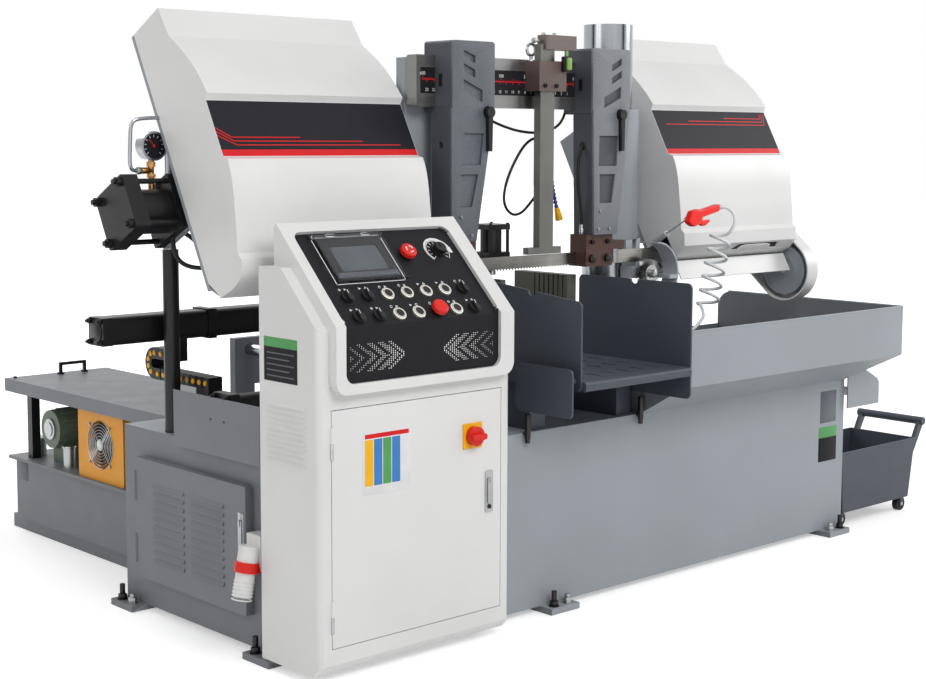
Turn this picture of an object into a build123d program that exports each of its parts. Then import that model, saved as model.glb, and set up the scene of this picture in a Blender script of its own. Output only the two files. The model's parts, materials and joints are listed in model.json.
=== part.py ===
from build123d import *
import math
import os

# Automatic horizontal band saw with two guide columns, a floor console and a chip cart.
# Sizes are written in machine coordinates, in millimetres: X runs along the blade to the right,
# Y runs from the operator to the infeed side with the blade at zero, and Z is height above the floor.
# The planes below move them to the frame of the part, whose origin is the centre of the anchor bolts.

os.makedirs("parts", exist_ok=True)

# Clearances
RUN_GAP = 0.05
SLIDE_GAP = 0.3
DOOR_GAP = 2.0
SHEET = 4.0

# Butt hinges of the cabinet door and the console door
DOOR_KNUCKLE_R = 5.0
DOOR_KNUCKLE = 40.0

# Welded base
BASE_LEFT = -1105.0
BASE_RIGHT = 1150.0
BASE_FRONT = -269.0
BASE_REAR = 582.0
BASE_TOP = 516.0
PAD_THICK = 18.0
PAD_WIDTH = 112.0
PAD_OUT = 45.0
PAD_UNDER = 60.0
PAD_HOLE_R = 9.0
PAD_HOLE_OUT = 25.0
PAD_HOLE_OFFSET = 27.0
FRONT_PAD_LEFT_X = -241.0
FRONT_PAD_RIGHT_X = 1081.0
SIDE_PAD_FRONT_Y = -106.0
SIDE_PAD_REAR_Y = 541.0
ORIGIN_X = (FRONT_PAD_LEFT_X + FRONT_PAD_RIGHT_X) / 2
ORIGIN_Y = (BASE_FRONT + BASE_REAR) / 2

# Guard plate in front of the vise cylinder at the left end
GUARD_X = -1127.0
GUARD_FRONT = -102.0
GUARD_REAR = 292.0
GUARD_BOTTOM = 499.0
GUARD_TOP = 650.0

# Electrical cabinet in the left wall of the base
CABINET_FRONT = -41.0
CABINET_REAR = 488.0
CABINET_BOTTOM = 103.0
CABINET_TOP = 439.0
CABINET_DEPTH = 330.0
CABINET_LIP = 21.0
CABINET_DOOR_THICK = 25.0
LOUVRE_COUNT = 10
LOUVRE_PITCH = 23.0
LOUVRE_LENGTH = 150.0
LOUVRE_HEIGHT = 12.0
LOUVRE_OUT = 6.0

# Console cabinet and its sloping head
CONSOLE_LEFT = -1145.0
CONSOLE_RIGHT = -513.0
CONSOLE_FRONT = -365.0
CONSOLE_BACK = -130.0
CONSOLE_BOTTOM = 22.0
CONSOLE_CHAMFER = 28.0
CONSOLE_BEND = 861.0
CONSOLE_TOP = CONSOLE_BEND + 144.0
CONSOLE_ROUND = 16.0
CONSOLE_WALL = 20.0
HEAD_LEFT = -1113.0
HEAD_RIGHT = -530.0
HEAD_BOTTOM = 710.0
HEAD_THICK = 30.0
HEAD_RIDGE = 9.4
HEAD_BACK = -150.0
HEAD_ROUND = 34.0
PANEL_LEFT = -1083.0
PANEL_RIGHT = -577.0
PANEL_BOTTOM = 735.0
PANEL_INSET = 10.0
PANEL_SLOPE = 298.0
PANEL_ROUND = 26.0
CONSOLE_DOOR_LEFT = -1107.0
CONSOLE_DOOR_RIGHT = -546.0
CONSOLE_DOOR_BOTTOM = 89.0
CONSOLE_DOOR_TOP = 673.0
CONSOLE_DOOR_THICK = 10.0
CONSOLE_DOOR_LIP = 15.0

# Controls on the sloping panel: X, and distance up the slope from the bend
CONTROL_PITCH = 62.8
CONTROL_FIRST_X = -1022.0
UPPER_ROW = 90.0
LOWER_ROW = 26.0
RING_R = 18.5
BUTTON_R = 14.0
BUTTON_HEIGHT = 8.0
RING_HEIGHT = 5.0
SELECTOR_R = 17.0
SELECTOR_HEIGHT = 14.0
MUSHROOM_R = 22.0
MUSHROOM_HEIGHT = 24.0
STEM_R = 10.0
POCKET_DEPTH = 9.0
EMERGENCY_X = -762.0
EMERGENCY_UP = 213.0
DIAL_X = -648.0
DIAL_UP = 220.0
DIAL_R = 21.0
SCREEN_LEFT = -1018.0
SCREEN_RIGHT = -821.0
SCREEN_LOW = 143.0
SCREEN_HIGH = 272.0
SCREEN_HEIGHT = 6.0
SCREEN_FRAME = 24.0
COVER_MARGIN = 12.0
COVER_HEIGHT = 12.0
COVER_LIFT = 1.0
COVER_SHEET = 3.0
COVER_PIN_R = 1.5
COVER_PIN_IN = 1.5
COVER_PIN_UP = 3.2
COVER_LUG = 6.0
SWITCH_X = -650.0
SWITCH_Z = 558.0
SWITCH_PLATE = 65.0
SWITCH_R = 25.0

# Mains inlet on the left wall
INLET_Y = -88.0
INLET_Z = 235.0

# Outfeed table
TABLE_TOP = 675.0
TABLE_LEFT = -335.0
TABLE_RIGHT = 100.0
TABLE_FRONT = -470.0
TABLE_REAR = -30.0
TABLE_THICK = 12.0
NOSE_DROP = 27.0
NOSE_DEPTH = 30.0
SIDE_PLATE = 6.0
RIGHT_PLATE_TOP = 912.0
RIGHT_PLATE_BOTTOM = 583.0
LEFT_PLATE_TOP = 887.0
LEFT_PLATE_REAR_TOP = 921.0
LEFT_PLATE_REAR = -110.0
LOWER_PLATE_OUT = 40.0
LOWER_PLATE_REAR = -250.0
LOWER_PLATE_BOTTOM = 580.0
LOWER_PLATE_TOP = 712.0
PLATE_NOTCH_R = 14.0
PLATE_ROUND = 16.0

# Chip tray and chute
TRAY_LEFT = 115.0
TRAY_RIGHT = 1245.0
TRAY_FRONT = -425.0
TRAY_REAR = 345.0
TRAY_RIM = 768.0
TRAY_FOLD = 607.0
TRAY_LEFT_WALL_END = -80.0
CHUTE_FRONT = -280.0
CHUTE_REAR = 112.0
CHUTE_RIGHT = 1335.0
CHUTE_DROP = 60.0
CHUTE_LOW = 418.0
CHUTE_HIGH = 545.0
NOTCH_LEFT = 1095.0
NOTCH_FRONT = -150.0
NOTCH_DEPTH = 28.0

# Chip cart
CART_LEFT = BASE_RIGHT + SLIDE_GAP
CART_RIGHT = 1598.0
CART_FRONT = -268.0
CART_REAR = 0.0
CART_BOTTOM = 54.0
CART_TOP = 260.0
CART_TAPER = 35.0
CASTER_R = 25.0
CASTER_WIDTH = 20.0
CASTER_INSET = 40.0
CASTER_SIDE = 34.0
AXLE_R = 5.0
HANDLE_X = CART_RIGHT + 52.0
HANDLE_Z = 315.0
HANDLE_R = 14.0

# Guide columns and lift cylinder
COLUMN_Y = 150.0
RIGHT_COLUMN_X = 414.0
RIGHT_COLUMN_R = 77.5
RIGHT_COLUMN_TOP = 1676.0
LEFT_COLUMN_X = -463.0
LEFT_COLUMN_R = 45.0
LEFT_COLUMN_TOP = 1360.0
FLANGE_HEIGHT = 30.0
RIGHT_FLANGE_R = 122.0
LEFT_FLANGE_R = 66.0
LIFT_X = -1070.0
LIFT_Y = 385.0
LIFT_R = 22.0
LIFT_TOP = 1016.0
LIFT_ROD_R = 12.0
LIFT_ROD_LOW = 800.0
LIFT_BRACKET_Z = 1290.0

# Vise bed, main vise and feed vise
BED_LEFT = -390.0
BED_RIGHT = 285.0
BED_FRONT = 30.0
BED_REAR = 260.0
CHANNEL_FRONT = 60.0
CHANNEL_REAR = 110.0
CHANNEL_BOTTOM = 585.0
FIXED_JAW_X = 112.0
FIXED_JAW_THICK = 38.0
JAW_X = -150.0
JAW_THICK = 20.0
JAW_BODY = 60.0
JAW_FRONT = 30.0
JAW_REAR = 190.0
JAW_TOP = 905.0
VISE_ROD_Y = 85.0
VISE_ROD_Z = 622.0
VISE_ROD_R = 14.0
VISE_BARREL_R = 33.0
VISE_CAP = 80.0
VISE_LEFT = -1112.0
VISE_RIGHT = -540.0
VISE_CAP_LONG = 28.0
HOLD_X = -115.0
HOLD_Y = 130.0
HOLD_BOTTOM = 965.0
HOLD_TOP = 1064.0
HOLD_SIZE = 84.0
HOLD_BARREL_R = 32.0
HOLD_ROD_R = 11.0
HOLD_FOOT_R = 15.0
HOLD_FOOT_Z = 912.0
HOLD_ARM = 20.0
FEED_FRONT = 417.0
FEED_DEPTH = 180.0
FEED_LEFT = -600.0
FEED_RIGHT = 160.0
FEED_TOP = 668.0
FEED_BOTTOM = 560.0
FEED_ROD_Z = 800.0
FEED_BARREL = 76.0
FEED_CYLINDER_LEFT = -1262.0
FEED_CYLINDER_RIGHT = -560.0
FEED_ROD_R = 13.0
FEED_JAW_TOP = 860.0
TIE_BAR_Y = 545.0
TIE_BAR_R = 24.0
RAIL_R = 20.0
RAIL_Z = 606.0
RAIL_LEFT_X = -300.0
RAIL_RIGHT_X = 60.0
RAIL_REAR = 1120.0
STAND_THICK = 30.0

# Drag chain that leads the hoses to the feed carriage
CHAIN_X = -1030.0
CHAIN_WIDTH = 45.0
CHAIN_LINK = 32.0
CHAIN_LOW = 640.0
CHAIN_HIGH = 730.0
CHAIN_FRONT = 270.0
CHAIN_BEND_Y = 545.0
CHAIN_UPPER_FRONT = 440.0
CHAIN_GROOVE = 30.0

# Band and band wheels, which lean back from the upright blade
TILT = 28.0
BAND_WIDTH = 41.0
BAND_THICK = 1.3
BAND_Z = 955.5
TOOTH_PITCH = 12.0
TOOTH_DEPTH = 6.0
TOOTHED_LEFT = -500.0
TOOTHED_RIGHT = 290.0
TWIST_LEAD = 35.0
TWIST_SECTIONS = 9
WHEEL_R = 280.0
WHEEL_LEFT_X = -850.0
WHEEL_RIGHT_X = 830.0
WHEEL_RIM = 24.0
WHEEL_WIDTH = 38.0
WHEEL_WEB = 12.0
WHEEL_GAP = 0.1
HUB_R = 62.0
HUB_FRONT = 30.0
HUB_BACK = 40.0
SHAFT_R = 30.0
WHEEL_HOLES = 6
WHEEL_HOLE_R = 48.0
WHEEL_HOLE_PITCH_R = 160.0

# Wheel covers, in the tilted section: s up the slope, n out of it
COVER_LEFT_OUTER = -1160.0
COVER_LEFT_INNER = -520.0
COVER_RIGHT_INNER = 533.0
COVER_RIGHT_OUTER = 1123.0
COVER_WALL = 5.0
COVER_END = 9.0
BACK_PLATE = 12.0
BACK_PLATE_N = -62.0
COVER_FOOT = 10.0
COVER_HEAD = 747.0
COVER_CROWN = 74.0
HINGE_S = 757.0
HINGE_R = 9.0
HINGE_PIN_R = 4.0
KNUCKLE = 90.0
LUG = 20.0
GRIP_LEFT = 793.0
GRIP_RIGHT = 1040.0

# Bow casting that joins the back plates, the column sleeves and the guide beam
SLEEVE_BOTTOM = 1000.0
RIGHT_SLEEVE_R = 102.0
RIGHT_SLEEVE_TOP = 1410.0
LEFT_SLEEVE_R = 56.0
LEFT_SLEEVE_TOP = 1170.0
SLAB_DEPTH = 76.0
BRIDGE_REAR = 100.0
BRIDGE_BOTTOM = 1410.0
BRIDGE_TOP = 1540.0
RIGHT_PLATE_FOOT = -44.0

# Guide beam, arms and feeler
BEAM_LEFT = -510.0
BEAM_RIGHT = 300.0
BEAM_FRONT = 14.0
BEAM_REAR = 64.0
BEAM_BOTTOM = 1404.0
BEAM_TOP = 1546.0
ARM_FRONT = -53.0
ARM_REAR = 22.0
ARM_HEAD_REAR = 58.0
ARM_HEAD_BOTTOM = 1390.0
ARM_HEAD_TOP = 1585.0
LEFT_ARM_OUTER = -447.0
LEFT_ARM_INNER = -285.0
LEFT_ARM_WAIST = -308.0
LEFT_ARM_FOOT = -352.0
RIGHT_ARM_INNER = 119.0
RIGHT_ARM_OUTER = 284.0
RIGHT_ARM_FOOT = 232.0
ARM_WAIST_Z = 1279.0
ARM_FOOT_Z = 1030.0
GUIDE_BOTTOM = 934.0
GUIDE_FRONT = -45.0
GUIDE_SLOT = 2.0
GUIDE_SLOT_TOP = 980.0
RIGHT_GUIDE_LEFT = 114.0
RIGHT_GUIDE_RIGHT = 230.0
LEFT_GUIDE_LEFT = -447.0
LEFT_GUIDE_RIGHT = -343.0
GUIDE_HORN = 54.0
GUIDE_HORN_LOW = 983.0
GUIDE_HORN_HIGH = 1009.0
ROLLER_R = 14.0
LEVER_Z = 1390.0
LEFT_LEVER_X = -312.0
RIGHT_LEVER_X = 240.0
LEVER_LONG = 109.0
LEVER_HUB_R = 15.0
FEELER_LEFT = -75.0
FEELER_RIGHT = -18.0
FEELER_FRONT = -34.0
FEELER_REAR = -8.0
FEELER_BOTTOM = 980.0
FEELER_TOP = 1590.0
FEELER_BRACKET_LEFT = -92.0
FEELER_BRACKET_RIGHT = 20.0
FEELER_BRACKET_FRONT = -46.0
FEELER_BRACKET_BOTTOM = 1455.0
FEELER_BRACKET_TOP = 1540.0

# Drive, tension and guards on the bow
GEARBOX_LEFT = 730.0
GEARBOX_RIGHT = 930.0
GEARBOX_DEPTH = 156.0
GEARBOX_HALF = 100.0
MOTOR_R = 82.0
MOTOR_N = -165.0
MOTOR_RIGHT = 1120.0
BELT_LEFT = 1127.0
BELT_RIGHT = 1185.0
PULLEY_S = -85.0
PULLEY_N = -20.0
PULLEY_R = 84.0
BELT_GUARD_R = 105.0
STRIP_LEFT = 545.0
STRIP_RIGHT = 1120.0
STRIP_N = 9.0
STRIP_TOP = -36.0
STRIP_BOTTOM = -100.0
TENSION_N = -165.0
TENSION_CAP = 150.0
TENSION_LEFT = -1300.0
TENSION_BARREL_R = 58.0
TENSION_ROD_R = 18.0
TENSION_FLANGE = -1140.0
TENSION_BRACKET = 20.0
SLIDE_HALF = 80.0
SLIDE_LEFT = -960.0
SLIDE_RIGHT = -740.0
SLIDE_DEPTH = 55.0
SLIDE_TRAVEL = 12.0
GIB = 16.0

# Wire brush, its guard and the air gun that hangs on it
BRUSH_X = 415.0
BRUSH_Z = 898.0
BRUSH_R = 45.0
BRUSH_FRONT = -45.0
BRUSH_REAR = -12.0
BRUSH_HUB_R = 19.0
BRUSH_SHAFT_R = 8.0
BRUSH_RINGS = 6
BRUSH_STRANDS = 50
STRAND = 1.3
BRUSH_GUARD_R = 100.0
BRUSH_GUARD_FRONT = -70.0
BRUSH_GUARD_REAR = -9.0
GUN_Y = -255.0
GUN_THICK = 26.0
NOZZLE_R = 3.5
TRIGGER_PIVOT = (397.0, 1067.0)
TRIGGER_PIN_R = 2.5
TRIGGER_THICK = 12.0

# Curly air hose between the gun and the tray
HOSE_R = 4.0
COIL_R = 24.0
COIL_TURNS = 7
COIL_TOP = Vector(498.0, -255.0, 1052.0)
COIL_END = Vector(424.0, -255.0, 790.0)
HOSE_FITTING = Vector(TRAY_LEFT + 20.0, COIL_TOP.Y - 3.0, 700.0)
HOSE_FITTING_R = 10.0

# Hydraulic power unit behind the left end
UNIT_LEFT = -966.0
UNIT_RIGHT = -582.0
UNIT_REAR = 1585.0
UNIT_TOP = 520.0
UNIT_FOLD = 42.0
TANK_INSET = 36.0
TANK_BOTTOM = 45.0
TANK_TOP = 258.0
TANK_FRONT = 640.0
SKID_WIDTH = 50.0
SKID_OVERHANG = 58.0
COOLER_FRONT = 872.0
COOLER_REAR = 1144.0
COOLER_BOTTOM = 275.0
COOLER_TOP = 470.0
COOLER_LEFT = -940.0
COOLER_DEPTH = 62.0
FAN_R = 70.0
FAN_BLADES = 7
PUMP_Y = 1361.0
PUMP_Z = 372.0
PUMP_R = 62.0

SIN_TILT = math.sin(math.radians(TILT))
COS_TILT = math.cos(math.radians(TILT))


def floor_plane(z):
    """Plan view at height z, drawn in X and Y, which extrudes upwards."""
    return Plane(origin=(-ORIGIN_X, -ORIGIN_Y, z), x_dir=(1, 0, 0), z_dir=(0, 0, 1))


def front_plane(y):
    """Front view at depth y, drawn in X and Z, which extrudes towards the operator."""
    return Plane(origin=(-ORIGIN_X, y - ORIGIN_Y, 0), x_dir=(1, 0, 0), z_dir=(0, -1, 0))


def side_plane(x):
    """Side view at x, drawn in Y and Z, which extrudes to the right."""
    return Plane(origin=(x - ORIGIN_X, -ORIGIN_Y, 0), x_dir=(0, 1, 0), z_dir=(1, 0, 0))


def slope_plane(x):
    """Section across the leaning covers at x, drawn in s and n, which extrudes to the right."""
    return Plane(
        origin=(x - ORIGIN_X, -ORIGIN_Y, BAND_Z),
        x_dir=(0, SIN_TILT, COS_TILT),
        z_dir=(1, 0, 0),
    )


def wheel_plane(n):
    """Plane of the band wheels at n, drawn in X and s, which extrudes out of the slope."""
    return Plane(
        origin=(-ORIGIN_X, -ORIGIN_Y - n * COS_TILT, BAND_Z + n * SIN_TILT),
        x_dir=(1, 0, 0),
        z_dir=(0, -COS_TILT, SIN_TILT),
    )


def panel_plane(height):
    """Face of the sloping control panel, drawn in X and distance up the slope from its bend."""
    return Plane(
        origin=(-ORIGIN_X, PANEL_Y - ORIGIN_Y - height * HALF_ROOT, PANEL_BEND + height * HALF_ROOT),
        x_dir=(1, 0, 0),
        z_dir=(0, -1, 1),
    )


def block(plane, across, up, depth, corner=0.0, mode=Mode.ADD):
    """Extrude a rectangle that spans across and up on the plane, with rounded corners if asked."""
    with BuildSketch(plane) as outline:
        with Locations(((across[0] + across[1]) / 2, (up[0] + up[1]) / 2)):
            if corner > 0:
                RectangleRounded(across[1] - across[0], up[1] - up[0], corner)
            else:
                Rectangle(across[1] - across[0], up[1] - up[0])
    extrude(outline.sketch, amount=depth, mode=mode)


def profile(plane, points, depth, corner=0.0, mode=Mode.ADD):
    """Extrude the closed outline through the points, with every corner rounded if asked."""
    with BuildSketch(plane) as outline:
        with BuildLine():
            Polyline(*points, close=True)
        make_face()
        if corner > 0:
            fillet(outline.vertices(), radius=corner)
    extrude(outline.sketch, amount=depth, mode=mode)


def rod(plane, centre, radius, depth, mode=Mode.ADD):
    """Extrude a circle about the centre point of the plane."""
    with BuildSketch(plane) as outline:
        with Locations(centre):
            Circle(radius)
    extrude(outline.sketch, amount=depth, mode=mode)


def ring(plane, centre, outer, inner, depth, mode=Mode.ADD):
    """Extrude a ring about the centre point of the plane."""
    with BuildSketch(plane) as outline:
        with Locations(centre):
            Circle(outer)
            Circle(inner, mode=Mode.SUBTRACT)
    extrude(outline.sketch, amount=depth, mode=mode)


def around(centre, half):
    """Span of the given half width about a centre."""
    return (centre - half, centre + half)


HALF_ROOT = math.sqrt(0.5)
PANEL_Y = CONSOLE_FRONT - HEAD_THICK + PANEL_INSET
HEAD_LINE = CONSOLE_BEND - CONSOLE_FRONT + HEAD_THICK / HALF_ROOT
PANEL_BEND = HEAD_LINE - PANEL_INSET / HALF_ROOT + PANEL_Y
HEAD_BEND = HEAD_LINE + CONSOLE_FRONT - HEAD_THICK
HEAD_TOP = HEAD_LINE + HEAD_BACK - HEAD_RIDGE
BACK_REAR_N = BACK_PLATE_N - BACK_PLATE
RIGHT_PLATE_EDGE = BELT_LEFT
CABINET_AXIS_X = BASE_LEFT - SLIDE_GAP - CABINET_DOOR_THICK
CABINET_HINGES = (CABINET_BOTTOM + DOOR_KNUCKLE, CABINET_TOP - 3 * DOOR_KNUCKLE)
CONSOLE_AXIS = (CONSOLE_DOOR_LEFT + DOOR_GAP, CONSOLE_FRONT)
CONSOLE_HINGES = (CONSOLE_DOOR_BOTTOM + DOOR_KNUCKLE, CONSOLE_DOOR_TOP - 3 * DOOR_KNUCKLE)

# Welded base on its foot pads, cut away for the console, with the electrical cabinet in its left wall
with BuildPart() as base_frame:
    profile(
        floor_plane(PAD_THICK),
        [
            (BASE_LEFT, CONSOLE_BACK),
            (CONSOLE_RIGHT, CONSOLE_BACK),
            (CONSOLE_RIGHT, BASE_FRONT),
            (BASE_RIGHT, BASE_FRONT),
            (BASE_RIGHT, BASE_REAR),
            (BASE_LEFT, BASE_REAR),
        ],
        BASE_TOP - PAD_THICK,
    )
    block(
        side_plane(BASE_LEFT),
        (CABINET_FRONT + CABINET_LIP, CABINET_REAR - CABINET_LIP),
        (CABINET_BOTTOM + CABINET_LIP, CABINET_TOP - CABINET_LIP),
        CABINET_DEPTH,
        mode=Mode.SUBTRACT,
    )
    block(
        floor_plane(BASE_TOP - NOTCH_DEPTH),
        (NOTCH_LEFT, BASE_RIGHT),
        (NOTCH_FRONT, CHUTE_REAR),
        NOTCH_DEPTH,
        mode=Mode.SUBTRACT,
    )
    for pad_x, hole_side in ((FRONT_PAD_LEFT_X, -1), (FRONT_PAD_RIGHT_X, 1)):
        for wall, out in ((BASE_FRONT, -1), (BASE_REAR, 1)):
            span = sorted((wall + out * PAD_OUT, wall - out * PAD_UNDER))
            block(floor_plane(0), around(pad_x, PAD_WIDTH / 2), span, PAD_THICK)
            rod(
                floor_plane(0),
                (pad_x + hole_side * PAD_HOLE_OFFSET, wall + out * PAD_HOLE_OUT),
                PAD_HOLE_R,
                PAD_THICK,
                mode=Mode.SUBTRACT,
            )
    for pad_y in (SIDE_PAD_FRONT_Y, SIDE_PAD_REAR_Y):
        block(
            floor_plane(0),
            (BASE_LEFT - PAD_OUT, BASE_LEFT + PAD_UNDER),
            around(pad_y, PAD_WIDTH / 2),
            PAD_THICK,
        )
        rod(
            floor_plane(0),
            (BASE_LEFT - PAD_HOLE_OUT, pad_y + PAD_HOLE_OFFSET),
            PAD_HOLE_R,
            PAD_THICK,
            mode=Mode.SUBTRACT,
        )
    block(side_plane(GUARD_X), (GUARD_FRONT, GUARD_REAR), (GUARD_BOTTOM, GUARD_TOP), SHEET)
    block(floor_plane(GUARD_BOTTOM), (GUARD_X, BASE_LEFT), (GUARD_FRONT, GUARD_REAR), SHEET)
    for low in CABINET_HINGES:
        upper = low + DOOR_KNUCKLE + SLIDE_GAP
        rod(floor_plane(upper), (CABINET_AXIS_X, CABINET_REAR), DOOR_KNUCKLE_R, DOOR_KNUCKLE)
        block(
            floor_plane(upper),
            (CABINET_AXIS_X, BASE_LEFT),
            (CABINET_REAR + SLIDE_GAP, CABINET_REAR + DOOR_KNUCKLE_R),
            DOOR_KNUCKLE,
        )
base_frame.part.label = "base_frame"
export_step(base_frame.part, "parts/base_frame.step")

# Cabinet door, a shallow box with two columns of louvres
with BuildPart() as cabinet_door:
    door_inner = BASE_LEFT - SLIDE_GAP
    block(
        side_plane(door_inner),
        (CABINET_FRONT, CABINET_REAR),
        (CABINET_BOTTOM, CABINET_TOP),
        -CABINET_DOOR_THICK,
        corner=6.0,
    )
    block(
        side_plane(door_inner),
        (CABINET_FRONT + SHEET, CABINET_REAR - SHEET),
        (CABINET_BOTTOM + SHEET, CABINET_TOP - SHEET),
        SHEET - CABINET_DOOR_THICK,
        mode=Mode.SUBTRACT,
    )
    louvre_low = (CABINET_BOTTOM + CABINET_TOP - LOUVRE_PITCH * (LOUVRE_COUNT - 1)) / 2
    for column in (-1, 1):
        middle = (CABINET_FRONT + CABINET_REAR) / 2 + column * LOUVRE_LENGTH * 0.62
        for row in range(LOUVRE_COUNT):
            low = louvre_low + row * LOUVRE_PITCH - LOUVRE_HEIGHT / 2
            outer = door_inner - CABINET_DOOR_THICK
            profile(
                front_plane(middle + LOUVRE_LENGTH / 2),
                [(outer, low), (outer - LOUVRE_OUT, low), (outer, low + LOUVRE_HEIGHT)],
                LOUVRE_LENGTH,
            )
    for low in CABINET_HINGES:
        rod(
            floor_plane(low + DOOR_KNUCKLE),
            (CABINET_AXIS_X, CABINET_REAR),
            DOOR_KNUCKLE_R + SLIDE_GAP,
            DOOR_KNUCKLE + 2 * SLIDE_GAP,
            mode=Mode.SUBTRACT,
        )
        rod(floor_plane(low), (CABINET_AXIS_X, CABINET_REAR), DOOR_KNUCKLE_R, DOOR_KNUCKLE)
cabinet_door.part.label = "cabinet_door"
export_step(cabinet_door.part, "parts/cabinet_door.step")

# Mains inlet: a flanged housing on the left wall with its turning ring and the plugged-in connector body
with BuildPart() as mains_inlet:
    block(side_plane(BASE_LEFT), around(INLET_Y, 30.0), around(INLET_Z + 45.0, 48.0), -34.0, corner=6.0)
    tilted = Plane(
        origin=(BASE_LEFT - 52.0 - ORIGIN_X, INLET_Y - ORIGIN_Y, INLET_Z + 32.0),
        x_dir=(0, 1, 0),
        z_dir=(-0.2, 0, -1),
    )
    rod(tilted.offset(-34.0), (0, 0), 27.0, 40.0)
    rod(tilted.offset(6.0), (0, 0), 31.0, 26.0)
    rod(tilted.offset(32.0), (0, 0), 25.0, 60.0)
mains_inlet.part.label = "mains_inlet"
export_step(mains_inlet.part, "parts/mains_inlet.step")

# Console cabinet, with a recess for its door and a louvred vent on the left side
with BuildPart() as console_cabinet:
    profile(
        side_plane(CONSOLE_LEFT),
        [
            (CONSOLE_FRONT + CONSOLE_CHAMFER, CONSOLE_BOTTOM),
            (CONSOLE_BACK, CONSOLE_BOTTOM),
            (CONSOLE_BACK, CONSOLE_TOP),
            (CONSOLE_FRONT + CONSOLE_TOP - CONSOLE_BEND, CONSOLE_TOP),
            (CONSOLE_FRONT, CONSOLE_BEND),
            (CONSOLE_FRONT, CONSOLE_BOTTOM + CONSOLE_CHAMFER),
        ],
        CONSOLE_RIGHT - CONSOLE_LEFT,
    )
    front_edges = console_cabinet.edges().filter_by(Axis.Z).group_by(Axis.Y)[0]
    fillet(front_edges, radius=CONSOLE_ROUND)
    block(
        front_plane(CONSOLE_FRONT + CONSOLE_DOOR_THICK),
        (CONSOLE_DOOR_LEFT, CONSOLE_DOOR_RIGHT),
        (CONSOLE_DOOR_BOTTOM, CONSOLE_DOOR_TOP),
        CONSOLE_DOOR_THICK,
        mode=Mode.SUBTRACT,
    )
    block(
        front_plane(CONSOLE_BACK - CONSOLE_WALL),
        (CONSOLE_DOOR_LEFT + CONSOLE_DOOR_LIP, CONSOLE_DOOR_RIGHT - CONSOLE_DOOR_LIP),
        (CONSOLE_DOOR_BOTTOM + CONSOLE_DOOR_LIP, CONSOLE_DOOR_TOP - CONSOLE_DOOR_LIP),
        CONSOLE_BACK - CONSOLE_WALL - CONSOLE_FRONT,
        mode=Mode.SUBTRACT,
    )
    vent_middle = (CONSOLE_FRONT + CONSOLE_BACK) / 2 + 8.5
    for slat in range(11):
        low = 530.0 + slat * 14.0
        profile(
            front_plane(vent_middle + 78.0),
            [(CONSOLE_LEFT, low), (CONSOLE_LEFT - 5.0, low), (CONSOLE_LEFT, low + 9.0)],
            156.0,
        )
    for low in CONSOLE_HINGES:
        rod(
            floor_plane(low - SLIDE_GAP),
            CONSOLE_AXIS,
            DOOR_KNUCKLE_R + SLIDE_GAP,
            DOOR_KNUCKLE + 2 * SLIDE_GAP,
            mode=Mode.SUBTRACT,
        )
        rod(floor_plane(low + DOOR_KNUCKLE + SLIDE_GAP), CONSOLE_AXIS, DOOR_KNUCKLE_R, DOOR_KNUCKLE)
console_cabinet.part.label = "console_cabinet"
export_step(console_cabinet.part, "parts/console_cabinet.step")

# Console door in its recess, with the plate of the main switch and the latch plate
with BuildPart() as console_door:
    block(
        front_plane(CONSOLE_FRONT + CONSOLE_DOOR_THICK - SLIDE_GAP),
        (CONSOLE_DOOR_LEFT + DOOR_GAP, CONSOLE_DOOR_RIGHT - DOOR_GAP),
        (CONSOLE_DOOR_BOTTOM + DOOR_GAP, CONSOLE_DOOR_TOP - DOOR_GAP),
        CONSOLE_DOOR_THICK - SLIDE_GAP,
    )
    block(
        front_plane(CONSOLE_FRONT),
        around(SWITCH_X, SWITCH_PLATE / 2),
        around(SWITCH_Z, SWITCH_PLATE / 2),
        SHEET,
    )
    block(front_plane(CONSOLE_FRONT), around(-590.0, 13.5), around(404.0, 55.0), 3.0, corner=5.0)
    rod(front_plane(CONSOLE_FRONT), (SWITCH_X, SWITCH_Z), STEM_R, SHEET + 14.0)
    for low in CONSOLE_HINGES:
        rod(
            floor_plane(low + DOOR_KNUCKLE),
            CONSOLE_AXIS,
            DOOR_KNUCKLE_R + SLIDE_GAP,
            DOOR_KNUCKLE + 2 * SLIDE_GAP,
            mode=Mode.SUBTRACT,
        )
        rod(floor_plane(low), CONSOLE_AXIS, DOOR_KNUCKLE_R, DOOR_KNUCKLE)
console_door.part.label = "console_door"
export_step(console_door.part, "parts/console_door.step")

# Rotary main switch: a round knob with a raised grip, which turns on the boss of the door
with BuildPart() as main_switch:
    knob_face = CONSOLE_FRONT - SHEET - SLIDE_GAP
    ring(front_plane(knob_face), (SWITCH_X, SWITCH_Z), SWITCH_R, STEM_R + RUN_GAP, 14.0)
    rod(front_plane(knob_face - 14.0), (SWITCH_X, SWITCH_Z), SWITCH_R, 4.0)
    block(
        front_plane(knob_face - 18.0),
        around(SWITCH_X, SWITCH_R * 0.92),
        around(SWITCH_Z, SWITCH_R * 0.32),
        12.0,
        corner=6.0,
    )
main_switch.part.label = "main_switch"
export_step(main_switch.part, "parts/main_switch.step")

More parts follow.
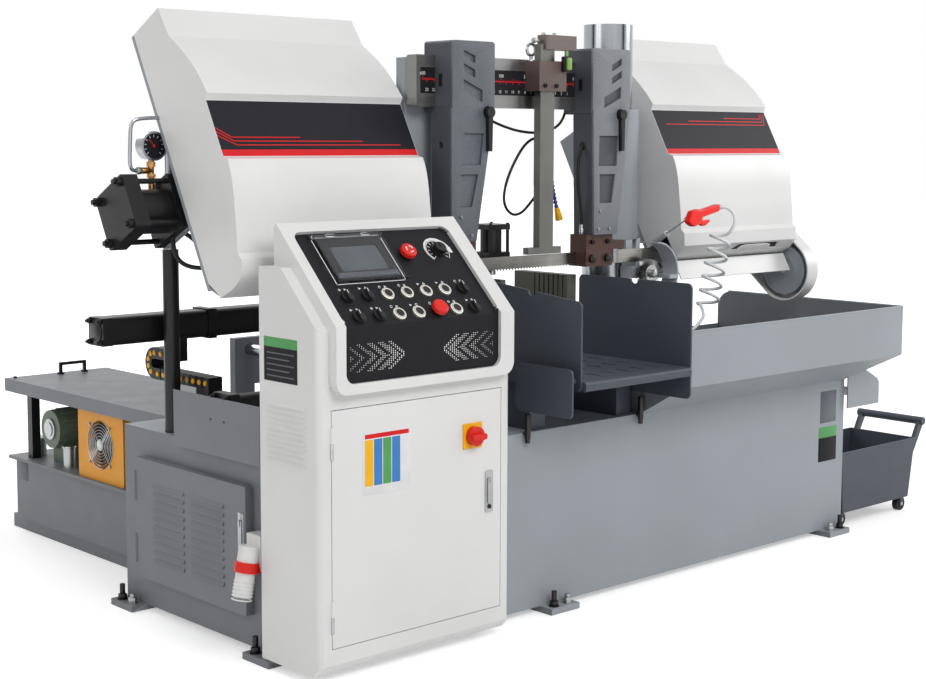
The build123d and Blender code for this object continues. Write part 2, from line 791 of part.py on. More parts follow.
SELECTORS = {
    "selector_1": (CONTROL_FIRST_X, UPPER_ROW),
    "selector_2": (CONTROL_FIRST_X + CONTROL_PITCH, UPPER_ROW),
    "selector_3": (CONTROL_FIRST_X + 6 * CONTROL_PITCH, UPPER_ROW),
    "selector_4": (CONTROL_FIRST_X, LOWER_ROW),
    "selector_5": (CONTROL_FIRST_X + CONTROL_PITCH, LOWER_ROW),
    "selector_6": (CONTROL_FIRST_X + 6 * CONTROL_PITCH, LOWER_ROW),
}
BUTTONS = {
    "button_1": (CONTROL_FIRST_X + 2 * CONTROL_PITCH, UPPER_ROW),
    "button_2": (CONTROL_FIRST_X + 3 * CONTROL_PITCH, UPPER_ROW),
    "button_3": (CONTROL_FIRST_X + 4 * CONTROL_PITCH, UPPER_ROW),
    "button_4": (CONTROL_FIRST_X + 5 * CONTROL_PITCH, UPPER_ROW),
    "button_5": (CONTROL_FIRST_X + 2 * CONTROL_PITCH, LOWER_ROW),
    "button_6": (CONTROL_FIRST_X + 3 * CONTROL_PITCH, LOWER_ROW),
    "button_7": (CONTROL_FIRST_X + 5 * CONTROL_PITCH, LOWER_ROW),
}
MUSHROOMS = {
    "emergency_stop": (EMERGENCY_X, EMERGENCY_UP),
    "stop_button": (CONTROL_FIRST_X + 4 * CONTROL_PITCH, LOWER_ROW),
}

# Sloping head of the console: a white frame round the sunk black panel, with the screen and button rings
with BuildPart() as control_panel:
    profile(
        side_plane(HEAD_LEFT),
        [
            (CONSOLE_FRONT, HEAD_BOTTOM),
            (CONSOLE_FRONT - HEAD_THICK, HEAD_BOTTOM),
            (CONSOLE_FRONT - HEAD_THICK, HEAD_BEND),
            (HEAD_BACK - HEAD_RIDGE, HEAD_TOP),
            (HEAD_BACK, HEAD_TOP - HEAD_RIDGE),
            (HEAD_BACK, CONSOLE_TOP),
            (CONSOLE_FRONT + CONSOLE_TOP - CONSOLE_BEND, CONSOLE_TOP),
            (CONSOLE_FRONT, CONSOLE_BEND),
        ],
        HEAD_RIGHT - HEAD_LEFT,
    )
    bottom_edges = control_panel.edges().filter_by(Axis.Y).group_by(Axis.Z)[0]
    fillet(bottom_edges, radius=HEAD_ROUND)
    with BuildSketch(front_plane(PANEL_Y)) as lower_panel:
        with Locations(((PANEL_LEFT + PANEL_RIGHT) / 2, (PANEL_BOTTOM + PANEL_BEND + HEAD_THICK) / 2)):
            Rectangle(PANEL_RIGHT - PANEL_LEFT, PANEL_BEND + HEAD_THICK - PANEL_BOTTOM)
        fillet(lower_panel.vertices().group_by(Axis.Z)[0], radius=PANEL_ROUND)
    extrude(lower_panel.sketch, amount=HEAD_THICK, mode=Mode.SUBTRACT)
    with BuildSketch(panel_plane(0)) as upper_panel:
        with Locations(((PANEL_LEFT + PANEL_RIGHT) / 2, PANEL_SLOPE / 2)):
            Rectangle(PANEL_RIGHT - PANEL_LEFT, PANEL_SLOPE)
        fillet(upper_panel.vertices().group_by(Axis.Z)[-1], radius=PANEL_ROUND)
    extrude(upper_panel.sketch, amount=HEAD_THICK, mode=Mode.SUBTRACT)
    block(panel_plane(0), (SCREEN_LEFT, SCREEN_RIGHT), (SCREEN_LOW, SCREEN_HIGH), SCREEN_HEIGHT, corner=6.0)
    block(
        panel_plane(SCREEN_HEIGHT - 1.5),
        (SCREEN_LEFT + SCREEN_FRAME, SCREEN_RIGHT - SCREEN_FRAME),
        (SCREEN_LOW + SCREEN_FRAME, SCREEN_HIGH - SCREEN_FRAME),
        1.5,
        mode=Mode.SUBTRACT,
    )
    for place in BUTTONS.values():
        ring(panel_plane(0), place, RING_R, BUTTON_R + SLIDE_GAP, RING_HEIGHT)
        rod(panel_plane(-POCKET_DEPTH), place, BUTTON_R + SLIDE_GAP, POCKET_DEPTH, mode=Mode.SUBTRACT)
    for place in (*SELECTORS.values(), *MUSHROOMS.values(), (DIAL_X, DIAL_UP)):
        rod(panel_plane(-POCKET_DEPTH), place, STEM_R + SLIDE_GAP, POCKET_DEPTH, mode=Mode.SUBTRACT)
    pin_up = SCREEN_HIGH + COVER_MARGIN - COVER_PIN_IN
    for edge_x, out in ((SCREEN_LEFT - COVER_MARGIN, -1), (SCREEN_RIGHT + COVER_MARGIN, 1)):
        lug = sorted((edge_x + out * SLIDE_GAP, edge_x + out * COVER_LUG))
        block(panel_plane(0), lug, around(pin_up, COVER_LUG), COVER_LUG)
        pin_plane = side_plane(edge_x + out * COVER_LUG)
        pin_y = PANEL_Y + (pin_up - COVER_PIN_UP) * HALF_ROOT
        pin_z = PANEL_BEND + (pin_up + COVER_PIN_UP) * HALF_ROOT
        rod(pin_plane, (pin_y, pin_z), COVER_PIN_R, -out * (COVER_LUG + COVER_SHEET))
control_panel.part.label = "control_panel"
export_step(control_panel.part, "parts/control_panel.step")

# Hinged clear cover over the screen
with BuildPart() as screen_cover:
    cover_across = (SCREEN_LEFT - COVER_MARGIN, SCREEN_RIGHT + COVER_MARGIN)
    cover_up = (SCREEN_LOW - COVER_MARGIN, SCREEN_HIGH + COVER_MARGIN)
    block(panel_plane(COVER_LIFT), cover_across, cover_up, COVER_HEIGHT)
    block(
        panel_plane(COVER_LIFT),
        (cover_across[0] + COVER_SHEET, cover_across[1] - COVER_SHEET),
        (cover_up[0] + COVER_SHEET, cover_up[1] - COVER_SHEET),
        COVER_HEIGHT - COVER_SHEET,
        mode=Mode.SUBTRACT,
    )
    rod(
        side_plane(cover_across[0]),
        (pin_y, pin_z),
        COVER_PIN_R + RUN_GAP,
        cover_across[1] - cover_across[0],
        mode=Mode.SUBTRACT,
    )
screen_cover.part.label = "screen_cover"
export_step(screen_cover.part, "parts/screen_cover.step")

# Push buttons in their rings, selectors with a raised grip, and the two mushroom heads
for name, place in BUTTONS.items():
    with BuildPart() as button:
        rod(panel_plane(-2.0), place, BUTTON_R, BUTTON_HEIGHT + 2.0)
    button.part.label = name
    export_step(button.part, f"parts/{name}.step")

for name, place in SELECTORS.items():
    with BuildPart() as selector:
        rod(panel_plane(2.0 - POCKET_DEPTH), place, STEM_R, POCKET_DEPTH)
        rod(panel_plane(SLIDE_GAP), place, SELECTOR_R, SELECTOR_HEIGHT / 2)
        block(
            panel_plane(SLIDE_GAP + SELECTOR_HEIGHT / 2),
            around(place[0], SELECTOR_R * 0.34),
            around(place[1], SELECTOR_R * 0.94),
            SELECTOR_HEIGHT / 2,
            corner=4.0,
        )
    selector.part.label = name
    export_step(selector.part, f"parts/{name}.step")

for name, place in MUSHROOMS.items():
    with BuildPart() as mushroom:
        rod(panel_plane(5.0 - POCKET_DEPTH), place, STEM_R, MUSHROOM_HEIGHT)
        with BuildSketch(panel_plane(10.0)) as head:
            with Locations(place):
                Circle(MUSHROOM_R)
        extrude(head.sketch, amount=MUSHROOM_HEIGHT - 10.0)
        fillet(mushroom.faces().filter_by(GeomType.PLANE).sort_by(Axis.Z)[-1].edges(), radius=6.0)
    mushroom.part.label = name
    export_step(mushroom.part, f"parts/{name}.step")

# Speed dial with its pointer ridge
with BuildPart() as speed_dial:
    rod(panel_plane(2.0 - POCKET_DEPTH), (DIAL_X, DIAL_UP), STEM_R, POCKET_DEPTH)
    rod(panel_plane(SLIDE_GAP), (DIAL_X, DIAL_UP), DIAL_R, 6.0)
    rod(panel_plane(SLIDE_GAP + 6.0), (DIAL_X, DIAL_UP), DIAL_R * 0.76, 13.0)
    block(
        panel_plane(SLIDE_GAP + 19.0),
        around(DIAL_X, 1.5),
        (DIAL_UP, DIAL_UP + DIAL_R * 0.7),
        1.5,
    )
speed_dial.part.label = "speed_dial"
export_step(speed_dial.part, "parts/speed_dial.step")

# Outfeed table with its rounded nose bar, slotted top, side plates and support beams
with BuildPart() as outfeed_table:
    table_low = TABLE_TOP - TABLE_THICK
    block(floor_plane(table_low), (TABLE_LEFT, TABLE_RIGHT), (TABLE_FRONT, TABLE_REAR), TABLE_THICK)
    block(
        side_plane(TABLE_LEFT),
        (TABLE_FRONT, TABLE_FRONT + NOSE_DEPTH),
        (TABLE_TOP - NOSE_DROP, TABLE_TOP),
        TABLE_RIGHT - TABLE_LEFT,
    )
    nose_edges = outfeed_table.edges().filter_by(Axis.X).group_by(Axis.Y)[0]
    fillet(nose_edges, radius=10.0)
    slot_pitch = (TABLE_RIGHT - TABLE_LEFT) / 7
    for column in range(1, 7):
        for row in range(3):
            middle = TABLE_FRONT + 95.0 + row * 110.0
            block(
                floor_plane(table_low),
                around(TABLE_LEFT + column * slot_pitch, 4.0),
                around(middle, 28.0),
                TABLE_THICK,
                mode=Mode.SUBTRACT,
            )
    profile(
        side_plane(TABLE_RIGHT),
        [
            (TABLE_FRONT + 6.0, RIGHT_PLATE_BOTTOM),
            (TABLE_REAR, RIGHT_PLATE_BOTTOM),
            (TABLE_REAR, RIGHT_PLATE_TOP),
            (TABLE_FRONT + 6.0, RIGHT_PLATE_TOP),
        ],
        SIDE_PLATE,
        corner=PLATE_ROUND,
    )
    right_notch = (TABLE_FRONT + 220.0, RIGHT_PLATE_TOP)
    rod(side_plane(TABLE_RIGHT), right_notch, PLATE_NOTCH_R, SIDE_PLATE, mode=Mode.SUBTRACT)
    profile(
        side_plane(TABLE_LEFT),
        [
            (TABLE_FRONT + 15.0, TABLE_TOP - NOSE_DROP),
            (LEFT_PLATE_REAR, TABLE_TOP - NOSE_DROP),
            (LEFT_PLATE_REAR, LEFT_PLATE_REAR_TOP),
            (TABLE_FRONT + 15.0, LEFT_PLATE_TOP),
        ],
        -SIDE_PLATE,
        corner=PLATE_ROUND,
    )
    left_notch = (TABLE_FRONT + 200.0, LEFT_PLATE_TOP + 18.0)
    rod(side_plane(TABLE_LEFT), left_notch, PLATE_NOTCH_R, -SIDE_PLATE, mode=Mode.SUBTRACT)
    lower_plate_x = TABLE_LEFT - LOWER_PLATE_OUT
    profile(
        side_plane(lower_plate_x),
        [
            (TABLE_FRONT + 8.0, LOWER_PLATE_BOTTOM),
            (LOWER_PLATE_REAR, LOWER_PLATE_BOTTOM),
            (LOWER_PLATE_REAR, LOWER_PLATE_TOP),
            (TABLE_FRONT + 8.0, LOWER_PLATE_TOP),
        ],
        -SIDE_PLATE,
        corner=PLATE_ROUND,
    )
    for spacer_y in (TABLE_FRONT + 40.0, LOWER_PLATE_REAR - 40.0):
        rod(side_plane(lower_plate_x), (spacer_y, TABLE_TOP), 9.0, LOWER_PLATE_OUT - SIDE_PLATE)
    for beam_x in (TABLE_LEFT + 40.0, TABLE_RIGHT - 40.0):
        block(
            floor_plane(BASE_TOP),
            around(beam_x, 30.0),
            (BASE_FRONT + 20.0, TABLE_REAR),
            TABLE_TOP - TABLE_THICK - BASE_TOP,
        )
outfeed_table.part.label = "outfeed_table"
export_step(outfeed_table.part, "parts/outfeed_table.step")

# Chip tray folded from sheet, with the chute that leads into the cart
with BuildPart() as chip_tray:
    fold_rise = TRAY_FOLD - BASE_TOP
    front_run = BASE_FRONT - TRAY_FRONT
    right_run = TRAY_RIGHT - BASE_RIGHT
    profile(
        side_plane(TRAY_LEFT),
        [
            (TRAY_REAR, BASE_TOP),
            (BASE_FRONT, BASE_TOP),
            (TRAY_FRONT, TRAY_FOLD),
            (TRAY_FRONT, TRAY_RIM),
            (TRAY_FRONT + SHEET, TRAY_RIM),
            (TRAY_FRONT + SHEET, TRAY_FOLD + SHEET / 2),
            (BASE_FRONT + SHEET / 3, BASE_TOP + SHEET),
            (TRAY_REAR, BASE_TOP + SHEET),
        ],
        TRAY_RIGHT - TRAY_LEFT,
    )
    profile(
        front_plane(TRAY_REAR),
        [
            (BASE_RIGHT, BASE_TOP),
            (TRAY_RIGHT, TRAY_FOLD),
            (TRAY_RIGHT, TRAY_RIM),
            (TRAY_RIGHT - SHEET, TRAY_RIM),
            (TRAY_RIGHT - SHEET, TRAY_FOLD + SHEET / 2),
            (BASE_RIGHT - SHEET / 3, BASE_TOP + SHEET),
        ],
        TRAY_REAR - TRAY_FRONT,
    )
    profile(
        side_plane(TRAY_LEFT),
        [
            (TRAY_FRONT - SHEET, TRAY_FOLD + SHEET * fold_rise / front_run),
            (BASE_FRONT, BASE_TOP),
            (BASE_FRONT, BASE_TOP - SHEET),
            (TRAY_FRONT - SHEET, BASE_TOP - SHEET),
        ],
        TRAY_RIGHT - TRAY_LEFT,
        mode=Mode.SUBTRACT,
    )
    profile(
        front_plane(TRAY_REAR),
        [
            (TRAY_RIGHT + SHEET, TRAY_FOLD + SHEET * fold_rise / right_run),
            (BASE_RIGHT, BASE_TOP),
            (BASE_RIGHT, BASE_TOP - SHEET),
            (TRAY_RIGHT + SHEET, BASE_TOP - SHEET),
        ],
        TRAY_REAR - TRAY_FRONT,
        mode=Mode.SUBTRACT,
    )
    block(
        side_plane(TRAY_LEFT),
        (TRAY_FRONT, TRAY_LEFT_WALL_END),
        (TRAY_FOLD, TRAY_RIM),
        SHEET,
    )
    profile(
        side_plane(TRAY_LEFT),
        [
            (TRAY_FRONT, TRAY_FOLD),
            (BASE_FRONT, BASE_TOP),
            (TRAY_LEFT_WALL_END, BASE_TOP),
            (TRAY_LEFT_WALL_END, TRAY_FOLD),
        ],
        SHEET,
    )
    rear_wall_left = BED_RIGHT + 230.0
    block(
        front_plane(TRAY_REAR),
        (rear_wall_left, TRAY_RIGHT),
        (TRAY_FOLD, TRAY_FOLD + 40.0),
        SHEET,
    )
    profile(
        front_plane(TRAY_REAR),
        [
            (rear_wall_left, BASE_TOP),
            (BASE_RIGHT, BASE_TOP),
            (TRAY_RIGHT, TRAY_FOLD),
            (rear_wall_left, TRAY_FOLD),
        ],
        SHEET,
    )
    rod(
        side_plane(TRAY_LEFT + SHEET),
        (HOSE_FITTING.Y, HOSE_FITTING.Z),
        HOSE_FITTING_R,
        HOSE_FITTING.X - SLIDE_GAP - TRAY_LEFT - SHEET,
    )
    block(
        floor_plane(BASE_TOP),
        (NOTCH_LEFT, TRAY_RIGHT - SHEET),
        (NOTCH_FRONT, CHUTE_REAR),
        TRAY_FOLD - BASE_TOP - SHEET,
        mode=Mode.SUBTRACT,
    )
    block(
        floor_plane(BASE_TOP),
        (TRAY_LEFT, RIGHT_COLUMN_X + RIGHT_FLANGE_R + SHEET),
        (BED_FRONT - SHEET, TRAY_REAR),
        TRAY_FOLD - BASE_TOP,
        mode=Mode.SUBTRACT,
    )
    rear_corner = chip_tray.edges().filter_by(Axis.X).group_by(Axis.Z)[-1].sort_by(Axis.Y)[-1]
    fillet([rear_corner], radius=60.0)
    for side_y in (CHUTE_FRONT, CHUTE_REAR + SHEET):
        with BuildSketch(front_plane(side_y)) as chute_side:
            with BuildLine():
                Polyline(
                    (BASE_RIGHT, CHUTE_LOW),
                    (CHUTE_RIGHT, CHUTE_LOW),
                    (CHUTE_RIGHT, CHUTE_HIGH - 45.0),
                    (TRAY_RIGHT, CHUTE_HIGH),
                    (BASE_RIGHT, CHUTE_HIGH),
                    close=True,
                )
            make_face()
            fillet(chute_side.vertices().group_by(Axis.X)[-1].sort_by(Axis.Z)[0], radius=30.0)
        extrude(chute_side.sketch, amount=SHEET)
    chute_floor = BASE_TOP - NOTCH_DEPTH
    profile(
        front_plane(CHUTE_REAR),
        [
            (BASE_RIGHT, chute_floor),
            (CHUTE_RIGHT, chute_floor - CHUTE_DROP),
            (CHUTE_RIGHT, chute_floor - CHUTE_DROP + SHEET),
            (BASE_RIGHT, chute_floor + SHEET),
        ],
        CHUTE_REAR - CHUTE_FRONT,
    )
    block(
        floor_plane(chute_floor),
        (NOTCH_LEFT, BASE_RIGHT),
        (NOTCH_FRONT, CHUTE_REAR),
        SHEET,
    )
chip_tray.part.label = "chip_tray"
export_step(chip_tray.part, "parts/chip_tray.step")

# Chip cart: a tapered sheet bin on four caster forks, with a tube handle
CASTER_Z = CASTER_R
FRONT_CASTER_X = CART_RIGHT - CASTER_INSET
REAR_CASTER_X = CART_LEFT + CASTER_INSET
CASTER_ROWS = (CART_FRONT + CASTER_SIDE, CART_REAR - CASTER_SIDE)
with BuildPart() as chip_cart:
    profile(
        front_plane(CART_REAR),
        [
            (CART_LEFT, CART_TOP),
            (CART_LEFT + CART_TAPER / 3, CART_BOTTOM),
            (CART_RIGHT - CART_TAPER, CART_BOTTOM),
            (CART_RIGHT, CART_TOP),
        ],
        CART_REAR - CART_FRONT,
    )
    profile(
        front_plane(CART_REAR - SHEET),
        [
            (CART_LEFT + SHEET, CART_TOP),
            (CART_LEFT + CART_TAPER / 3 + SHEET, CART_BOTTOM + SHEET),
            (CART_RIGHT - CART_TAPER - SHEET, CART_BOTTOM + SHEET),
            (CART_RIGHT - SHEET, CART_TOP),
        ],
        CART_REAR - CART_FRONT - 2 * SHEET,
        mode=Mode.SUBTRACT,
    )
    for handle_y in (CART_FRONT + HANDLE_R, CART_REAR - HANDLE_R):
        with BuildSketch(front_plane(handle_y + HANDLE_R / 2)) as arm:
            with BuildLine():
                Polyline(
                    (CART_RIGHT - 12.0, CART_TOP - 40.0),
                    (CART_RIGHT + 4.0, CART_TOP - 52.0),
                    (HANDLE_X + HANDLE_R, HANDLE_Z - 6.0),
                    (HANDLE_X - 4.0, HANDLE_Z + HANDLE_R),
                    close=True,
                )
            make_face()
        extrude(arm.sketch, amount=HANDLE_R)
    rod(front_plane(CART_REAR), (HANDLE_X, HANDLE_Z), HANDLE_R, CART_REAR - CART_FRONT)
    for caster_x in (FRONT_CASTER_X, REAR_CASTER_X):
        for caster_y in CASTER_ROWS:
            cheek = CASTER_WIDTH / 2 + SLIDE_GAP
            for side in (-cheek - 3.0, cheek):
                block(
                    front_plane(caster_y + side + 3.0),
                    around(caster_x, 9.0),
                    (CASTER_Z - 9.0, CART_BOTTOM),
                    3.0,
                )
            rod(front_plane(caster_y + cheek), (caster_x, CASTER_Z), AXLE_R, 2 * cheek)
chip_cart.part.label = "chip_cart"
export_step(chip_cart.part, "parts/chip_cart.step")

for name, caster_x in (("cart_front_wheels", FRONT_CASTER_X), ("cart_rear_wheels", REAR_CASTER_X)):
    with BuildPart() as wheels:
        for caster_y in CASTER_ROWS:
            ring(
                front_plane(caster_y + CASTER_WIDTH / 2),
                (caster_x, CASTER_Z),
                CASTER_R,
                AXLE_R + RUN_GAP,
                CASTER_WIDTH,
            )
    wheels.part.label = name
    export_step(wheels.part, f"parts/{name}.step")

# Two guide columns on their flanges, and the barrel of the lift cylinder
with BuildPart() as guide_columns:
    rod(floor_plane(BASE_TOP), (RIGHT_COLUMN_X, COLUMN_Y), RIGHT_FLANGE_R, FLANGE_HEIGHT)
    rod(floor_plane(BASE_TOP), (RIGHT_COLUMN_X, COLUMN_Y), RIGHT_COLUMN_R, RIGHT_COLUMN_TOP - BASE_TOP)
    rod(floor_plane(BASE_TOP), (LEFT_COLUMN_X, COLUMN_Y), LEFT_FLANGE_R, FLANGE_HEIGHT)
    rod(floor_plane(BASE_TOP), (LEFT_COLUMN_X, COLUMN_Y), LEFT_COLUMN_R, LEFT_COLUMN_TOP - BASE_TOP)
    rod(floor_plane(BASE_TOP), (LIFT_X, LIFT_Y), LIFT_R, LIFT_TOP - BASE_TOP)
    rod(
        floor_plane(BASE_TOP + FLANGE_HEIGHT / 2),
        (LIFT_X, LIFT_Y),
        LIFT_ROD_R + RUN_GAP,
        LIFT_TOP - BASE_TOP,
        mode=Mode.SUBTRACT,
    )
guide_columns.part.label = "guide_columns"
export_step(guide_columns.part, "parts/guide_columns.step")

# Vise bed with its channel and fixed jaw, the main vise cylinder, and the rails of the feed carriage
with BuildPart() as vise_bed:
    block(floor_plane(BASE_TOP), (BED_LEFT, FIXED_JAW_X), (BED_FRONT, BED_REAR), TABLE_TOP - BASE_TOP)
    block(
        floor_plane(CHANNEL_BOTTOM),
        (BED_LEFT, FIXED_JAW_X),
        (CHANNEL_FRONT, CHANNEL_REAR),
        TABLE_TOP - CHANNEL_BOTTOM,
        mode=Mode.SUBTRACT,
    )
    block(
        floor_plane(BASE_TOP),
        (FIXED_JAW_X, FIXED_JAW_X + FIXED_JAW_THICK),
        (JAW_FRONT, BED_REAR),
        JAW_TOP - BASE_TOP,
    )
    profile(
        front_plane((JAW_FRONT + JAW_REAR) / 2 + 25.0),
        [
            (FIXED_JAW_X + FIXED_JAW_THICK, BASE_TOP),
            (BED_RIGHT, BASE_TOP),
            (BED_RIGHT, BASE_TOP + 60.0),
            (FIXED_JAW_X + FIXED_JAW_THICK, JAW_TOP - 40.0),
        ],
        50.0,
    )
    rib_pitch = (JAW_REAR - JAW_FRONT) / 8
    for rib in range(1, 8):
        block(
            floor_plane(TABLE_TOP + 20.0),
            (FIXED_JAW_X, FIXED_JAW_X + 4.0),
            around(JAW_FRONT + rib * rib_pitch, 3.0),
            JAW_TOP - TABLE_TOP - 20.0,
            mode=Mode.SUBTRACT,
        )
    rod(side_plane(VISE_LEFT), (VISE_ROD_Y, VISE_ROD_Z), VISE_BARREL_R, VISE_RIGHT - VISE_LEFT)
    for cap_x in (VISE_LEFT, VISE_RIGHT - VISE_CAP_LONG):
        block(
            side_plane(cap_x),
            around(VISE_ROD_Y, VISE_CAP / 2),
            around(VISE_ROD_Z, VISE_CAP / 2),
            VISE_CAP_LONG,
            corner=6.0,
        )
        foot_x = max(cap_x, BASE_LEFT)
        block(
            floor_plane(BASE_TOP),
            (foot_x, foot_x + VISE_CAP_LONG),
            around(VISE_ROD_Y, VISE_CAP / 2),
            VISE_ROD_Z - BASE_TOP,
        )
    rod(
        side_plane(VISE_LEFT + VISE_CAP_LONG),
        (VISE_ROD_Y, VISE_ROD_Z),
        VISE_ROD_R + RUN_GAP,
        VISE_RIGHT - VISE_LEFT - VISE_CAP_LONG,
        mode=Mode.SUBTRACT,
    )
    for rail_x in (RAIL_LEFT_X, RAIL_RIGHT_X):
        rod(front_plane(RAIL_REAR), (rail_x, RAIL_Z), RAIL_R, RAIL_REAR - BED_REAR)
    block(
        front_plane(RAIL_REAR + STAND_THICK),
        (RAIL_LEFT_X - 60.0, RAIL_RIGHT_X + 60.0),
        (0.0, RAIL_Z + 40.0),
        STAND_THICK,
    )
    block(
        front_plane(RAIL_REAR + STAND_THICK),
        (RAIL_LEFT_X + 20.0, RAIL_RIGHT_X - 20.0),
        (0.0, RAIL_Z - 120.0),
        STAND_THICK,
        mode=Mode.SUBTRACT,
    )
vise_bed.part.label = "vise_bed"
export_step(vise_bed.part, "parts/vise_bed.step")

# Moving vise jaw with its tongue, piston rod and the hold-down cylinder on its arm
with BuildPart() as vise_jaw:
    jaw_sole = TABLE_TOP + SLIDE_GAP
    block(floor_plane(jaw_sole), (JAW_X - JAW_THICK, JAW_X), (JAW_FRONT, JAW_REAR), JAW_TOP - jaw_sole)
    profile(
        front_plane(JAW_REAR - 20.0),
        [
            (JAW_X - JAW_THICK - JAW_BODY, jaw_sole),
            (JAW_X - JAW_THICK, jaw_sole),
            (JAW_X - JAW_THICK, JAW_TOP),
            (JAW_X - JAW_THICK - JAW_BODY / 2, JAW_TOP),
            (JAW_X - JAW_THICK - JAW_BODY, JAW_TOP - 70.0),
        ],
        JAW_REAR - JAW_FRONT - 40.0,
    )
    block(
        floor_plane(VISE_ROD_Z - VISE_ROD_R - 6.0),
        (JAW_X - JAW_THICK - JAW_BODY, JAW_X - JAW_THICK),
        (CHANNEL_FRONT + 2.0, CHANNEL_REAR - 2.0),
        jaw_sole - VISE_ROD_Z + VISE_ROD_R + 6.0,
    )
    rod_tail = JAW_X - JAW_THICK - JAW_BODY
    rod(side_plane(rod_tail), (VISE_ROD_Y, VISE_ROD_Z), VISE_ROD_R, VISE_RIGHT - 310.0 - rod_tail)
    hold_post = (JAW_X - JAW_THICK - JAW_BODY / 2, JAW_X)
    block(floor_plane(JAW_TOP), hold_post, around(HOLD_Y, 30.0), HOLD_BOTTOM - HOLD_ARM - JAW_TOP)
    block(
        floor_plane(HOLD_BOTTOM - HOLD_ARM),
        (hold_post[0], HOLD_X + HOLD_SIZE / 2),
        around(HOLD_Y, HOLD_SIZE / 2),
        HOLD_ARM,
    )
    for plate_z in (HOLD_BOTTOM, HOLD_TOP - 16.0):
        block(
            floor_plane(plate_z),
            around(HOLD_X, HOLD_SIZE / 2),
            around(HOLD_Y, HOLD_SIZE / 2),
            16.0,
            corner=5.0,
        )
    rod(floor_plane(HOLD_BOTTOM), (HOLD_X, HOLD_Y), HOLD_BARREL_R, HOLD_TOP - HOLD_BOTTOM)
    for corner_x in around(HOLD_X, HOLD_SIZE / 2 - 7.0):
        for corner_y in around(HOLD_Y, HOLD_SIZE / 2 - 7.0):
            rod(floor_plane(HOLD_BOTTOM), (corner_x, corner_y), 5.0, HOLD_TOP - HOLD_BOTTOM + 4.0)
    rod(
        floor_plane(HOLD_BOTTOM - HOLD_ARM),
        (HOLD_X, HOLD_Y),
        HOLD_ROD_R + RUN_GAP,
        HOLD_TOP - HOLD_BOTTOM + HOLD_ARM - 20.0,
        mode=Mode.SUBTRACT,
    )
vise_jaw.part.label = "vise_jaw"
export_step(vise_jaw.part, "parts/vise_jaw.step")

# Hold-down piston rod with its foot
with BuildPart() as holddown_rod:
    rod(floor_plane(HOLD_FOOT_Z), (HOLD_X, HOLD_Y), HOLD_ROD_R, HOLD_TOP - 30.0 - HOLD_FOOT_Z)
    rod(floor_plane(HOLD_FOOT_Z), (HOLD_X, HOLD_Y), HOLD_FOOT_R, 12.0)
holddown_rod.part.label = "holddown_rod"
export_step(holddown_rod.part, "parts/holddown_rod.step")

# Feed carriage on the rails, with its fixed jaw, the long feed vise cylinder and the tie bar behind it
FEED_REAR = FEED_FRONT + FEED_DEPTH
FEED_ROD_Y = FEED_FRONT + FEED_BARREL / 2
with BuildPart() as feed_carriage:
    block(floor_plane(FEED_BOTTOM), (FEED_LEFT, FEED_RIGHT), (FEED_FRONT, FEED_REAR), FEED_TOP - FEED_BOTTOM)
    for rail_x in (RAIL_LEFT_X, RAIL_RIGHT_X):
        rod(front_plane(FEED_REAR), (rail_x, RAIL_Z), RAIL_R + RUN_GAP, FEED_DEPTH, mode=Mode.SUBTRACT)
    block(
        floor_plane(FEED_TOP),
        (FIXED_JAW_X, FEED_RIGHT),
        (FEED_FRONT, FEED_REAR - 30.0),
        FEED_JAW_TOP - FEED_TOP,
    )
    block(
        floor_plane(FEED_TOP),
        (FEED_LEFT, FEED_CYLINDER_RIGHT),
        (FEED_FRONT, FEED_REAR),
        FEED_ROD_Z + FEED_BARREL / 2 - FEED_TOP,
    )
    block(
        side_plane(FEED_CYLINDER_LEFT),
        (FEED_FRONT, FEED_FRONT + FEED_BARREL),
        around(FEED_ROD_Z, FEED_BARREL / 2),
        FEED_CYLINDER_RIGHT - FEED_CYLINDER_LEFT,
        corner=14.0,
    )
    block(
        side_plane(FEED_CYLINDER_LEFT),
        (FEED_FRONT, FEED_FRONT + FEED_BARREL),
        around(FEED_ROD_Z, FEED_BARREL / 2),
        30.0,
        corner=4.0,
    )
    rod(
        side_plane(FEED_CYLINDER_RIGHT),
        (FEED_ROD_Y, FEED_ROD_Z),
        FEED_ROD_R + RUN_GAP,
        FEED_CYLINDER_LEFT + 60.0 - FEED_CYLINDER_RIGHT,
        mode=Mode.SUBTRACT,
    )
    tie_left = FEED_CYLINDER_LEFT + 60.0
    rod(side_plane(tie_left), (TIE_BAR_Y, FEED_ROD_Z), TIE_BAR_R, FEED_LEFT - tie_left)
    block(
        side_plane(FEED_CYLINDER_LEFT + 90.0),
        (FEED_ROD_Y, TIE_BAR_Y),
        around(FEED_ROD_Z, 20.0),
        24.0,
    )
    block(
        side_plane(CHAIN_X),
        (CHAIN_UPPER_FRONT, CHAIN_UPPER_FRONT + 30.0),
        (CHAIN_HIGH + SLIDE_GAP, FEED_ROD_Z - FEED_BARREL / 2),
        CHAIN_WIDTH,
    )
feed_carriage.part.label = "feed_carriage"
export_step(feed_carriage.part, "parts/feed_carriage.step")

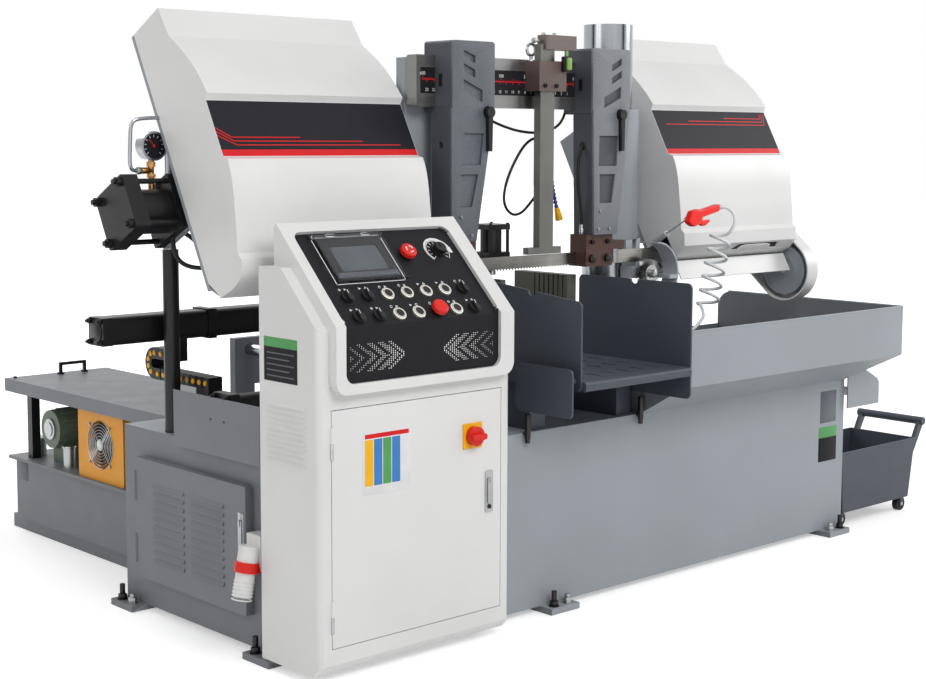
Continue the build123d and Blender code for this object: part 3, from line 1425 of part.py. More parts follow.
# Moving jaw of the feed vise on its piston rod
with BuildPart() as feed_jaw:
    feed_sole = FEED_TOP + SLIDE_GAP
    block(
        floor_plane(feed_sole),
        (JAW_X - JAW_THICK, JAW_X),
        (FEED_FRONT, FEED_REAR - 30.0),
        FEED_JAW_TOP - feed_sole,
    )
    profile(
        front_plane(FEED_FRONT + FEED_BARREL),
        [
            (JAW_X - JAW_THICK - JAW_BODY, feed_sole),
            (JAW_X - JAW_THICK, feed_sole),
            (JAW_X - JAW_THICK, FEED_JAW_TOP),
            (JAW_X - JAW_THICK - JAW_BODY, FEED_ROD_Z + 24.0),
        ],
        FEED_BARREL,
    )
    rod(
        side_plane(JAW_X - JAW_THICK - JAW_BODY),
        (FEED_ROD_Y, FEED_ROD_Z),
        FEED_ROD_R,
        FEED_CYLINDER_RIGHT - 300.0 - JAW_X + JAW_THICK + JAW_BODY,
    )
feed_jaw.part.label = "feed_jaw"
export_step(feed_jaw.part, "parts/feed_jaw.step")

# Drag chain: a lower run on its shelf, the bend, and the upper run under the feed cylinder
with BuildPart() as drag_chain:
    bend_r = (CHAIN_HIGH - CHAIN_LOW) / 2
    bend_z = CHAIN_LOW + bend_r
    with BuildSketch(side_plane(CHAIN_X)) as chain_path:
        with Locations(((CHAIN_FRONT + CHAIN_BEND_Y) / 2, CHAIN_LOW + CHAIN_LINK / 2)):
            Rectangle(CHAIN_BEND_Y - CHAIN_FRONT, CHAIN_LINK)
        with Locations(((CHAIN_UPPER_FRONT + CHAIN_BEND_Y) / 2, CHAIN_HIGH - CHAIN_LINK / 2)):
            Rectangle(CHAIN_BEND_Y - CHAIN_UPPER_FRONT, CHAIN_LINK)
        with Locations((CHAIN_BEND_Y, bend_z)):
            Circle(bend_r)
            Circle(bend_r - CHAIN_LINK, mode=Mode.SUBTRACT)
        with Locations(((CHAIN_FRONT + CHAIN_BEND_Y) / 2, bend_z)):
            Rectangle(CHAIN_BEND_Y - CHAIN_FRONT, 2 * (bend_r - CHAIN_LINK), mode=Mode.SUBTRACT)
    extrude(chain_path.sketch, amount=CHAIN_WIDTH)
    link_count = int((CHAIN_BEND_Y - CHAIN_FRONT) / CHAIN_GROOVE)
    for link in range(1, link_count):
        block(
            side_plane(CHAIN_X),
            around(CHAIN_FRONT + link * CHAIN_GROOVE, 2.0),
            (CHAIN_LOW + CHAIN_LINK - 4.0, CHAIN_LOW + CHAIN_LINK),
            CHAIN_WIDTH,
            mode=Mode.SUBTRACT,
        )
        block(
            side_plane(CHAIN_X),
            around(CHAIN_FRONT + link * CHAIN_GROOVE, 2.0),
            (CHAIN_LOW, CHAIN_LOW + CHAIN_LINK),
            3.0,
            mode=Mode.SUBTRACT,
        )
    block(
        side_plane(CHAIN_X),
        (CHAIN_FRONT, CHAIN_FRONT + 60.0),
        (BASE_TOP, CHAIN_LOW),
        CHAIN_WIDTH,
    )
drag_chain.part.label = "drag_chain"
export_step(drag_chain.part, "parts/drag_chain.step")

# Hydraulic power unit: skid, oil tank with its flange, corner posts and the folded cover plate
with BuildPart() as power_unit:
    tank_left = UNIT_LEFT + TANK_INSET
    tank_right = UNIT_RIGHT - TANK_INSET
    for skid_x in (tank_left + 15.0, tank_right - 15.0 - SKID_WIDTH):
        block(
            floor_plane(0),
            (skid_x, skid_x + SKID_WIDTH),
            (TANK_FRONT - 20.0, UNIT_REAR + SKID_OVERHANG),
            TANK_BOTTOM,
        )
    tank_high = TANK_TOP - TANK_BOTTOM - 10.0
    block(floor_plane(TANK_BOTTOM), (tank_left, tank_right), (TANK_FRONT, UNIT_REAR), tank_high)
    block(
        floor_plane(TANK_TOP - 10.0),
        (tank_left - 25.0, tank_right + 25.0),
        (TANK_FRONT - 20.0, UNIT_REAR + 5.0),
        10.0,
    )
    block(
        floor_plane(UNIT_TOP - UNIT_FOLD),
        (UNIT_LEFT, UNIT_RIGHT),
        (BASE_REAR, UNIT_REAR),
        UNIT_FOLD,
    )
    block(
        floor_plane(UNIT_TOP - UNIT_FOLD),
        (UNIT_LEFT + SHEET, UNIT_RIGHT - SHEET),
        (BASE_REAR + SHEET, UNIT_REAR - SHEET),
        UNIT_FOLD - SHEET,
        mode=Mode.SUBTRACT,
    )
    for post_x in (tank_left + 2.0, tank_right - 32.0):
        for post_y in (TANK_FRONT + 10.0, UNIT_REAR - 112.0):
            block(
                floor_plane(TANK_TOP),
                (post_x, post_x + 30.0),
                (post_y, post_y + 30.0),
                UNIT_TOP - SHEET - TANK_TOP,
            )
    handle_x = UNIT_LEFT + 231.0
    for foot_x in (handle_x - 50.0, handle_x + 40.0):
        block(floor_plane(UNIT_TOP), (foot_x, foot_x + 10.0), around(UNIT_REAR - 40.0, 5.0), 40.0)
    block(
        floor_plane(UNIT_TOP + 30.0),
        around(handle_x, 50.0),
        around(UNIT_REAR - 40.0, 5.0),
        10.0,
    )
power_unit.part.label = "power_unit"
export_step(power_unit.part, "parts/power_unit.step")

# Pump motor, filter and breather on the tank, and the oil cooler with its fan shroud
FAN_Y = (COOLER_FRONT + COOLER_REAR) / 2
FAN_Z = (COOLER_BOTTOM + COOLER_TOP) / 2
with BuildPart() as pump_unit:
    block(
        side_plane(COOLER_LEFT),
        (COOLER_FRONT, COOLER_REAR),
        (TANK_TOP, COOLER_TOP),
        COOLER_DEPTH,
        corner=5.0,
    )
    rod(side_plane(COOLER_LEFT), (FAN_Y, FAN_Z), FAN_R + 5.0, COOLER_DEPTH - 22.0, mode=Mode.SUBTRACT)
    rod(side_plane(COOLER_LEFT + 12.0), (FAN_Y, FAN_Z), AXLE_R, COOLER_DEPTH - 30.0)
    rod(side_plane(tank_left + 10.0), (PUMP_Y, PUMP_Z), PUMP_R, 150.0)
    for fin in range(12):
        turn = math.radians(fin * 30.0)
        rod(
            side_plane(tank_left + 30.0),
            (PUMP_Y + PUMP_R * math.cos(turn), PUMP_Z + PUMP_R * math.sin(turn)),
            5.0,
            110.0,
        )
    block(
        floor_plane(TANK_TOP),
        (tank_left + 40.0, tank_left + 130.0),
        around(PUMP_Y, 40.0),
        PUMP_Z - PUMP_R + 6.0 - TANK_TOP,
    )
    rod(floor_plane(TANK_TOP), (tank_left + 50.0, UNIT_REAR - 65.0), 24.0, 50.0)
    rod(floor_plane(TANK_TOP), (tank_left + 22.0, PUMP_Y - 98.0), 19.0, 66.0)
pump_unit.part.label = "pump_unit"
export_step(pump_unit.part, "parts/pump_unit.step")

# Cooler fan: a hub with flat pitched blades, on the shaft of the cooler
with BuildPart() as cooler_fan:
    ring(side_plane(COOLER_LEFT + 6.0), (FAN_Y, FAN_Z), 16.0, AXLE_R + RUN_GAP, 22.0)
    rod(side_plane(COOLER_LEFT + 4.0), (FAN_Y, FAN_Z), 16.0, 4.0)
    for blade in range(FAN_BLADES):
        turn = 360.0 * blade / FAN_BLADES
        root = Plane(
            origin=(COOLER_LEFT + 16.0 - ORIGIN_X, FAN_Y - ORIGIN_Y, FAN_Z),
            x_dir=(1, 0, 0),
            z_dir=(0, math.cos(math.radians(turn)), math.sin(math.radians(turn))),
        )
        with BuildSketch(root.offset(12.0)) as blade_root:
            Rectangle(2.0, 16.0, rotation=35.0)
        with BuildSketch(root.offset(FAN_R)) as blade_tip:
            Rectangle(2.0, 34.0, rotation=30.0)
        loft([blade_root.sketch, blade_tip.sketch])
cooler_fan.part.label = "cooler_fan"
export_step(cooler_fan.part, "parts/cooler_fan.step")

# Bow casting: two leaning back plates, column sleeves, the bridge behind the guide beam and the lift rod
COVER_TOP_N = BACK_PLATE_N + SLIDE_GAP
TENSION_S = WHEEL_R
LEFT_SHAFT = (WHEEL_LEFT_X, WHEEL_R)
RIGHT_SHAFT = (WHEEL_RIGHT_X, WHEEL_R)
HINGE = (HINGE_S, BACK_PLATE_N - BACK_PLATE / 2)
COVER_SPANS = ((COVER_LEFT_OUTER, COVER_LEFT_INNER), (COVER_RIGHT_INNER, COVER_RIGHT_OUTER))
with BuildPart() as bow_frame:
    block(
        slope_plane(COVER_LEFT_OUTER),
        (COVER_FOOT, COVER_HEAD),
        (BACK_REAR_N, BACK_PLATE_N),
        COVER_LEFT_INNER - COVER_LEFT_OUTER,
    )
    block(
        slope_plane(COVER_RIGHT_INNER),
        (RIGHT_PLATE_FOOT, COVER_HEAD),
        (BACK_REAR_N, BACK_PLATE_N),
        RIGHT_PLATE_EDGE - COVER_RIGHT_INNER,
    )
    block(
        slope_plane(COVER_RIGHT_INNER + 107.0),
        (100.0, 480.0),
        (BACK_REAR_N - SLAB_DEPTH, BACK_REAR_N),
        RIGHT_COLUMN_X - COVER_RIGHT_INNER - 107.0,
    )
    block(
        slope_plane(COVER_LEFT_INNER - 100.0),
        (60.0, 330.0),
        (BACK_REAR_N - SLAB_DEPTH + 20.0, BACK_REAR_N),
        180.0,
    )
    rod(
        floor_plane(SLEEVE_BOTTOM),
        (RIGHT_COLUMN_X, COLUMN_Y),
        RIGHT_SLEEVE_R,
        RIGHT_SLEEVE_TOP - SLEEVE_BOTTOM,
    )
    rod(
        floor_plane(SLEEVE_BOTTOM),
        (LEFT_COLUMN_X, COLUMN_Y),
        LEFT_SLEEVE_R,
        LEFT_SLEEVE_TOP - SLEEVE_BOTTOM,
    )
    block(
        front_plane(BRIDGE_REAR),
        (BEAM_LEFT, BEAM_RIGHT + 30.0),
        (BRIDGE_BOTTOM, BRIDGE_TOP),
        BRIDGE_REAR - BEAM_REAR,
    )
    block(
        front_plane(BRIDGE_REAR),
        (BEAM_LEFT, BEAM_LEFT + 100.0),
        (SLEEVE_BOTTOM + 10.0, BRIDGE_TOP),
        BRIDGE_REAR - BEAM_REAR,
    )
    block(
        front_plane(BRIDGE_REAR + 30.0),
        (BEAM_RIGHT - 60.0, BEAM_RIGHT + 30.0),
        (BRIDGE_BOTTOM - 110.0, BRIDGE_TOP),
        BRIDGE_REAR + 30.0 - BEAM_REAR,
    )
    for column_x, radius in ((RIGHT_COLUMN_X, RIGHT_COLUMN_R), (LEFT_COLUMN_X, LEFT_COLUMN_R)):
        rod(
            floor_plane(BASE_TOP),
            (column_x, COLUMN_Y),
            radius + RUN_GAP,
            RIGHT_COLUMN_TOP - BASE_TOP,
            mode=Mode.SUBTRACT,
        )
    for gib_s in (TENSION_S - SLIDE_HALF - SLIDE_GAP - GIB, TENSION_S + SLIDE_HALF + SLIDE_GAP):
        block(
            slope_plane(SLIDE_LEFT - 40.0),
            (gib_s, gib_s + GIB),
            (BACK_REAR_N - GIB * 1.6, BACK_REAR_N),
            SLIDE_RIGHT - SLIDE_LEFT + 80.0,
        )
    block(
        wheel_plane(BACK_REAR_N),
        (WHEEL_LEFT_X - SHAFT_R - 3.0, WHEEL_LEFT_X + SHAFT_R + SLIDE_TRAVEL + 3.0),
        around(WHEEL_R, SHAFT_R + 3.0),
        BACK_PLATE,
        mode=Mode.SUBTRACT,
    )
    rod(wheel_plane(BACK_REAR_N), RIGHT_SHAFT, SHAFT_R + 10.0, BACK_PLATE, mode=Mode.SUBTRACT)
    block(
        slope_plane(TENSION_FLANGE),
        around(TENSION_S, TENSION_CAP / 2),
        (TENSION_N - TENSION_CAP / 2, BACK_REAR_N),
        TENSION_BRACKET,
    )
    rod(
        slope_plane(TENSION_FLANGE),
        (TENSION_S, TENSION_N),
        TENSION_ROD_R + 2.0,
        TENSION_BRACKET,
        mode=Mode.SUBTRACT,
    )
    block(floor_plane(LIFT_BRACKET_Z), around(LIFT_X, 30.0), (270.0, LIFT_Y + 25.0), 30.0)
    rod(floor_plane(LIFT_ROD_LOW), (LIFT_X, LIFT_Y), LIFT_ROD_R, LIFT_BRACKET_Z - LIFT_ROD_LOW)
    for left, right in COVER_SPANS:
        profile(
            slope_plane(left),
            [
                (COVER_FOOT, BACK_PLATE_N),
                (COVER_FOOT - 28.0, BACK_PLATE_N + 24.0),
                (COVER_FOOT - 25.0, BACK_PLATE_N + 25.0),
                (COVER_FOOT + 6.0, BACK_PLATE_N),
            ],
            right - left,
        )
        for knuckle_x in (left + 110.0, right - 110.0 - KNUCKLE):
            rod(slope_plane(knuckle_x - LUG), HINGE, HINGE_PIN_R, KNUCKLE + 2 * LUG)
            for lug_x in (knuckle_x - LUG, knuckle_x + KNUCKLE):
                block(
                    slope_plane(lug_x + SLIDE_GAP / 2 if lug_x > knuckle_x else lug_x),
                    (COVER_HEAD, HINGE[0]),
                    (BACK_REAR_N, BACK_PLATE_N),
                    LUG - SLIDE_GAP / 2,
                )
                rod(
                    slope_plane(lug_x + SLIDE_GAP / 2 if lug_x > knuckle_x else lug_x),
                    HINGE,
                    HINGE_R,
                    LUG - SLIDE_GAP / 2,
                )
bow_frame.part.label = "bow_frame"
export_step(bow_frame.part, "parts/bow_frame.step")

# Guide beam with a chamfered back, and the bracket that holds the feeler bar
with BuildPart() as guide_beam:
    profile(
        side_plane(BEAM_LEFT),
        [
            (BEAM_FRONT, BEAM_BOTTOM),
            (BEAM_REAR - 12.0, BEAM_BOTTOM),
            (BEAM_REAR, BEAM_BOTTOM + 12.0),
            (BEAM_REAR, BEAM_TOP - 12.0),
            (BEAM_REAR - 12.0, BEAM_TOP),
            (BEAM_FRONT, BEAM_TOP),
        ],
        BEAM_RIGHT - BEAM_LEFT,
    )
    block(
        front_plane(BEAM_FRONT),
        (FEELER_BRACKET_LEFT, FEELER_BRACKET_RIGHT),
        (FEELER_BRACKET_BOTTOM, FEELER_BRACKET_TOP),
        BEAM_FRONT - FEELER_BRACKET_FRONT,
    )
    block(
        floor_plane(FEELER_BRACKET_BOTTOM),
        (FEELER_LEFT - SLIDE_GAP, FEELER_RIGHT + SLIDE_GAP),
        (FEELER_FRONT - SLIDE_GAP, FEELER_REAR + SLIDE_GAP),
        FEELER_BRACKET_TOP - FEELER_BRACKET_BOTTOM,
        mode=Mode.SUBTRACT,
    )
guide_beam.part.label = "guide_beam"
export_step(guide_beam.part, "parts/guide_beam.step")

# Feeler bar that feels the top of the work, with its cap and its foot
with BuildPart() as feeler_bar:
    block(
        floor_plane(FEELER_BOTTOM),
        (FEELER_LEFT, FEELER_RIGHT),
        (FEELER_FRONT, FEELER_REAR),
        FEELER_TOP - FEELER_BOTTOM,
    )
    block(
        floor_plane(FEELER_TOP - 15.0),
        (FEELER_LEFT + 16.0, FEELER_RIGHT + 88.0),
        (FEELER_FRONT - 8.0, FEELER_REAR + 8.0),
        42.0,
        corner=6.0,
    )
    block(
        floor_plane(FEELER_BOTTOM),
        (FEELER_LEFT - 45.0, FEELER_RIGHT + 38.0),
        (FEELER_FRONT, FEELER_REAR),
        20.0,
        corner=6.0,
    )
feeler_bar.part.label = "feeler_bar"
export_step(feeler_bar.part, "parts/feeler_bar.step")

# Saw band: round both wheels, twisted upright on the way to the guides, and toothed where it cuts
TWIST = 90.0 - TILT


def band_section(x, twist):
    """Plane across the lower strand at x, turned from upright by the twist."""
    turn = math.radians(twist)
    return Plane(
        origin=(x - ORIGIN_X, -ORIGIN_Y, BAND_Z),
        x_dir=(0, math.cos(turn), math.sin(turn)),
        z_dir=(1, 0, 0),
    )


with BuildPart() as saw_band:
    strand_left = WHEEL_LEFT_X + TWIST_LEAD
    strand_right = WHEEL_RIGHT_X - TWIST_LEAD
    with BuildSketch(wheel_plane(-BAND_WIDTH / 2)) as loop:
        with Locations(((WHEEL_LEFT_X + WHEEL_RIGHT_X) / 2, WHEEL_R)):
            SlotCenterToCenter(WHEEL_RIGHT_X - WHEEL_LEFT_X, 2 * WHEEL_R + BAND_THICK)
            SlotCenterToCenter(WHEEL_RIGHT_X - WHEEL_LEFT_X, 2 * WHEEL_R - BAND_THICK, mode=Mode.SUBTRACT)
        with Locations(((strand_left + strand_right) / 2, 0)):
            Rectangle(strand_right - strand_left, 4 * BAND_THICK, mode=Mode.SUBTRACT)
    extrude(loop.sketch, amount=BAND_WIDTH)
    for wheel_end, guide_end in ((strand_left, TOOTHED_LEFT), (strand_right, TOOTHED_RIGHT)):
        sections = []
        for step in range(TWIST_SECTIONS):
            share = step / (TWIST_SECTIONS - 1)
            ease = share * share * (3 - 2 * share)
            plane = band_section(wheel_end + share * (guide_end - wheel_end), TWIST * (1 - ease))
            with BuildSketch(plane) as across:
                Rectangle(BAND_THICK, BAND_WIDTH)
            sections.append(across.sketch)
        loft(sections, ruled=True)
    tooth_count = int((TOOTHED_RIGHT - TOOTHED_LEFT - 2.0) / TOOTH_PITCH)
    band_low = BAND_Z - BAND_WIDTH / 2
    band_high = BAND_Z + BAND_WIDTH / 2
    edge = [(TOOTHED_LEFT, band_high), (TOOTHED_LEFT, band_low)]
    for tooth in range(tooth_count):
        start = TOOTHED_LEFT + 1.0 + tooth * TOOTH_PITCH
        edge.append((start, band_low))
        edge.append((start + TOOTH_PITCH * 0.3, band_low + TOOTH_DEPTH))
        edge.append((start + TOOTH_PITCH * 0.75, band_low + TOOTH_DEPTH * 0.55))
    edge.append((TOOTHED_LEFT + 1.0 + tooth_count * TOOTH_PITCH, band_low))
    edge.append((TOOTHED_RIGHT, band_low))
    edge.append((TOOTHED_RIGHT, band_high))
    profile(front_plane(BAND_THICK / 2), edge, BAND_THICK)
saw_band.part.label = "saw_band"
export_step(saw_band.part, "parts/saw_band.step")


def band_wheel(centre):
    """Cast band wheel about a shaft centre: rim, web with round openings, and hub with its bore."""
    rim_r = WHEEL_R - BAND_THICK / 2 - WHEEL_GAP
    ring(wheel_plane(-WHEEL_WIDTH / 2), centre, rim_r, rim_r - WHEEL_RIM, WHEEL_WIDTH)
    ring(wheel_plane(-WHEEL_WEB / 2), centre, rim_r - WHEEL_RIM / 2, HUB_R / 2, WHEEL_WEB)
    rod(wheel_plane(-HUB_BACK), centre, HUB_R, HUB_BACK + HUB_FRONT)
    with BuildSketch(wheel_plane(-WHEEL_WEB / 2)) as openings:
        with Locations(centre):
            with PolarLocations(WHEEL_HOLE_PITCH_R, WHEEL_HOLES):
                Circle(WHEEL_HOLE_R)
    extrude(openings.sketch, amount=WHEEL_WEB, mode=Mode.SUBTRACT)
    rod(wheel_plane(-HUB_BACK), centre, SHAFT_R + RUN_GAP, HUB_BACK + HUB_FRONT, mode=Mode.SUBTRACT)


def wheel_shaft(centre, back):
    """Wheel shaft from the given depth, with a shoulder behind the hub and a cap in front of it."""
    rod(wheel_plane(back), centre, SHAFT_R, HUB_FRONT - back)
    rod(wheel_plane(BACK_PLATE_N + 2.0), centre, SHAFT_R + 8.0, -HUB_BACK - SLIDE_GAP - BACK_PLATE_N - 2.0)
    rod(wheel_plane(HUB_FRONT + SLIDE_GAP), centre, SHAFT_R + 14.0, 8.0)
    rod(wheel_plane(HUB_FRONT), centre, SHAFT_R - 6.0, SLIDE_GAP)


with BuildPart() as idler_wheel:
    band_wheel(LEFT_SHAFT)
idler_wheel.part.label = "idler_wheel"
export_step(idler_wheel.part, "parts/idler_wheel.step")

with BuildPart() as drive_wheel:
    band_wheel(RIGHT_SHAFT)
drive_wheel.part.label = "drive_wheel"
export_step(drive_wheel.part, "parts/drive_wheel.step")

# Tension slide that carries the idler shaft, pulled by the piston rod of the tension cylinder
with BuildPart() as tension_slide:
    slide_face = BACK_REAR_N - SLIDE_GAP
    block(
        slope_plane(SLIDE_LEFT),
        around(TENSION_S, SLIDE_HALF),
        (slide_face - SLIDE_DEPTH, slide_face),
        SLIDE_RIGHT - SLIDE_LEFT,
    )
    block(
        slope_plane(WHEEL_LEFT_X - 50.0),
        around(TENSION_S, SLIDE_HALF / 2),
        (TENSION_N - 25.0, slide_face - SLIDE_DEPTH),
        40.0,
    )
    rod(
        slope_plane(WHEEL_LEFT_X - 50.0),
        (TENSION_S, TENSION_N),
        TENSION_ROD_R,
        TENSION_FLANGE - 60.0 - WHEEL_LEFT_X + 50.0,
    )
    wheel_shaft(LEFT_SHAFT, slide_face - SLIDE_DEPTH)
tension_slide.part.label = "tension_slide"
export_step(tension_slide.part, "parts/tension_slide.step")

# Hydraulic tension cylinder with square end caps, tie rods and a pressure gauge
with BuildPart() as tension_cylinder:
    centre = (TENSION_S, TENSION_N)
    for cap_left, cap_right in ((TENSION_LEFT, TENSION_LEFT + 45.0), (TENSION_FLANGE - 25.0, TENSION_FLANGE)):
        block(
            slope_plane(cap_left),
            around(TENSION_S, TENSION_CAP / 2),
            around(TENSION_N, TENSION_CAP / 2),
            cap_right - cap_left,
            corner=8.0,
        )
    rod(slope_plane(TENSION_LEFT), centre, TENSION_BARREL_R, TENSION_FLANGE - TENSION_LEFT)
    for tie_s in around(TENSION_S, TENSION_CAP / 2 - 16.0):
        for tie_n in around(TENSION_N, TENSION_CAP / 2 - 16.0):
            rod(slope_plane(TENSION_LEFT - 22.0), (tie_s, tie_n), 7.0, TENSION_FLANGE - TENSION_LEFT + 22.0)
            rod(slope_plane(TENSION_LEFT - 14.0), (tie_s, tie_n), 12.0, 14.0)
    rod(
        slope_plane(TENSION_LEFT + 70.0),
        centre,
        TENSION_ROD_R + RUN_GAP,
        TENSION_FLANGE - TENSION_LEFT - 70.0,
        mode=Mode.SUBTRACT,
    )
    gauge_x = TENSION_FLANGE - 36.0
    gauge_y = TENSION_S * SIN_TILT - TENSION_N * COS_TILT + 27.0
    gauge_low = BAND_Z + TENSION_S * COS_TILT + TENSION_N * SIN_TILT + 45.0
    rod(floor_plane(gauge_low), (gauge_x, gauge_y), 8.0, 95.0)
    rod(front_plane(gauge_y + 15.0), (gauge_x, gauge_low + 125.0), 37.5, 30.0)
tension_cylinder.part.label = "tension_cylinder"
export_step(tension_cylinder.part, "parts/tension_cylinder.step")

# Gearbox, motor and drive shaft behind the right back plate
with BuildPart() as drive_unit:
    block(
        slope_plane(GEARBOX_LEFT),
        around(WHEEL_R, GEARBOX_HALF),
        (BACK_REAR_N - GEARBOX_DEPTH, BACK_REAR_N),
        GEARBOX_RIGHT - GEARBOX_LEFT,
        corner=14.0,
    )
    rod(slope_plane(GEARBOX_RIGHT), (WHEEL_R, MOTOR_N), MOTOR_R, MOTOR_RIGHT - GEARBOX_RIGHT)
    for fin in range(9):
        rod(slope_plane(GEARBOX_RIGHT + 20.0 + fin * 16.0), (WHEEL_R, MOTOR_N), MOTOR_R + 7.0, 5.0)
    rod(slope_plane(MOTOR_RIGHT), (WHEEL_R, MOTOR_N), 24.0, BELT_RIGHT - MOTOR_RIGHT - 9.0)
    wheel_shaft(RIGHT_SHAFT, BACK_REAR_N - 10.0)
drive_unit.part.label = "drive_unit"
export_step(drive_unit.part, "parts/drive_unit.step")


def cover_outline():
    """Outline of a wheel cover in the tilted section, from its lower back edge round to its top back edge."""
    return [
        (COVER_FOOT - 38.0, BACK_PLATE_N + 29.0),
        (COVER_FOOT - 40.0, 10.0),
        (COVER_FOOT - 39.0, 41.0),
        (COVER_FOOT - 24.0, COVER_CROWN + 7.0),
        (COVER_FOOT + 11.0, COVER_CROWN + 24.0),
        (COVER_FOOT + 30.0, COVER_CROWN + 18.0),
        (COVER_FOOT + 137.0, COVER_CROWN + 63.0),
        (COVER_FOOT + 201.0, COVER_CROWN + 85.0),
        (COVER_FOOT + 252.0, COVER_CROWN + 92.0),
        (COVER_FOOT + 265.0, COVER_CROWN + 78.0),
        (COVER_FOOT + 425.0, COVER_CROWN + 78.0),
        (COVER_FOOT + 436.0, COVER_CROWN + 93.0),
        (COVER_HEAD - 190.0, COVER_CROWN + 63.0),
        (COVER_HEAD - 89.0, COVER_CROWN + 10.0),
        (COVER_HEAD, COVER_CROWN),
        (COVER_HEAD, COVER_TOP_N),
    ]


def cover_wall(left, right, inner_end, outer_wall):
    """Hollow wheel cover between two X values, open at the back, with slots for the band at its inner end."""
    with BuildSketch(slope_plane(left)) as shell:
        with BuildLine():
            Polyline(*cover_outline())
            offset(amount=COVER_WALL, side=Side.RIGHT, kind=Kind.INTERSECTION)
        make_face()
    extrude(shell.sketch, amount=right - left)
    inner_left = inner_end if inner_end == left else inner_end - COVER_WALL
    outer_left = right - outer_wall if inner_end == left else left
    ends = cover_outline() + [(COVER_FOOT + 16.0, COVER_TOP_N), (COVER_FOOT - 30.0, BACK_PLATE_N + 29.0)]
    profile(slope_plane(inner_left), ends, COVER_WALL)
    profile(slope_plane(outer_left), ends, outer_wall)
    for band_slot in ((COVER_FOOT - 34.0, COVER_FOOT + 35.0), around(2 * WHEEL_R, 40.0)):
        block(
            slope_plane(inner_left),
            band_slot,
            (BACK_PLATE_N, 30.0),
            COVER_WALL,
            mode=Mode.SUBTRACT,
        )
    for knuckle_x in (left + 110.0, right - 110.0 - KNUCKLE):
        block(
            slope_plane(knuckle_x + SLIDE_GAP),
            (COVER_HEAD - COVER_WALL, HINGE[0]),
            (COVER_TOP_N, COVER_TOP_N + 7.0),
            KNUCKLE - 2 * SLIDE_GAP,
        )
        rod(slope_plane(knuckle_x + SLIDE_GAP), HINGE, HINGE_R, KNUCKLE - 2 * SLIDE_GAP)
        rod(
            slope_plane(knuckle_x),
            HINGE,
            HINGE_PIN_R + RUN_GAP,
            KNUCKLE,
            mode=Mode.SUBTRACT,
        )


with BuildPart() as left_wheel_cover:
    cover_wall(COVER_LEFT_OUTER, COVER_LEFT_INNER, COVER_LEFT_INNER, COVER_END)
left_wheel_cover.part.label = "left_wheel_cover"
export_step(left_wheel_cover.part, "parts/left_wheel_cover.step")

with BuildPart() as right_wheel_cover:
    cover_wall(COVER_RIGHT_INNER, COVER_RIGHT_OUTER, COVER_RIGHT_INNER, COVER_END)
    low_corner = Vector(*cover_outline()[2])
    high_corner = Vector(*cover_outline()[3])
    along = (high_corner - low_corner).normalized()
    outward = Vector(-along.Y, along.X)
    grip = [
        low_corner + along * 8.0 + outward,
        high_corner - along * 8.0 + outward,
        high_corner - along * 8.0 - outward * 3.0,
        low_corner + along * 8.0 - outward * 3.0,
    ]
    profile(
        slope_plane(GRIP_LEFT),
        [(corner.X, corner.Y) for corner in grip],
        GRIP_RIGHT - GRIP_LEFT,
        mode=Mode.SUBTRACT,
    )
right_wheel_cover.part.label = "right_wheel_cover"
export_step(right_wheel_cover.part, "parts/right_wheel_cover.step")

# Line of the air gun's nozzle, which rests in the holder of the brush guard
GUN_MIDDLE = GUN_Y + 8.0
NOZZLE_ROOT = Vector(362.0 - ORIGIN_X, GUN_MIDDLE + GUN_THICK / 2 - 4.0 - ORIGIN_Y, 1084.0)
NOZZLE_TIP = Vector(BRUSH_X + 5.0 - ORIGIN_X, -66.0 - ORIGIN_Y, BRUSH_Z + BRUSH_GUARD_R + 8.0)
NOZZLE_LONG = (NOZZLE_TIP - NOZZLE_ROOT).length
NOZZLE = Plane(origin=NOZZLE_ROOT, z_dir=NOZZLE_TIP - NOZZLE_ROOT)

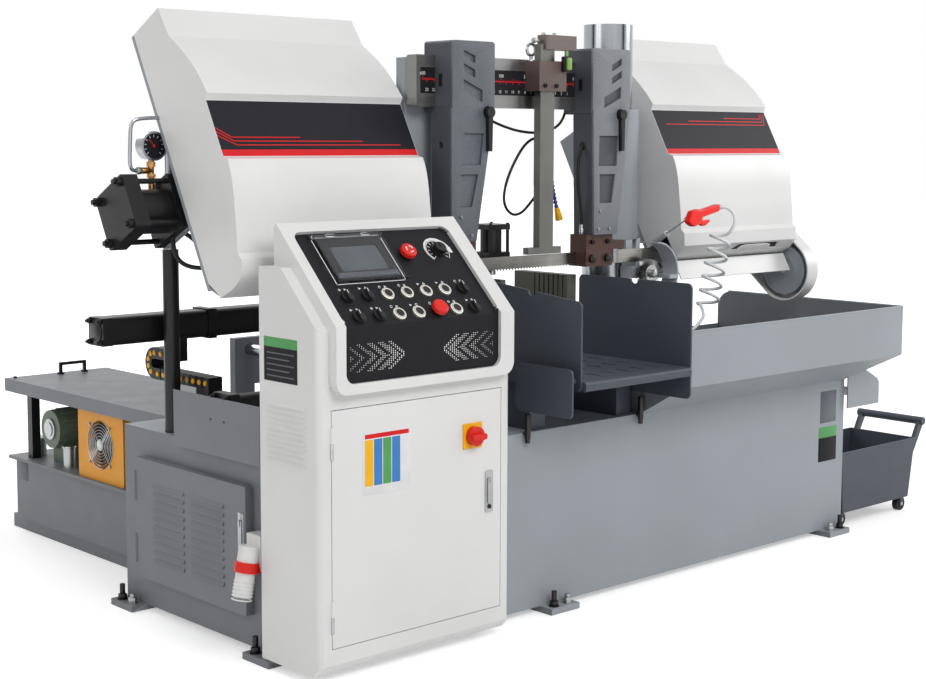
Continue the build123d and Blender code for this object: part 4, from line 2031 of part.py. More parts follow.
# Guards of the band: the strip under the right cover, the belt guard, and the brush guard with its bearing
PULLEY_CENTRE = (PULLEY_S, PULLEY_N)
MOTOR_CENTRE = (WHEEL_R, MOTOR_N)
with BuildPart() as band_guards:
    block(
        slope_plane(STRIP_LEFT),
        (STRIP_BOTTOM, STRIP_TOP),
        (STRIP_N, STRIP_N + SHEET),
        STRIP_RIGHT - STRIP_LEFT,
    )
    block(
        slope_plane(STRIP_LEFT),
        (STRIP_TOP - SHEET, STRIP_TOP),
        (BACK_PLATE_N, STRIP_N),
        STRIP_RIGHT - STRIP_LEFT,
    )
    for depth, reach in ((BELT_RIGHT - BELT_LEFT, BELT_GUARD_R), (BELT_RIGHT - BELT_LEFT - 5.0, BELT_GUARD_R - 5.0)):
        with BuildSketch(slope_plane(BELT_LEFT)) as guard:
            with BuildLine():
                Line(PULLEY_CENTRE, MOTOR_CENTRE)
            with Locations(PULLEY_CENTRE, MOTOR_CENTRE):
                Circle(reach)
            make_hull()
        extrude(guard.sketch, amount=depth, mode=Mode.ADD if reach == BELT_GUARD_R else Mode.SUBTRACT)
    rod(slope_plane(BELT_LEFT + 4.0), PULLEY_CENTRE, 12.0, BELT_RIGHT - BELT_LEFT - 4.0)
    with BuildSketch(front_plane(BRUSH_GUARD_REAR)) as brush_guard:
        with Locations((BRUSH_X, BRUSH_Z)):
            Circle(BRUSH_GUARD_R)
            Circle(BRUSH_GUARD_R - 5.0, mode=Mode.SUBTRACT)
        with Locations((BRUSH_X - BRUSH_GUARD_R, BRUSH_Z - BRUSH_GUARD_R)):
            Rectangle(2 * BRUSH_GUARD_R, 4 * BRUSH_GUARD_R, mode=Mode.SUBTRACT)
    extrude(brush_guard.sketch, amount=BRUSH_GUARD_REAR - BRUSH_GUARD_FRONT)
    block(
        floor_plane(BRUSH_Z - 18.0),
        (BRUSH_X + 58.0, BRUSH_X + BRUSH_GUARD_R - 3.0),
        (BRUSH_GUARD_FRONT, 94.0),
        12.0,
    )
    block(floor_plane(BRUSH_Z - 18.0), (476.0, 496.0), (76.0, 94.0), SLEEVE_BOTTOM - BRUSH_Z + 18.0)
    block(floor_plane(BRUSH_Z - 18.0), around(BRUSH_X, 20.0), (14.0, 68.0), 36.0)
    block(floor_plane(BRUSH_Z + 18.0), around(BRUSH_X, 15.0), (50.0, 68.0), SLEEVE_BOTTOM - BRUSH_Z - 18.0)
    rod(front_plane(68.0), (BRUSH_X, BRUSH_Z), BRUSH_SHAFT_R + RUN_GAP, 54.0, mode=Mode.SUBTRACT)
    rod(NOZZLE.offset(NOZZLE_LONG - 55.0), (0, 0), 9.0, 80.0)
    rod(NOZZLE.offset(NOZZLE_LONG - 55.0), (0, 0), NOZZLE_R + RUN_GAP, 80.0, mode=Mode.SUBTRACT)
band_guards.part.label = "band_guards"
export_step(band_guards.part, "parts/band_guards.step")

# Belt pulley under the right cover
with BuildPart() as belt_pulley:
    ring(slope_plane(BELT_LEFT + 8.0), PULLEY_CENTRE, PULLEY_R, 12.0 + RUN_GAP, 43.0)
    for groove in range(3):
        ring(
            slope_plane(BELT_LEFT + 13.0 + groove * 12.0),
            PULLEY_CENTRE,
            PULLEY_R,
            PULLEY_R - 9.0,
            8.0,
            mode=Mode.SUBTRACT,
        )
belt_pulley.part.label = "belt_pulley"
export_step(belt_pulley.part, "parts/belt_pulley.step")

# Wire brush: radial steel strands in rings round a hub on its shaft
with BuildPart() as wire_brush:
    strand_planes = []
    ring_gap = (BRUSH_REAR - BRUSH_FRONT) / BRUSH_RINGS
    for brush_ring in range(BRUSH_RINGS):
        ring_y = BRUSH_FRONT + (brush_ring + 0.5) * ring_gap
        for strand in range(BRUSH_STRANDS):
            turn = 2 * math.pi * (strand + 0.5 * (brush_ring % 2)) / BRUSH_STRANDS
            outwards = (math.cos(turn), 0, math.sin(turn))
            strand_planes.append(
                Plane(
                    origin=(
                        BRUSH_X - ORIGIN_X + (BRUSH_HUB_R - 2.0) * outwards[0],
                        ring_y - ORIGIN_Y,
                        BRUSH_Z + (BRUSH_HUB_R - 2.0) * outwards[2],
                    ),
                    x_dir=(0, 1, 0),
                    z_dir=outwards,
                )
            )
    rod(front_plane(BRUSH_REAR), (BRUSH_X, BRUSH_Z), BRUSH_HUB_R, BRUSH_REAR - BRUSH_FRONT)
    rod(front_plane(66.0), (BRUSH_X, BRUSH_Z), BRUSH_SHAFT_R, 66.0 - BRUSH_FRONT + 6.0)
    with BuildSketch(*strand_planes) as strands:
        Rectangle(STRAND, STRAND)
    extrude(strands.sketch, amount=BRUSH_R - BRUSH_HUB_R + 2.0)
wire_brush.part.label = "wire_brush"
export_step(wire_brush.part, "parts/wire_brush.step")


def guide_arm(outline, head, guide, hole_x):
    """Guide arm that hangs from the beam: clamping head, arm with slanted pockets, and guide block."""
    profile(front_plane(ARM_REAR), outline, ARM_REAR - ARM_FRONT)
    block(
        front_plane(ARM_HEAD_REAR),
        head,
        (ARM_HEAD_BOTTOM, ARM_HEAD_TOP),
        ARM_HEAD_REAR - ARM_FRONT,
        corner=8.0,
    )
    block(
        front_plane(ARM_HEAD_REAR),
        head,
        (BEAM_BOTTOM - SLIDE_GAP, BEAM_TOP + SLIDE_GAP),
        ARM_HEAD_REAR - BEAM_FRONT + SLIDE_GAP,
        mode=Mode.SUBTRACT,
    )
    block(front_plane(ARM_REAR), guide, (GUIDE_BOTTOM, ARM_FOOT_Z), ARM_REAR - GUIDE_FRONT)
    block(
        front_plane(GUIDE_SLOT / 2),
        (guide[0] - GUIDE_HORN, guide[1] + GUIDE_HORN),
        (GUIDE_BOTTOM, GUIDE_SLOT_TOP),
        GUIDE_SLOT,
        mode=Mode.SUBTRACT,
    )
    middle = (guide[0] + guide[1]) / 2
    for pocket in range(3):
        low = ARM_FOOT_Z + 50.0 + pocket * 78.0
        profile(
            front_plane(ARM_FRONT + 12.0),
            [
                (middle - 22.0, low),
                (middle + 26.0, low + 22.0),
                (middle + 26.0, low + 66.0),
                (middle - 22.0, low + 44.0),
            ],
            12.0,
            corner=6.0,
            mode=Mode.SUBTRACT,
        )
    for recess in (head[0] + 34.0, head[1] - 64.0):
        block(
            front_plane(ARM_FRONT + 10.0),
            (recess, recess + 30.0),
            (ARM_HEAD_TOP - 120.0, ARM_HEAD_TOP - 30.0),
            10.0,
            corner=6.0,
            mode=Mode.SUBTRACT,
        )
    hole = ((ARM_FRONT + ARM_REAR) / 2, ARM_WAIST_Z + 19.0)
    rod(side_plane(hole_x - 30.0), hole, 10.0, 60.0, mode=Mode.SUBTRACT)


with BuildPart() as left_guide_arm:
    guide_arm(
        [
            (LEFT_ARM_OUTER, ARM_HEAD_BOTTOM + 10.0),
            (LEFT_ARM_OUTER, ARM_FOOT_Z),
            (LEFT_ARM_FOOT, ARM_FOOT_Z),
            (LEFT_ARM_WAIST, ARM_WAIST_Z),
            (LEFT_ARM_INNER, ARM_HEAD_BOTTOM + 10.0),
        ],
        (LEFT_ARM_OUTER + 4.0, LEFT_ARM_INNER),
        (LEFT_GUIDE_LEFT, LEFT_GUIDE_RIGHT),
        LEFT_ARM_OUTER,
    )
left_guide_arm.part.label = "left_guide_arm"
export_step(left_guide_arm.part, "parts/left_guide_arm.step")

with BuildPart() as right_guide_arm:
    guide_arm(
        [
            (RIGHT_ARM_INNER + 3.0, ARM_HEAD_BOTTOM + 10.0),
            (RIGHT_ARM_INNER + 11.0, ARM_FOOT_Z),
            (RIGHT_ARM_FOOT, ARM_FOOT_Z),
            (RIGHT_ARM_FOOT + 37.0, ARM_WAIST_Z),
            (RIGHT_ARM_OUTER, ARM_HEAD_BOTTOM + 10.0),
        ],
        (RIGHT_ARM_INNER, RIGHT_ARM_OUTER),
        (RIGHT_GUIDE_LEFT, RIGHT_GUIDE_RIGHT),
        RIGHT_ARM_OUTER,
    )
    block(
        front_plane(ARM_REAR),
        (RIGHT_GUIDE_RIGHT, RIGHT_GUIDE_RIGHT + GUIDE_HORN),
        (GUIDE_HORN_LOW, GUIDE_HORN_HIGH),
        ARM_REAR - GUIDE_FRONT,
    )
    for roller_y in (-ROLLER_R - 1.5, ROLLER_R + 1.5):
        rod(
            floor_plane(GUIDE_HORN_LOW - 43.0),
            (RIGHT_GUIDE_RIGHT + 38.0, roller_y),
            ROLLER_R,
            43.0,
        )
right_guide_arm.part.label = "right_guide_arm"
export_step(right_guide_arm.part, "parts/right_guide_arm.step")

# Clamp levers that lock the arms on the beam: a hub on its stud and a tapered handle
for name, lever_x in (("left_clamp_lever", LEFT_LEVER_X), ("right_clamp_lever", RIGHT_LEVER_X)):
    with BuildPart() as lever:
        rod(front_plane(ARM_FRONT - SLIDE_GAP), (lever_x, LEVER_Z), LEVER_HUB_R, 24.0)
        profile(
            front_plane(ARM_FRONT - 10.0),
            [
                (lever_x - 9.0, LEVER_Z),
                (lever_x + 9.0, LEVER_Z),
                (lever_x + 6.0, LEVER_Z - LEVER_LONG),
                (lever_x - 6.0, LEVER_Z - LEVER_LONG),
            ],
            12.0,
        )
    lever.part.label = name
    export_step(lever.part, f"parts/{name}.step")

# Air gun hung by its nozzle in the holder of the brush guard
with BuildPart() as air_gun:
    with BuildSketch(front_plane(GUN_MIDDLE + GUN_THICK / 2)) as gun_body:
        with BuildLine():
            Polyline(
                (335.0, 1068.0),
                (352.0, 1102.0),
                (380.0, 1108.0),
                (395.0, 1104.0),
                (480.0, 1121.0),
                (480.0, 1099.0),
                (400.0, 1082.0),
                (388.0, 1062.0),
                (360.0, 1054.0),
                close=True,
            )
        make_face()
        fillet(gun_body.vertices(), radius=4.0)
    extrude(gun_body.sketch, amount=GUN_THICK)
    rod(NOZZLE, (0, 0), NOZZLE_R, NOZZLE_LONG)
    rod(NOZZLE, (0, 0), 9.0, 26.0)
    rod(front_plane(GUN_MIDDLE + GUN_THICK / 2), TRIGGER_PIVOT, 8.0, GUN_THICK)
    trigger_slot = TRIGGER_THICK / 2 + SLIDE_GAP
    rod(front_plane(GUN_MIDDLE + trigger_slot), TRIGGER_PIVOT, 9.0, 2 * trigger_slot, mode=Mode.SUBTRACT)
    rod(front_plane(GUN_MIDDLE + trigger_slot), TRIGGER_PIVOT, TRIGGER_PIN_R, 2 * trigger_slot)
air_gun.part.label = "air_gun"
export_step(air_gun.part, "parts/air_gun.step")

# Trigger of the air gun
with BuildPart() as gun_trigger:
    with BuildSketch(front_plane(GUN_MIDDLE + TRIGGER_THICK / 2)) as trigger:
        with BuildLine():
            Polyline(
                (394.0, 1062.0),
                (402.0, 1071.0),
                (441.0, 1075.0),
                (440.0, 1067.0),
                (418.0, 1055.0),
                (402.0, 1056.0),
                close=True,
            )
        make_face()
        fillet(trigger.vertices(), radius=2.0)
        with Locations(TRIGGER_PIVOT):
            Circle(6.0)
            Circle(TRIGGER_PIN_R + RUN_GAP, mode=Mode.SUBTRACT)
    extrude(trigger.sketch, amount=TRIGGER_THICK)
gun_trigger.part.label = "gun_trigger"
export_step(gun_trigger.part, "parts/gun_trigger.step")

# Curly air hose: one tube from the gun, down its curls, to the fitting on the tray
HOSE_START = Vector(480.0 + SLIDE_GAP, GUN_MIDDLE, 1110.0)


def to_part(point):
    """Machine coordinates to the frame of the part."""
    return Vector(point.X - ORIGIN_X, point.Y - ORIGIN_Y, point.Z)


def biarc(start, start_way, end, end_way):
    """Two arcs that leave the start along its direction and reach the end along its direction."""
    chord = end - start
    both = start_way + end_way
    bend = 2 * (1 - start_way.dot(end_way))
    lean = chord.dot(both)
    reach = (math.sqrt(lean * lean + bend * chord.dot(chord)) - lean) / bend
    first = start + start_way * reach
    last = end - end_way * reach
    TangentArc(start, (first + last) / 2, tangent=start_way)
    TangentArc((first + last) / 2, end, tangent=last - first)


axis_way = (COIL_END - COIL_TOP).normalized()
axis_long = (COIL_END - COIL_TOP).length
across_way = Vector(-axis_way.Z, 0, axis_way.X)
depth_way = axis_way.cross(across_way)


def coil_point(quarter):
    """Point and direction on the curls after the given number of quarter turns."""
    turn = (quarter + 1) * math.pi / 2
    rise = axis_long / (4 * COIL_TURNS)
    point = COIL_TOP + axis_way * (rise * quarter)
    point = point + across_way * (COIL_R * math.cos(turn)) + depth_way * (COIL_R * math.sin(turn))
    way = depth_way * (COIL_R * math.cos(turn)) - across_way * (COIL_R * math.sin(turn))
    way = way + axis_way * (2 * rise / math.pi)
    return to_part(point), way.normalized()


with BuildPart() as coil_hose:
    with BuildLine() as hose_path:
        straight = 2 * HOSE_R
        lead_in = to_part(HOSE_START) + Vector(straight, 0, 0)
        Line(to_part(HOSE_START), lead_in)
        biarc(lead_in, Vector(1, 0, 0), *coil_point(0))
        for quarter in range(4 * COIL_TURNS):
            biarc(*coil_point(quarter), *coil_point(quarter + 1))
        hang = to_part(Vector(300.0, COIL_TOP.Y - 8.0, 722.0))
        hang_way = Vector(-0.97, 0, -0.24).normalized()
        biarc(*coil_point(4 * COIL_TURNS), hang, hang_way)
        lead_out = to_part(HOSE_FITTING) + Vector(straight, 0, 0)
        biarc(hang, hang_way, lead_out, Vector(-1, 0, 0))
        Line(lead_out, to_part(HOSE_FITTING))
    with BuildSketch(Plane(origin=to_part(HOSE_START), z_dir=(1, 0, 0))):
        Circle(HOSE_R)
    sweep()
coil_hose.part.label = "coil_hose"
export_step(coil_hose.part, "parts/coil_hose.step")

hose_wire = hose_path.wire()
hose_points = [hose_wire.position_at(step / 1200) for step in range(1201)]
spacing = hose_wire.length / 1200
skip = int(4 * COIL_R / spacing)
least = min(
    (hose_points[a] - hose_points[b]).length
    for a in range(len(hose_points))
    for b in range(a + skip, len(hose_points))
)
print("coil hose length", round(hose_wire.length, 1), "least gap to itself", round(least - 2 * HOSE_R, 2))
hose_volume = math.pi * HOSE_R**2 * hose_wire.length
print("coil hose volume over section times length", coil_hose.part.volume / hose_volume)
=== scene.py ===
"""Automatic band saw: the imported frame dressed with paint, print, fittings, hoses and studio light."""
import json
import logging
import math
import random
from dataclasses import dataclass
from enum import Enum
from typing import Callable, Sequence

import bmesh
import bpy
from mathutils import Matrix, Vector
from mathutils.geometry import interpolate_bezier

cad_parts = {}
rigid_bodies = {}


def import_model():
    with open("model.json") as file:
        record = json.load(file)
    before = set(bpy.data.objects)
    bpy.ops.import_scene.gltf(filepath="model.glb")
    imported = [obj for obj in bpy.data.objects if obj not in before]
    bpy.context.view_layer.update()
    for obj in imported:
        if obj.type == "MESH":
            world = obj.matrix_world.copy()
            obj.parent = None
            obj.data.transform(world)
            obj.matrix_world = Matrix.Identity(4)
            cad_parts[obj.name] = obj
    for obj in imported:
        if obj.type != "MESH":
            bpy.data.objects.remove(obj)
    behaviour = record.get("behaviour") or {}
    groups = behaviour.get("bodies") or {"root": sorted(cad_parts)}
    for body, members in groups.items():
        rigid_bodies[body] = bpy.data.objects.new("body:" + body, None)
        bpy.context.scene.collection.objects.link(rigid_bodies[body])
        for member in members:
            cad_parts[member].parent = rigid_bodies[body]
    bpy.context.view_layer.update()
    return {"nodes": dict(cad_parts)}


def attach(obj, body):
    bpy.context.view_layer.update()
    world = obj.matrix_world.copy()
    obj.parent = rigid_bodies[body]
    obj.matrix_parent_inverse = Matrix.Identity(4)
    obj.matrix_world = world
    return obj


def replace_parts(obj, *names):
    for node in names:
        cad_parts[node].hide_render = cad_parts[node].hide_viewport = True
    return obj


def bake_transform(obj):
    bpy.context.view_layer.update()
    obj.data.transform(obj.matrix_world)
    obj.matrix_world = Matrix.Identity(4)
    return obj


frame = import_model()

LOG = logging.getLogger("band_saw")
Point = tuple[float, float, float]
Flat = tuple[float, float]
Knot = tuple[float, float, float, float]
Zone = Callable[[Vector, Vector], int]
Socket = bpy.types.NodeSocket
Item = bpy.types.Object

# Sizes are in machine millimetres: X along the blade, Y from the operator to the rear, Z up from the floor
MM = 0.001
ORIGIN = Vector((420, 156.5, 0))
TILT = math.radians(28)
BAND_Z = 955.5
PANEL_Y = -385
PANEL_BEND = 869.28
PANEL_SIDES = (-1083, -577)
NOZZLE_Y = -233
LIFT_AXIS = (-1070, 385)
FAN = (1008, 372.5)
HALF_ROOT = math.sqrt(0.5)
SHARP = math.radians(35)
UP = (0, 0, 1)
FORTH = (0, -1, 0)
LEFT = (-1, 0, 0)
CONTROL_X = tuple(-1022 + 62.8 * column for column in range(7))
ROWS = (90, 26)
BUTTON_COLUMNS = ((2, 3, 4, 5), (2, 3, 5))
BUTTON_PLACES = tuple((CONTROL_X[i], row) for row, columns in zip(ROWS, BUTTON_COLUMNS) for i in columns)


def spot(point: Sequence[float]) -> Vector:
    """Machine millimetres to the frame of the part, in metres."""
    return (Vector(point) - ORIGIN) * MM


def polar(degrees: float) -> Vector:
    """Direction on a face at an angle from its first axis."""
    return Vector((math.cos(math.radians(degrees)), math.sin(math.radians(degrees))))


def turned(way: Sequence[float], axis: str = "Z") -> Matrix:
    """Turn that brings an axis to a direction."""
    return Vector(way).to_track_quat(axis, "Y").to_matrix().to_4x4()


def face_frame(origin: Point, across: Point, up: Point) -> Matrix:
    """Frame on a face of the machine.

    Args:
        origin: a point of the face in machine millimetres.
        across: direction of its first axis.
        up: direction of its second axis.

    Returns:
        Matrix from millimetres on the face to the frame of the part; the third axis points out of the face.
    """
    turn = Matrix((across, up, Vector(across).cross(Vector(up)))).transposed().to_4x4()
    return Matrix.Scale(MM, 4) @ Matrix.Translation(Vector(origin) - ORIGIN) @ turn


def front_face(y: float) -> Matrix:
    """Face towards the operator at depth y, in X and Z."""
    return face_frame((0, y, 0), (1, 0, 0), UP)


def left_face(x: float) -> Matrix:
    """Face towards the left at x, in minus Y and Z."""
    return face_frame((x, 0, 0), FORTH, UP)


def show(name: str, data: bpy.types.ID) -> Item:
    """Put data into the scene as an object of that name.

    Args:
        name: name of the object.
        data: what it shows.

    Returns:
        The new object.
    """
    made = bpy.data.objects.new(name, data)
    bpy.context.scene.collection.objects.link(made)
    return made


def baked(holder: Item) -> bpy.types.Mesh:
    """Mesh of an object as its curve or modifiers show it; the object goes.

    Args:
        holder: object that goes, with its data.

    Returns:
        The mesh.
    """
    made = bpy.data.meshes.new_from_object(holder.evaluated_get(bpy.context.evaluated_depsgraph_get()))
    data = holder.data
    bpy.data.objects.remove(holder)
    bpy.data.batch_remove([data])
    return made


MACHINE = face_frame((0, 0, 0), (1, 0, 0), (0, 1, 0))
SLOPE = face_frame((0, 0, BAND_Z), (1, 0, 0), (0, math.sin(TILT), math.cos(TILT)))
PANEL = face_frame((0, PANEL_Y, PANEL_BEND), (1, 0, 0), (0, HALF_ROOT, HALF_ROOT))


class Lay(Enum):
    """How a hose or cable lies between its ends."""

    HANGING = "hanging"
    COILED = "coiled"


def linear(colour: Sequence[int], gain: float = 1.0) -> Knot:
    """Colour as seen on a screen, from 0 to 255, to scene light.

    Args:
        colour: red, green and blue.
        gain: factor on the light.

    Returns:
        Red, green, blue and one.
    """
    shares = [value / 255 for value in colour]
    light = [share / 12.92 if share <= 0.04045 else ((share + 0.055) / 1.055) ** 2.4 for share in shares]
    return (*(min(1.0, part * gain) for part in light), 1.0)


class Nodes:
    """Node tree in the making."""

    def __init__(self, tree: bpy.types.NodeTree) -> None:
        """Start from an empty tree."""
        self.tree = tree
        tree.nodes.clear()

    def node(self, kind: str, values: dict, **settings: str) -> bpy.types.Node:
        """Add a node and feed its inputs.

        Args:
            kind: type of the node.
            values: input name or index to a socket that is linked or a value that is set.
            settings: options of the node.

        Returns:
            The new node.
        """
        made = self.tree.nodes.new("ShaderNode" + kind)
        for key, value in settings.items():
            setattr(made, key, value)
        self.feed(made, values)
        return made

    def feed(self, node: bpy.types.Node, values: dict) -> None:
        """Link or set inputs of a node.

        Args:
            node: the node.
            values: input name or index to a socket that is linked or a value that is set.
        """
        for key, value in values.items():
            if isinstance(value, Socket):
                self.tree.links.new(value, node.inputs[key])
            else:
                node.inputs[key].default_value = value

    def combine(self, operation: str, first: Socket, second: Socket) -> Socket:
        """Combine two sockets."""
        return self.node("Math", {0: first, 1: second}, operation=operation).outputs[0]

    def seen(self) -> Socket:
        """One for rays from the camera, from mirrors and through glass.

        Returns:
            Socket that is zero for all other rays.
        """
        rays = self.node("LightPath", {}).outputs
        mirrored = self.combine("MAXIMUM", rays["Is Camera Ray"], rays["Is Glossy Ray"])
        return self.combine("MAXIMUM", mirrored, rays["Is Transmission Ray"])


class Sheet(Nodes):
    """Nodes of one finish, with the few patterns that the finishes share."""

    def __init__(self, name: str) -> None:
        """Start a material with a principled shader that reads object coordinates.

        Args:
            name: name of the material.
        """
        self.material = bpy.data.materials.new(name)
        self.material.use_nodes = True
        super().__init__(self.material.node_tree)
        self.shader = self.node("BsdfPrincipled", {})
        self.node("OutputMaterial", {"Surface": self.shader.outputs["BSDF"]})
        self.place = self.node("TexCoord", {}).outputs["Object"]

    def noise(self, scale: float, detail: float = 2, stretch: Point = (1, 1, 1)) -> Socket:
        """Noise in object coordinates.

        Args:
            scale: how many features a metre has.
            detail: how fine it breaks up.
            stretch: scale along each axis.

        Returns:
            Socket from 0 to 1.
        """
        mapped = self.node("Mapping", {"Vector": self.place, "Scale": stretch}).outputs["Vector"]
        return self.node("TexNoise", {"Vector": mapped, "Scale": scale, "Detail": detail}).outputs["Fac"]

    def spread(self, value: Socket, start: float, end: float, low: float, high: float) -> Socket:
        """Map a socket from start and end to low and high."""
        values = {"Value": value, "From Min": start, "From Max": end, "To Min": low, "To Max": high}
        return self.node("MapRange", values).outputs["Result"]

    def mix(self, share: Socket, first: object, second: object) -> Socket:
        """Blend two colours or colour sockets by a share from 0 to 1."""
        return self.node("Mix", {0: share, 6: first, 7: second}, data_type="RGBA").outputs[2]

    def tone(self, colour: Sequence[int], scale: float, detail: float, low: float, high: float) -> Socket:
        """Colour that drifts in slow clouds between two gains.

        Args:
            colour: its middle tone.
            scale: how many clouds a metre has.
            detail: how fine they break up.
            low: gain of the darkest tone.
            high: gain of the lightest tone.

        Returns:
            Colour socket.
        """
        cloud = self.spread(self.noise(scale, detail), 0.3, 0.7, 0, 1)
        return self.mix(cloud, linear(colour, low), linear(colour, high))

    def shade(self, colour: Socket, roughness: Socket | float, **others: object) -> None:
        """Feed the shader; an underscore stands for a space in the names of its other inputs."""
        rest = {key.replace("_", " "): value for key, value in others.items()}
        self.feed(self.shader, {"Base Color": colour, "Roughness": roughness, **rest})

    def bump(self, height: Socket, strength: float, depth: float) -> None:
        """Raise the surface by a pattern, with a strength from 0 to 1 and a depth in metres."""
        made = self.node("Bump", {"Height": height, "Strength": strength, "Distance": depth})
        self.feed(self.shader, {"Normal": made.outputs["Normal"]})


@dataclass(frozen=True)
class Finish:
    """A finish with a name, a colour and a roughness; each kind lays its own pattern."""

    name: str
    colour: tuple[int, int, int]
    roughness: float

    def material(self) -> bpy.types.Material:
        """The material of this finish, made once.

        Returns:
            The material, which later calls find again.
        """
        known = bpy.data.materials.get("finish_" + self.name)
        if known is not None:
            return known
        sheet = Sheet("finish_" + self.name)
        self.lay(sheet)
        return sheet.material

    def lay(self, sheet: Sheet) -> None:
        """Lay the pattern of the finish into its node tree."""
        raise NotImplementedError


@dataclass(frozen=True)
class Paint(Finish):
    """Powder coat with a fine orange peel, slow drift of tone and dust near the floor."""

    peel: float = 0.12
    grain: float = 900
    drift: float = 0.05
    dust: float = 0.10
    coat: float = 0.06
    gloss: float = 0.3
    dust_colour: tuple[int, int, int] = (92, 86, 78)
    dust_top: float = 0.22

    def lay(self, sheet: Sheet) -> None:
        """Lay drift, peel and dust.

        Args:
            sheet: nodes of the finish.
        """
        tone = sheet.tone(self.colour, 2.2, 4, 1 - self.drift, 1 + self.drift)
        height = sheet.node("SeparateXYZ", {"Vector": sheet.place}).outputs["Z"]
        low = sheet.spread(height, 0, self.dust_top, self.dust, 0)
        dusty = sheet.combine("MULTIPLY", low, sheet.noise(16, 6))
        sheet.shade(
            sheet.mix(dusty, tone, linear(self.dust_colour)),
            sheet.spread(sheet.noise(14, 5), 0.25, 0.75, self.roughness - 0.05, self.roughness + 0.08),
            Specular_IOR_Level=self.gloss, Coat_Weight=self.coat, Coat_Roughness=0.2,
        )
        sheet.bump(sheet.noise(self.grain), self.peel, 0.0004)


@dataclass(frozen=True)
class Hammertone(Finish):
    """Paint over a rough casting; the tips of its grains carry a painted glint."""

    grains: float = 260
    relief: float = 0.55
    glint: float = 2.4

    def lay(self, sheet: Sheet) -> None:
        """Lay grains of two sizes and a painted glint on their tips.

        Args:
            sheet: nodes of the finish.
        """
        coarse = sheet.node("TexVoronoi", {"Vector": sheet.place, "Scale": self.grains}).outputs["Distance"]
        fine = sheet.noise(self.grains * 2.4, 3)
        tone = sheet.mix(coarse, linear(self.colour, 0.86), linear(self.colour, 1.12))
        # painted glint: the tips of the fine grain are painted brighter than the paint
        sheet.shade(
            sheet.mix(sheet.spread(fine, 0.56, 0.72, 0, 1), tone, linear(self.colour, self.glint)),
            sheet.spread(fine, 0.3, 0.7, self.roughness - 0.12, self.roughness + 0.1),
            Specular_IOR_Level=0.35,
        )
        sheet.bump(sheet.combine("ADD", coarse, fine), self.relief, 0.0012)


@dataclass(frozen=True)
class Steel(Finish):
    """Bare metal with drawn or ground lines along one axis."""

    stretch: Point = (4, 260, 260)
    lines: float = 0.12
    stain: float = 0.12

    def lay(self, sheet: Sheet) -> None:
        """Lay the ground lines and a slow stain.

        Args:
            sheet: nodes of the finish.
        """
        drawn = sheet.noise(1, 3, self.stretch)
        sheet.shade(
            sheet.tone(self.colour, 9, 5, 1 - self.stain, 1.04),
            sheet.spread(drawn, 0.25, 0.75, max(0.03, self.roughness - 0.07), self.roughness + 0.09),
            Metallic=1.0,
        )
        sheet.bump(drawn, self.lines, 0.0002)


@dataclass(frozen=True)
class Plastic(Finish):
    """Moulded plastic or film with a faint spark grain."""

    grain: float = 1500
    relief: float = 0.08
    drift: float = 0.06
    gloss: float = 0.3

    def lay(self, sheet: Sheet) -> None:
        """Lay the grain and a slow drift.

        Args:
            sheet: nodes of the finish.
        """
        fine = sheet.noise(self.grain)
        sheet.shade(
            sheet.tone(self.colour, 20, 4, 1 - self.drift, 1 + self.drift),
            sheet.spread(fine, 0.2, 0.8, self.roughness - 0.04, self.roughness + 0.06),
            Specular_IOR_Level=self.gloss,
        )
        sheet.bump(fine, self.relief, 0.0002)


@dataclass(frozen=True)
class Clear(Finish):
    """Clear or milky plastic that light passes through."""

    passing: float = 0.9
    bend: float = 1.46

    def lay(self, sheet: Sheet) -> None:
        """Lay faint streaks in the gloss of the plastic.

        Args:
            sheet: nodes of the finish.
        """
        streak = sheet.noise(60, 3)
        sheet.shade(
            sheet.mix(streak, linear(self.colour, 0.96), linear(self.colour)),
            sheet.spread(streak, 0.3, 0.7, max(0.02, self.roughness - 0.02), self.roughness + 0.04),
            Transmission_Weight=self.passing, IOR=self.bend,
        )


@dataclass(frozen=True)
class Screen(Finish):
    """Dark display glass with a painted soft grey sheen across it."""

    def lay(self, sheet: Sheet) -> None:
        """Lay a slow fade, a painted sheen, under smooth glass."""
        rough = sheet.spread(sheet.noise(12), 0, 1, self.roughness, self.roughness + 0.03)
        # painted sheen: the glass colour drifts lighter and darker in slow clouds
        sheet.shade(sheet.tone(self.colour, 5, 1, 0.8, 1.3), rough, Specular_IOR_Level=0.3)


FINE = (90, 90, 90)
WHITE = Paint("white_coat", (226, 226, 225), 0.34, coat=0.2, gloss=0.45)
LIGHT_GREY = Paint("light_grey_coat", (153, 159, 165), 0.42)
MID_GREY = Paint("mid_grey_coat", (120, 123, 128), 0.44)
SLATE = Paint("slate_coat", (70, 75, 85), 0.46)
SMOOTH_SLATE = Paint("smooth_slate_coat", (78, 81, 88), 0.44)
BLACK = Paint("black_coat", (24, 24, 26), 0.34, dust=0.04)
OLIVE = Paint("primed_jaw", (92, 92, 84), 0.5)
YELLOW = Paint("yellow_coat", (236, 158, 24), 0.4)
GREEN = Paint("green_motor_coat", (104, 118, 100), 0.44)
BROWN = Paint("brown_blackened_steel", (78, 52, 43), 0.38, drift=0.14, dust=0)
UMBER = Paint("umber_blackened_steel", (96, 82, 78), 0.42, drift=0.14, dust=0)
CAP_STEEL = Paint("weathered_cap_steel", (112, 101, 97), 0.46, drift=0.14, dust=0)
# painted light: a lighter copy of the light grey for the brush guard, standing in for light on it
GUARD_LIT_GREY = Paint("guard_lit_coat", (198, 203, 208), 0.42)
CASTING = Hammertone("rough_casting", (92, 97, 104), 0.42)
# painted light: a paler copy of the rough casting for the right arm, which is the same casting as the left
LIT_CASTING = Hammertone("lit_casting", (118, 121, 126), 0.4, glint=2.6)
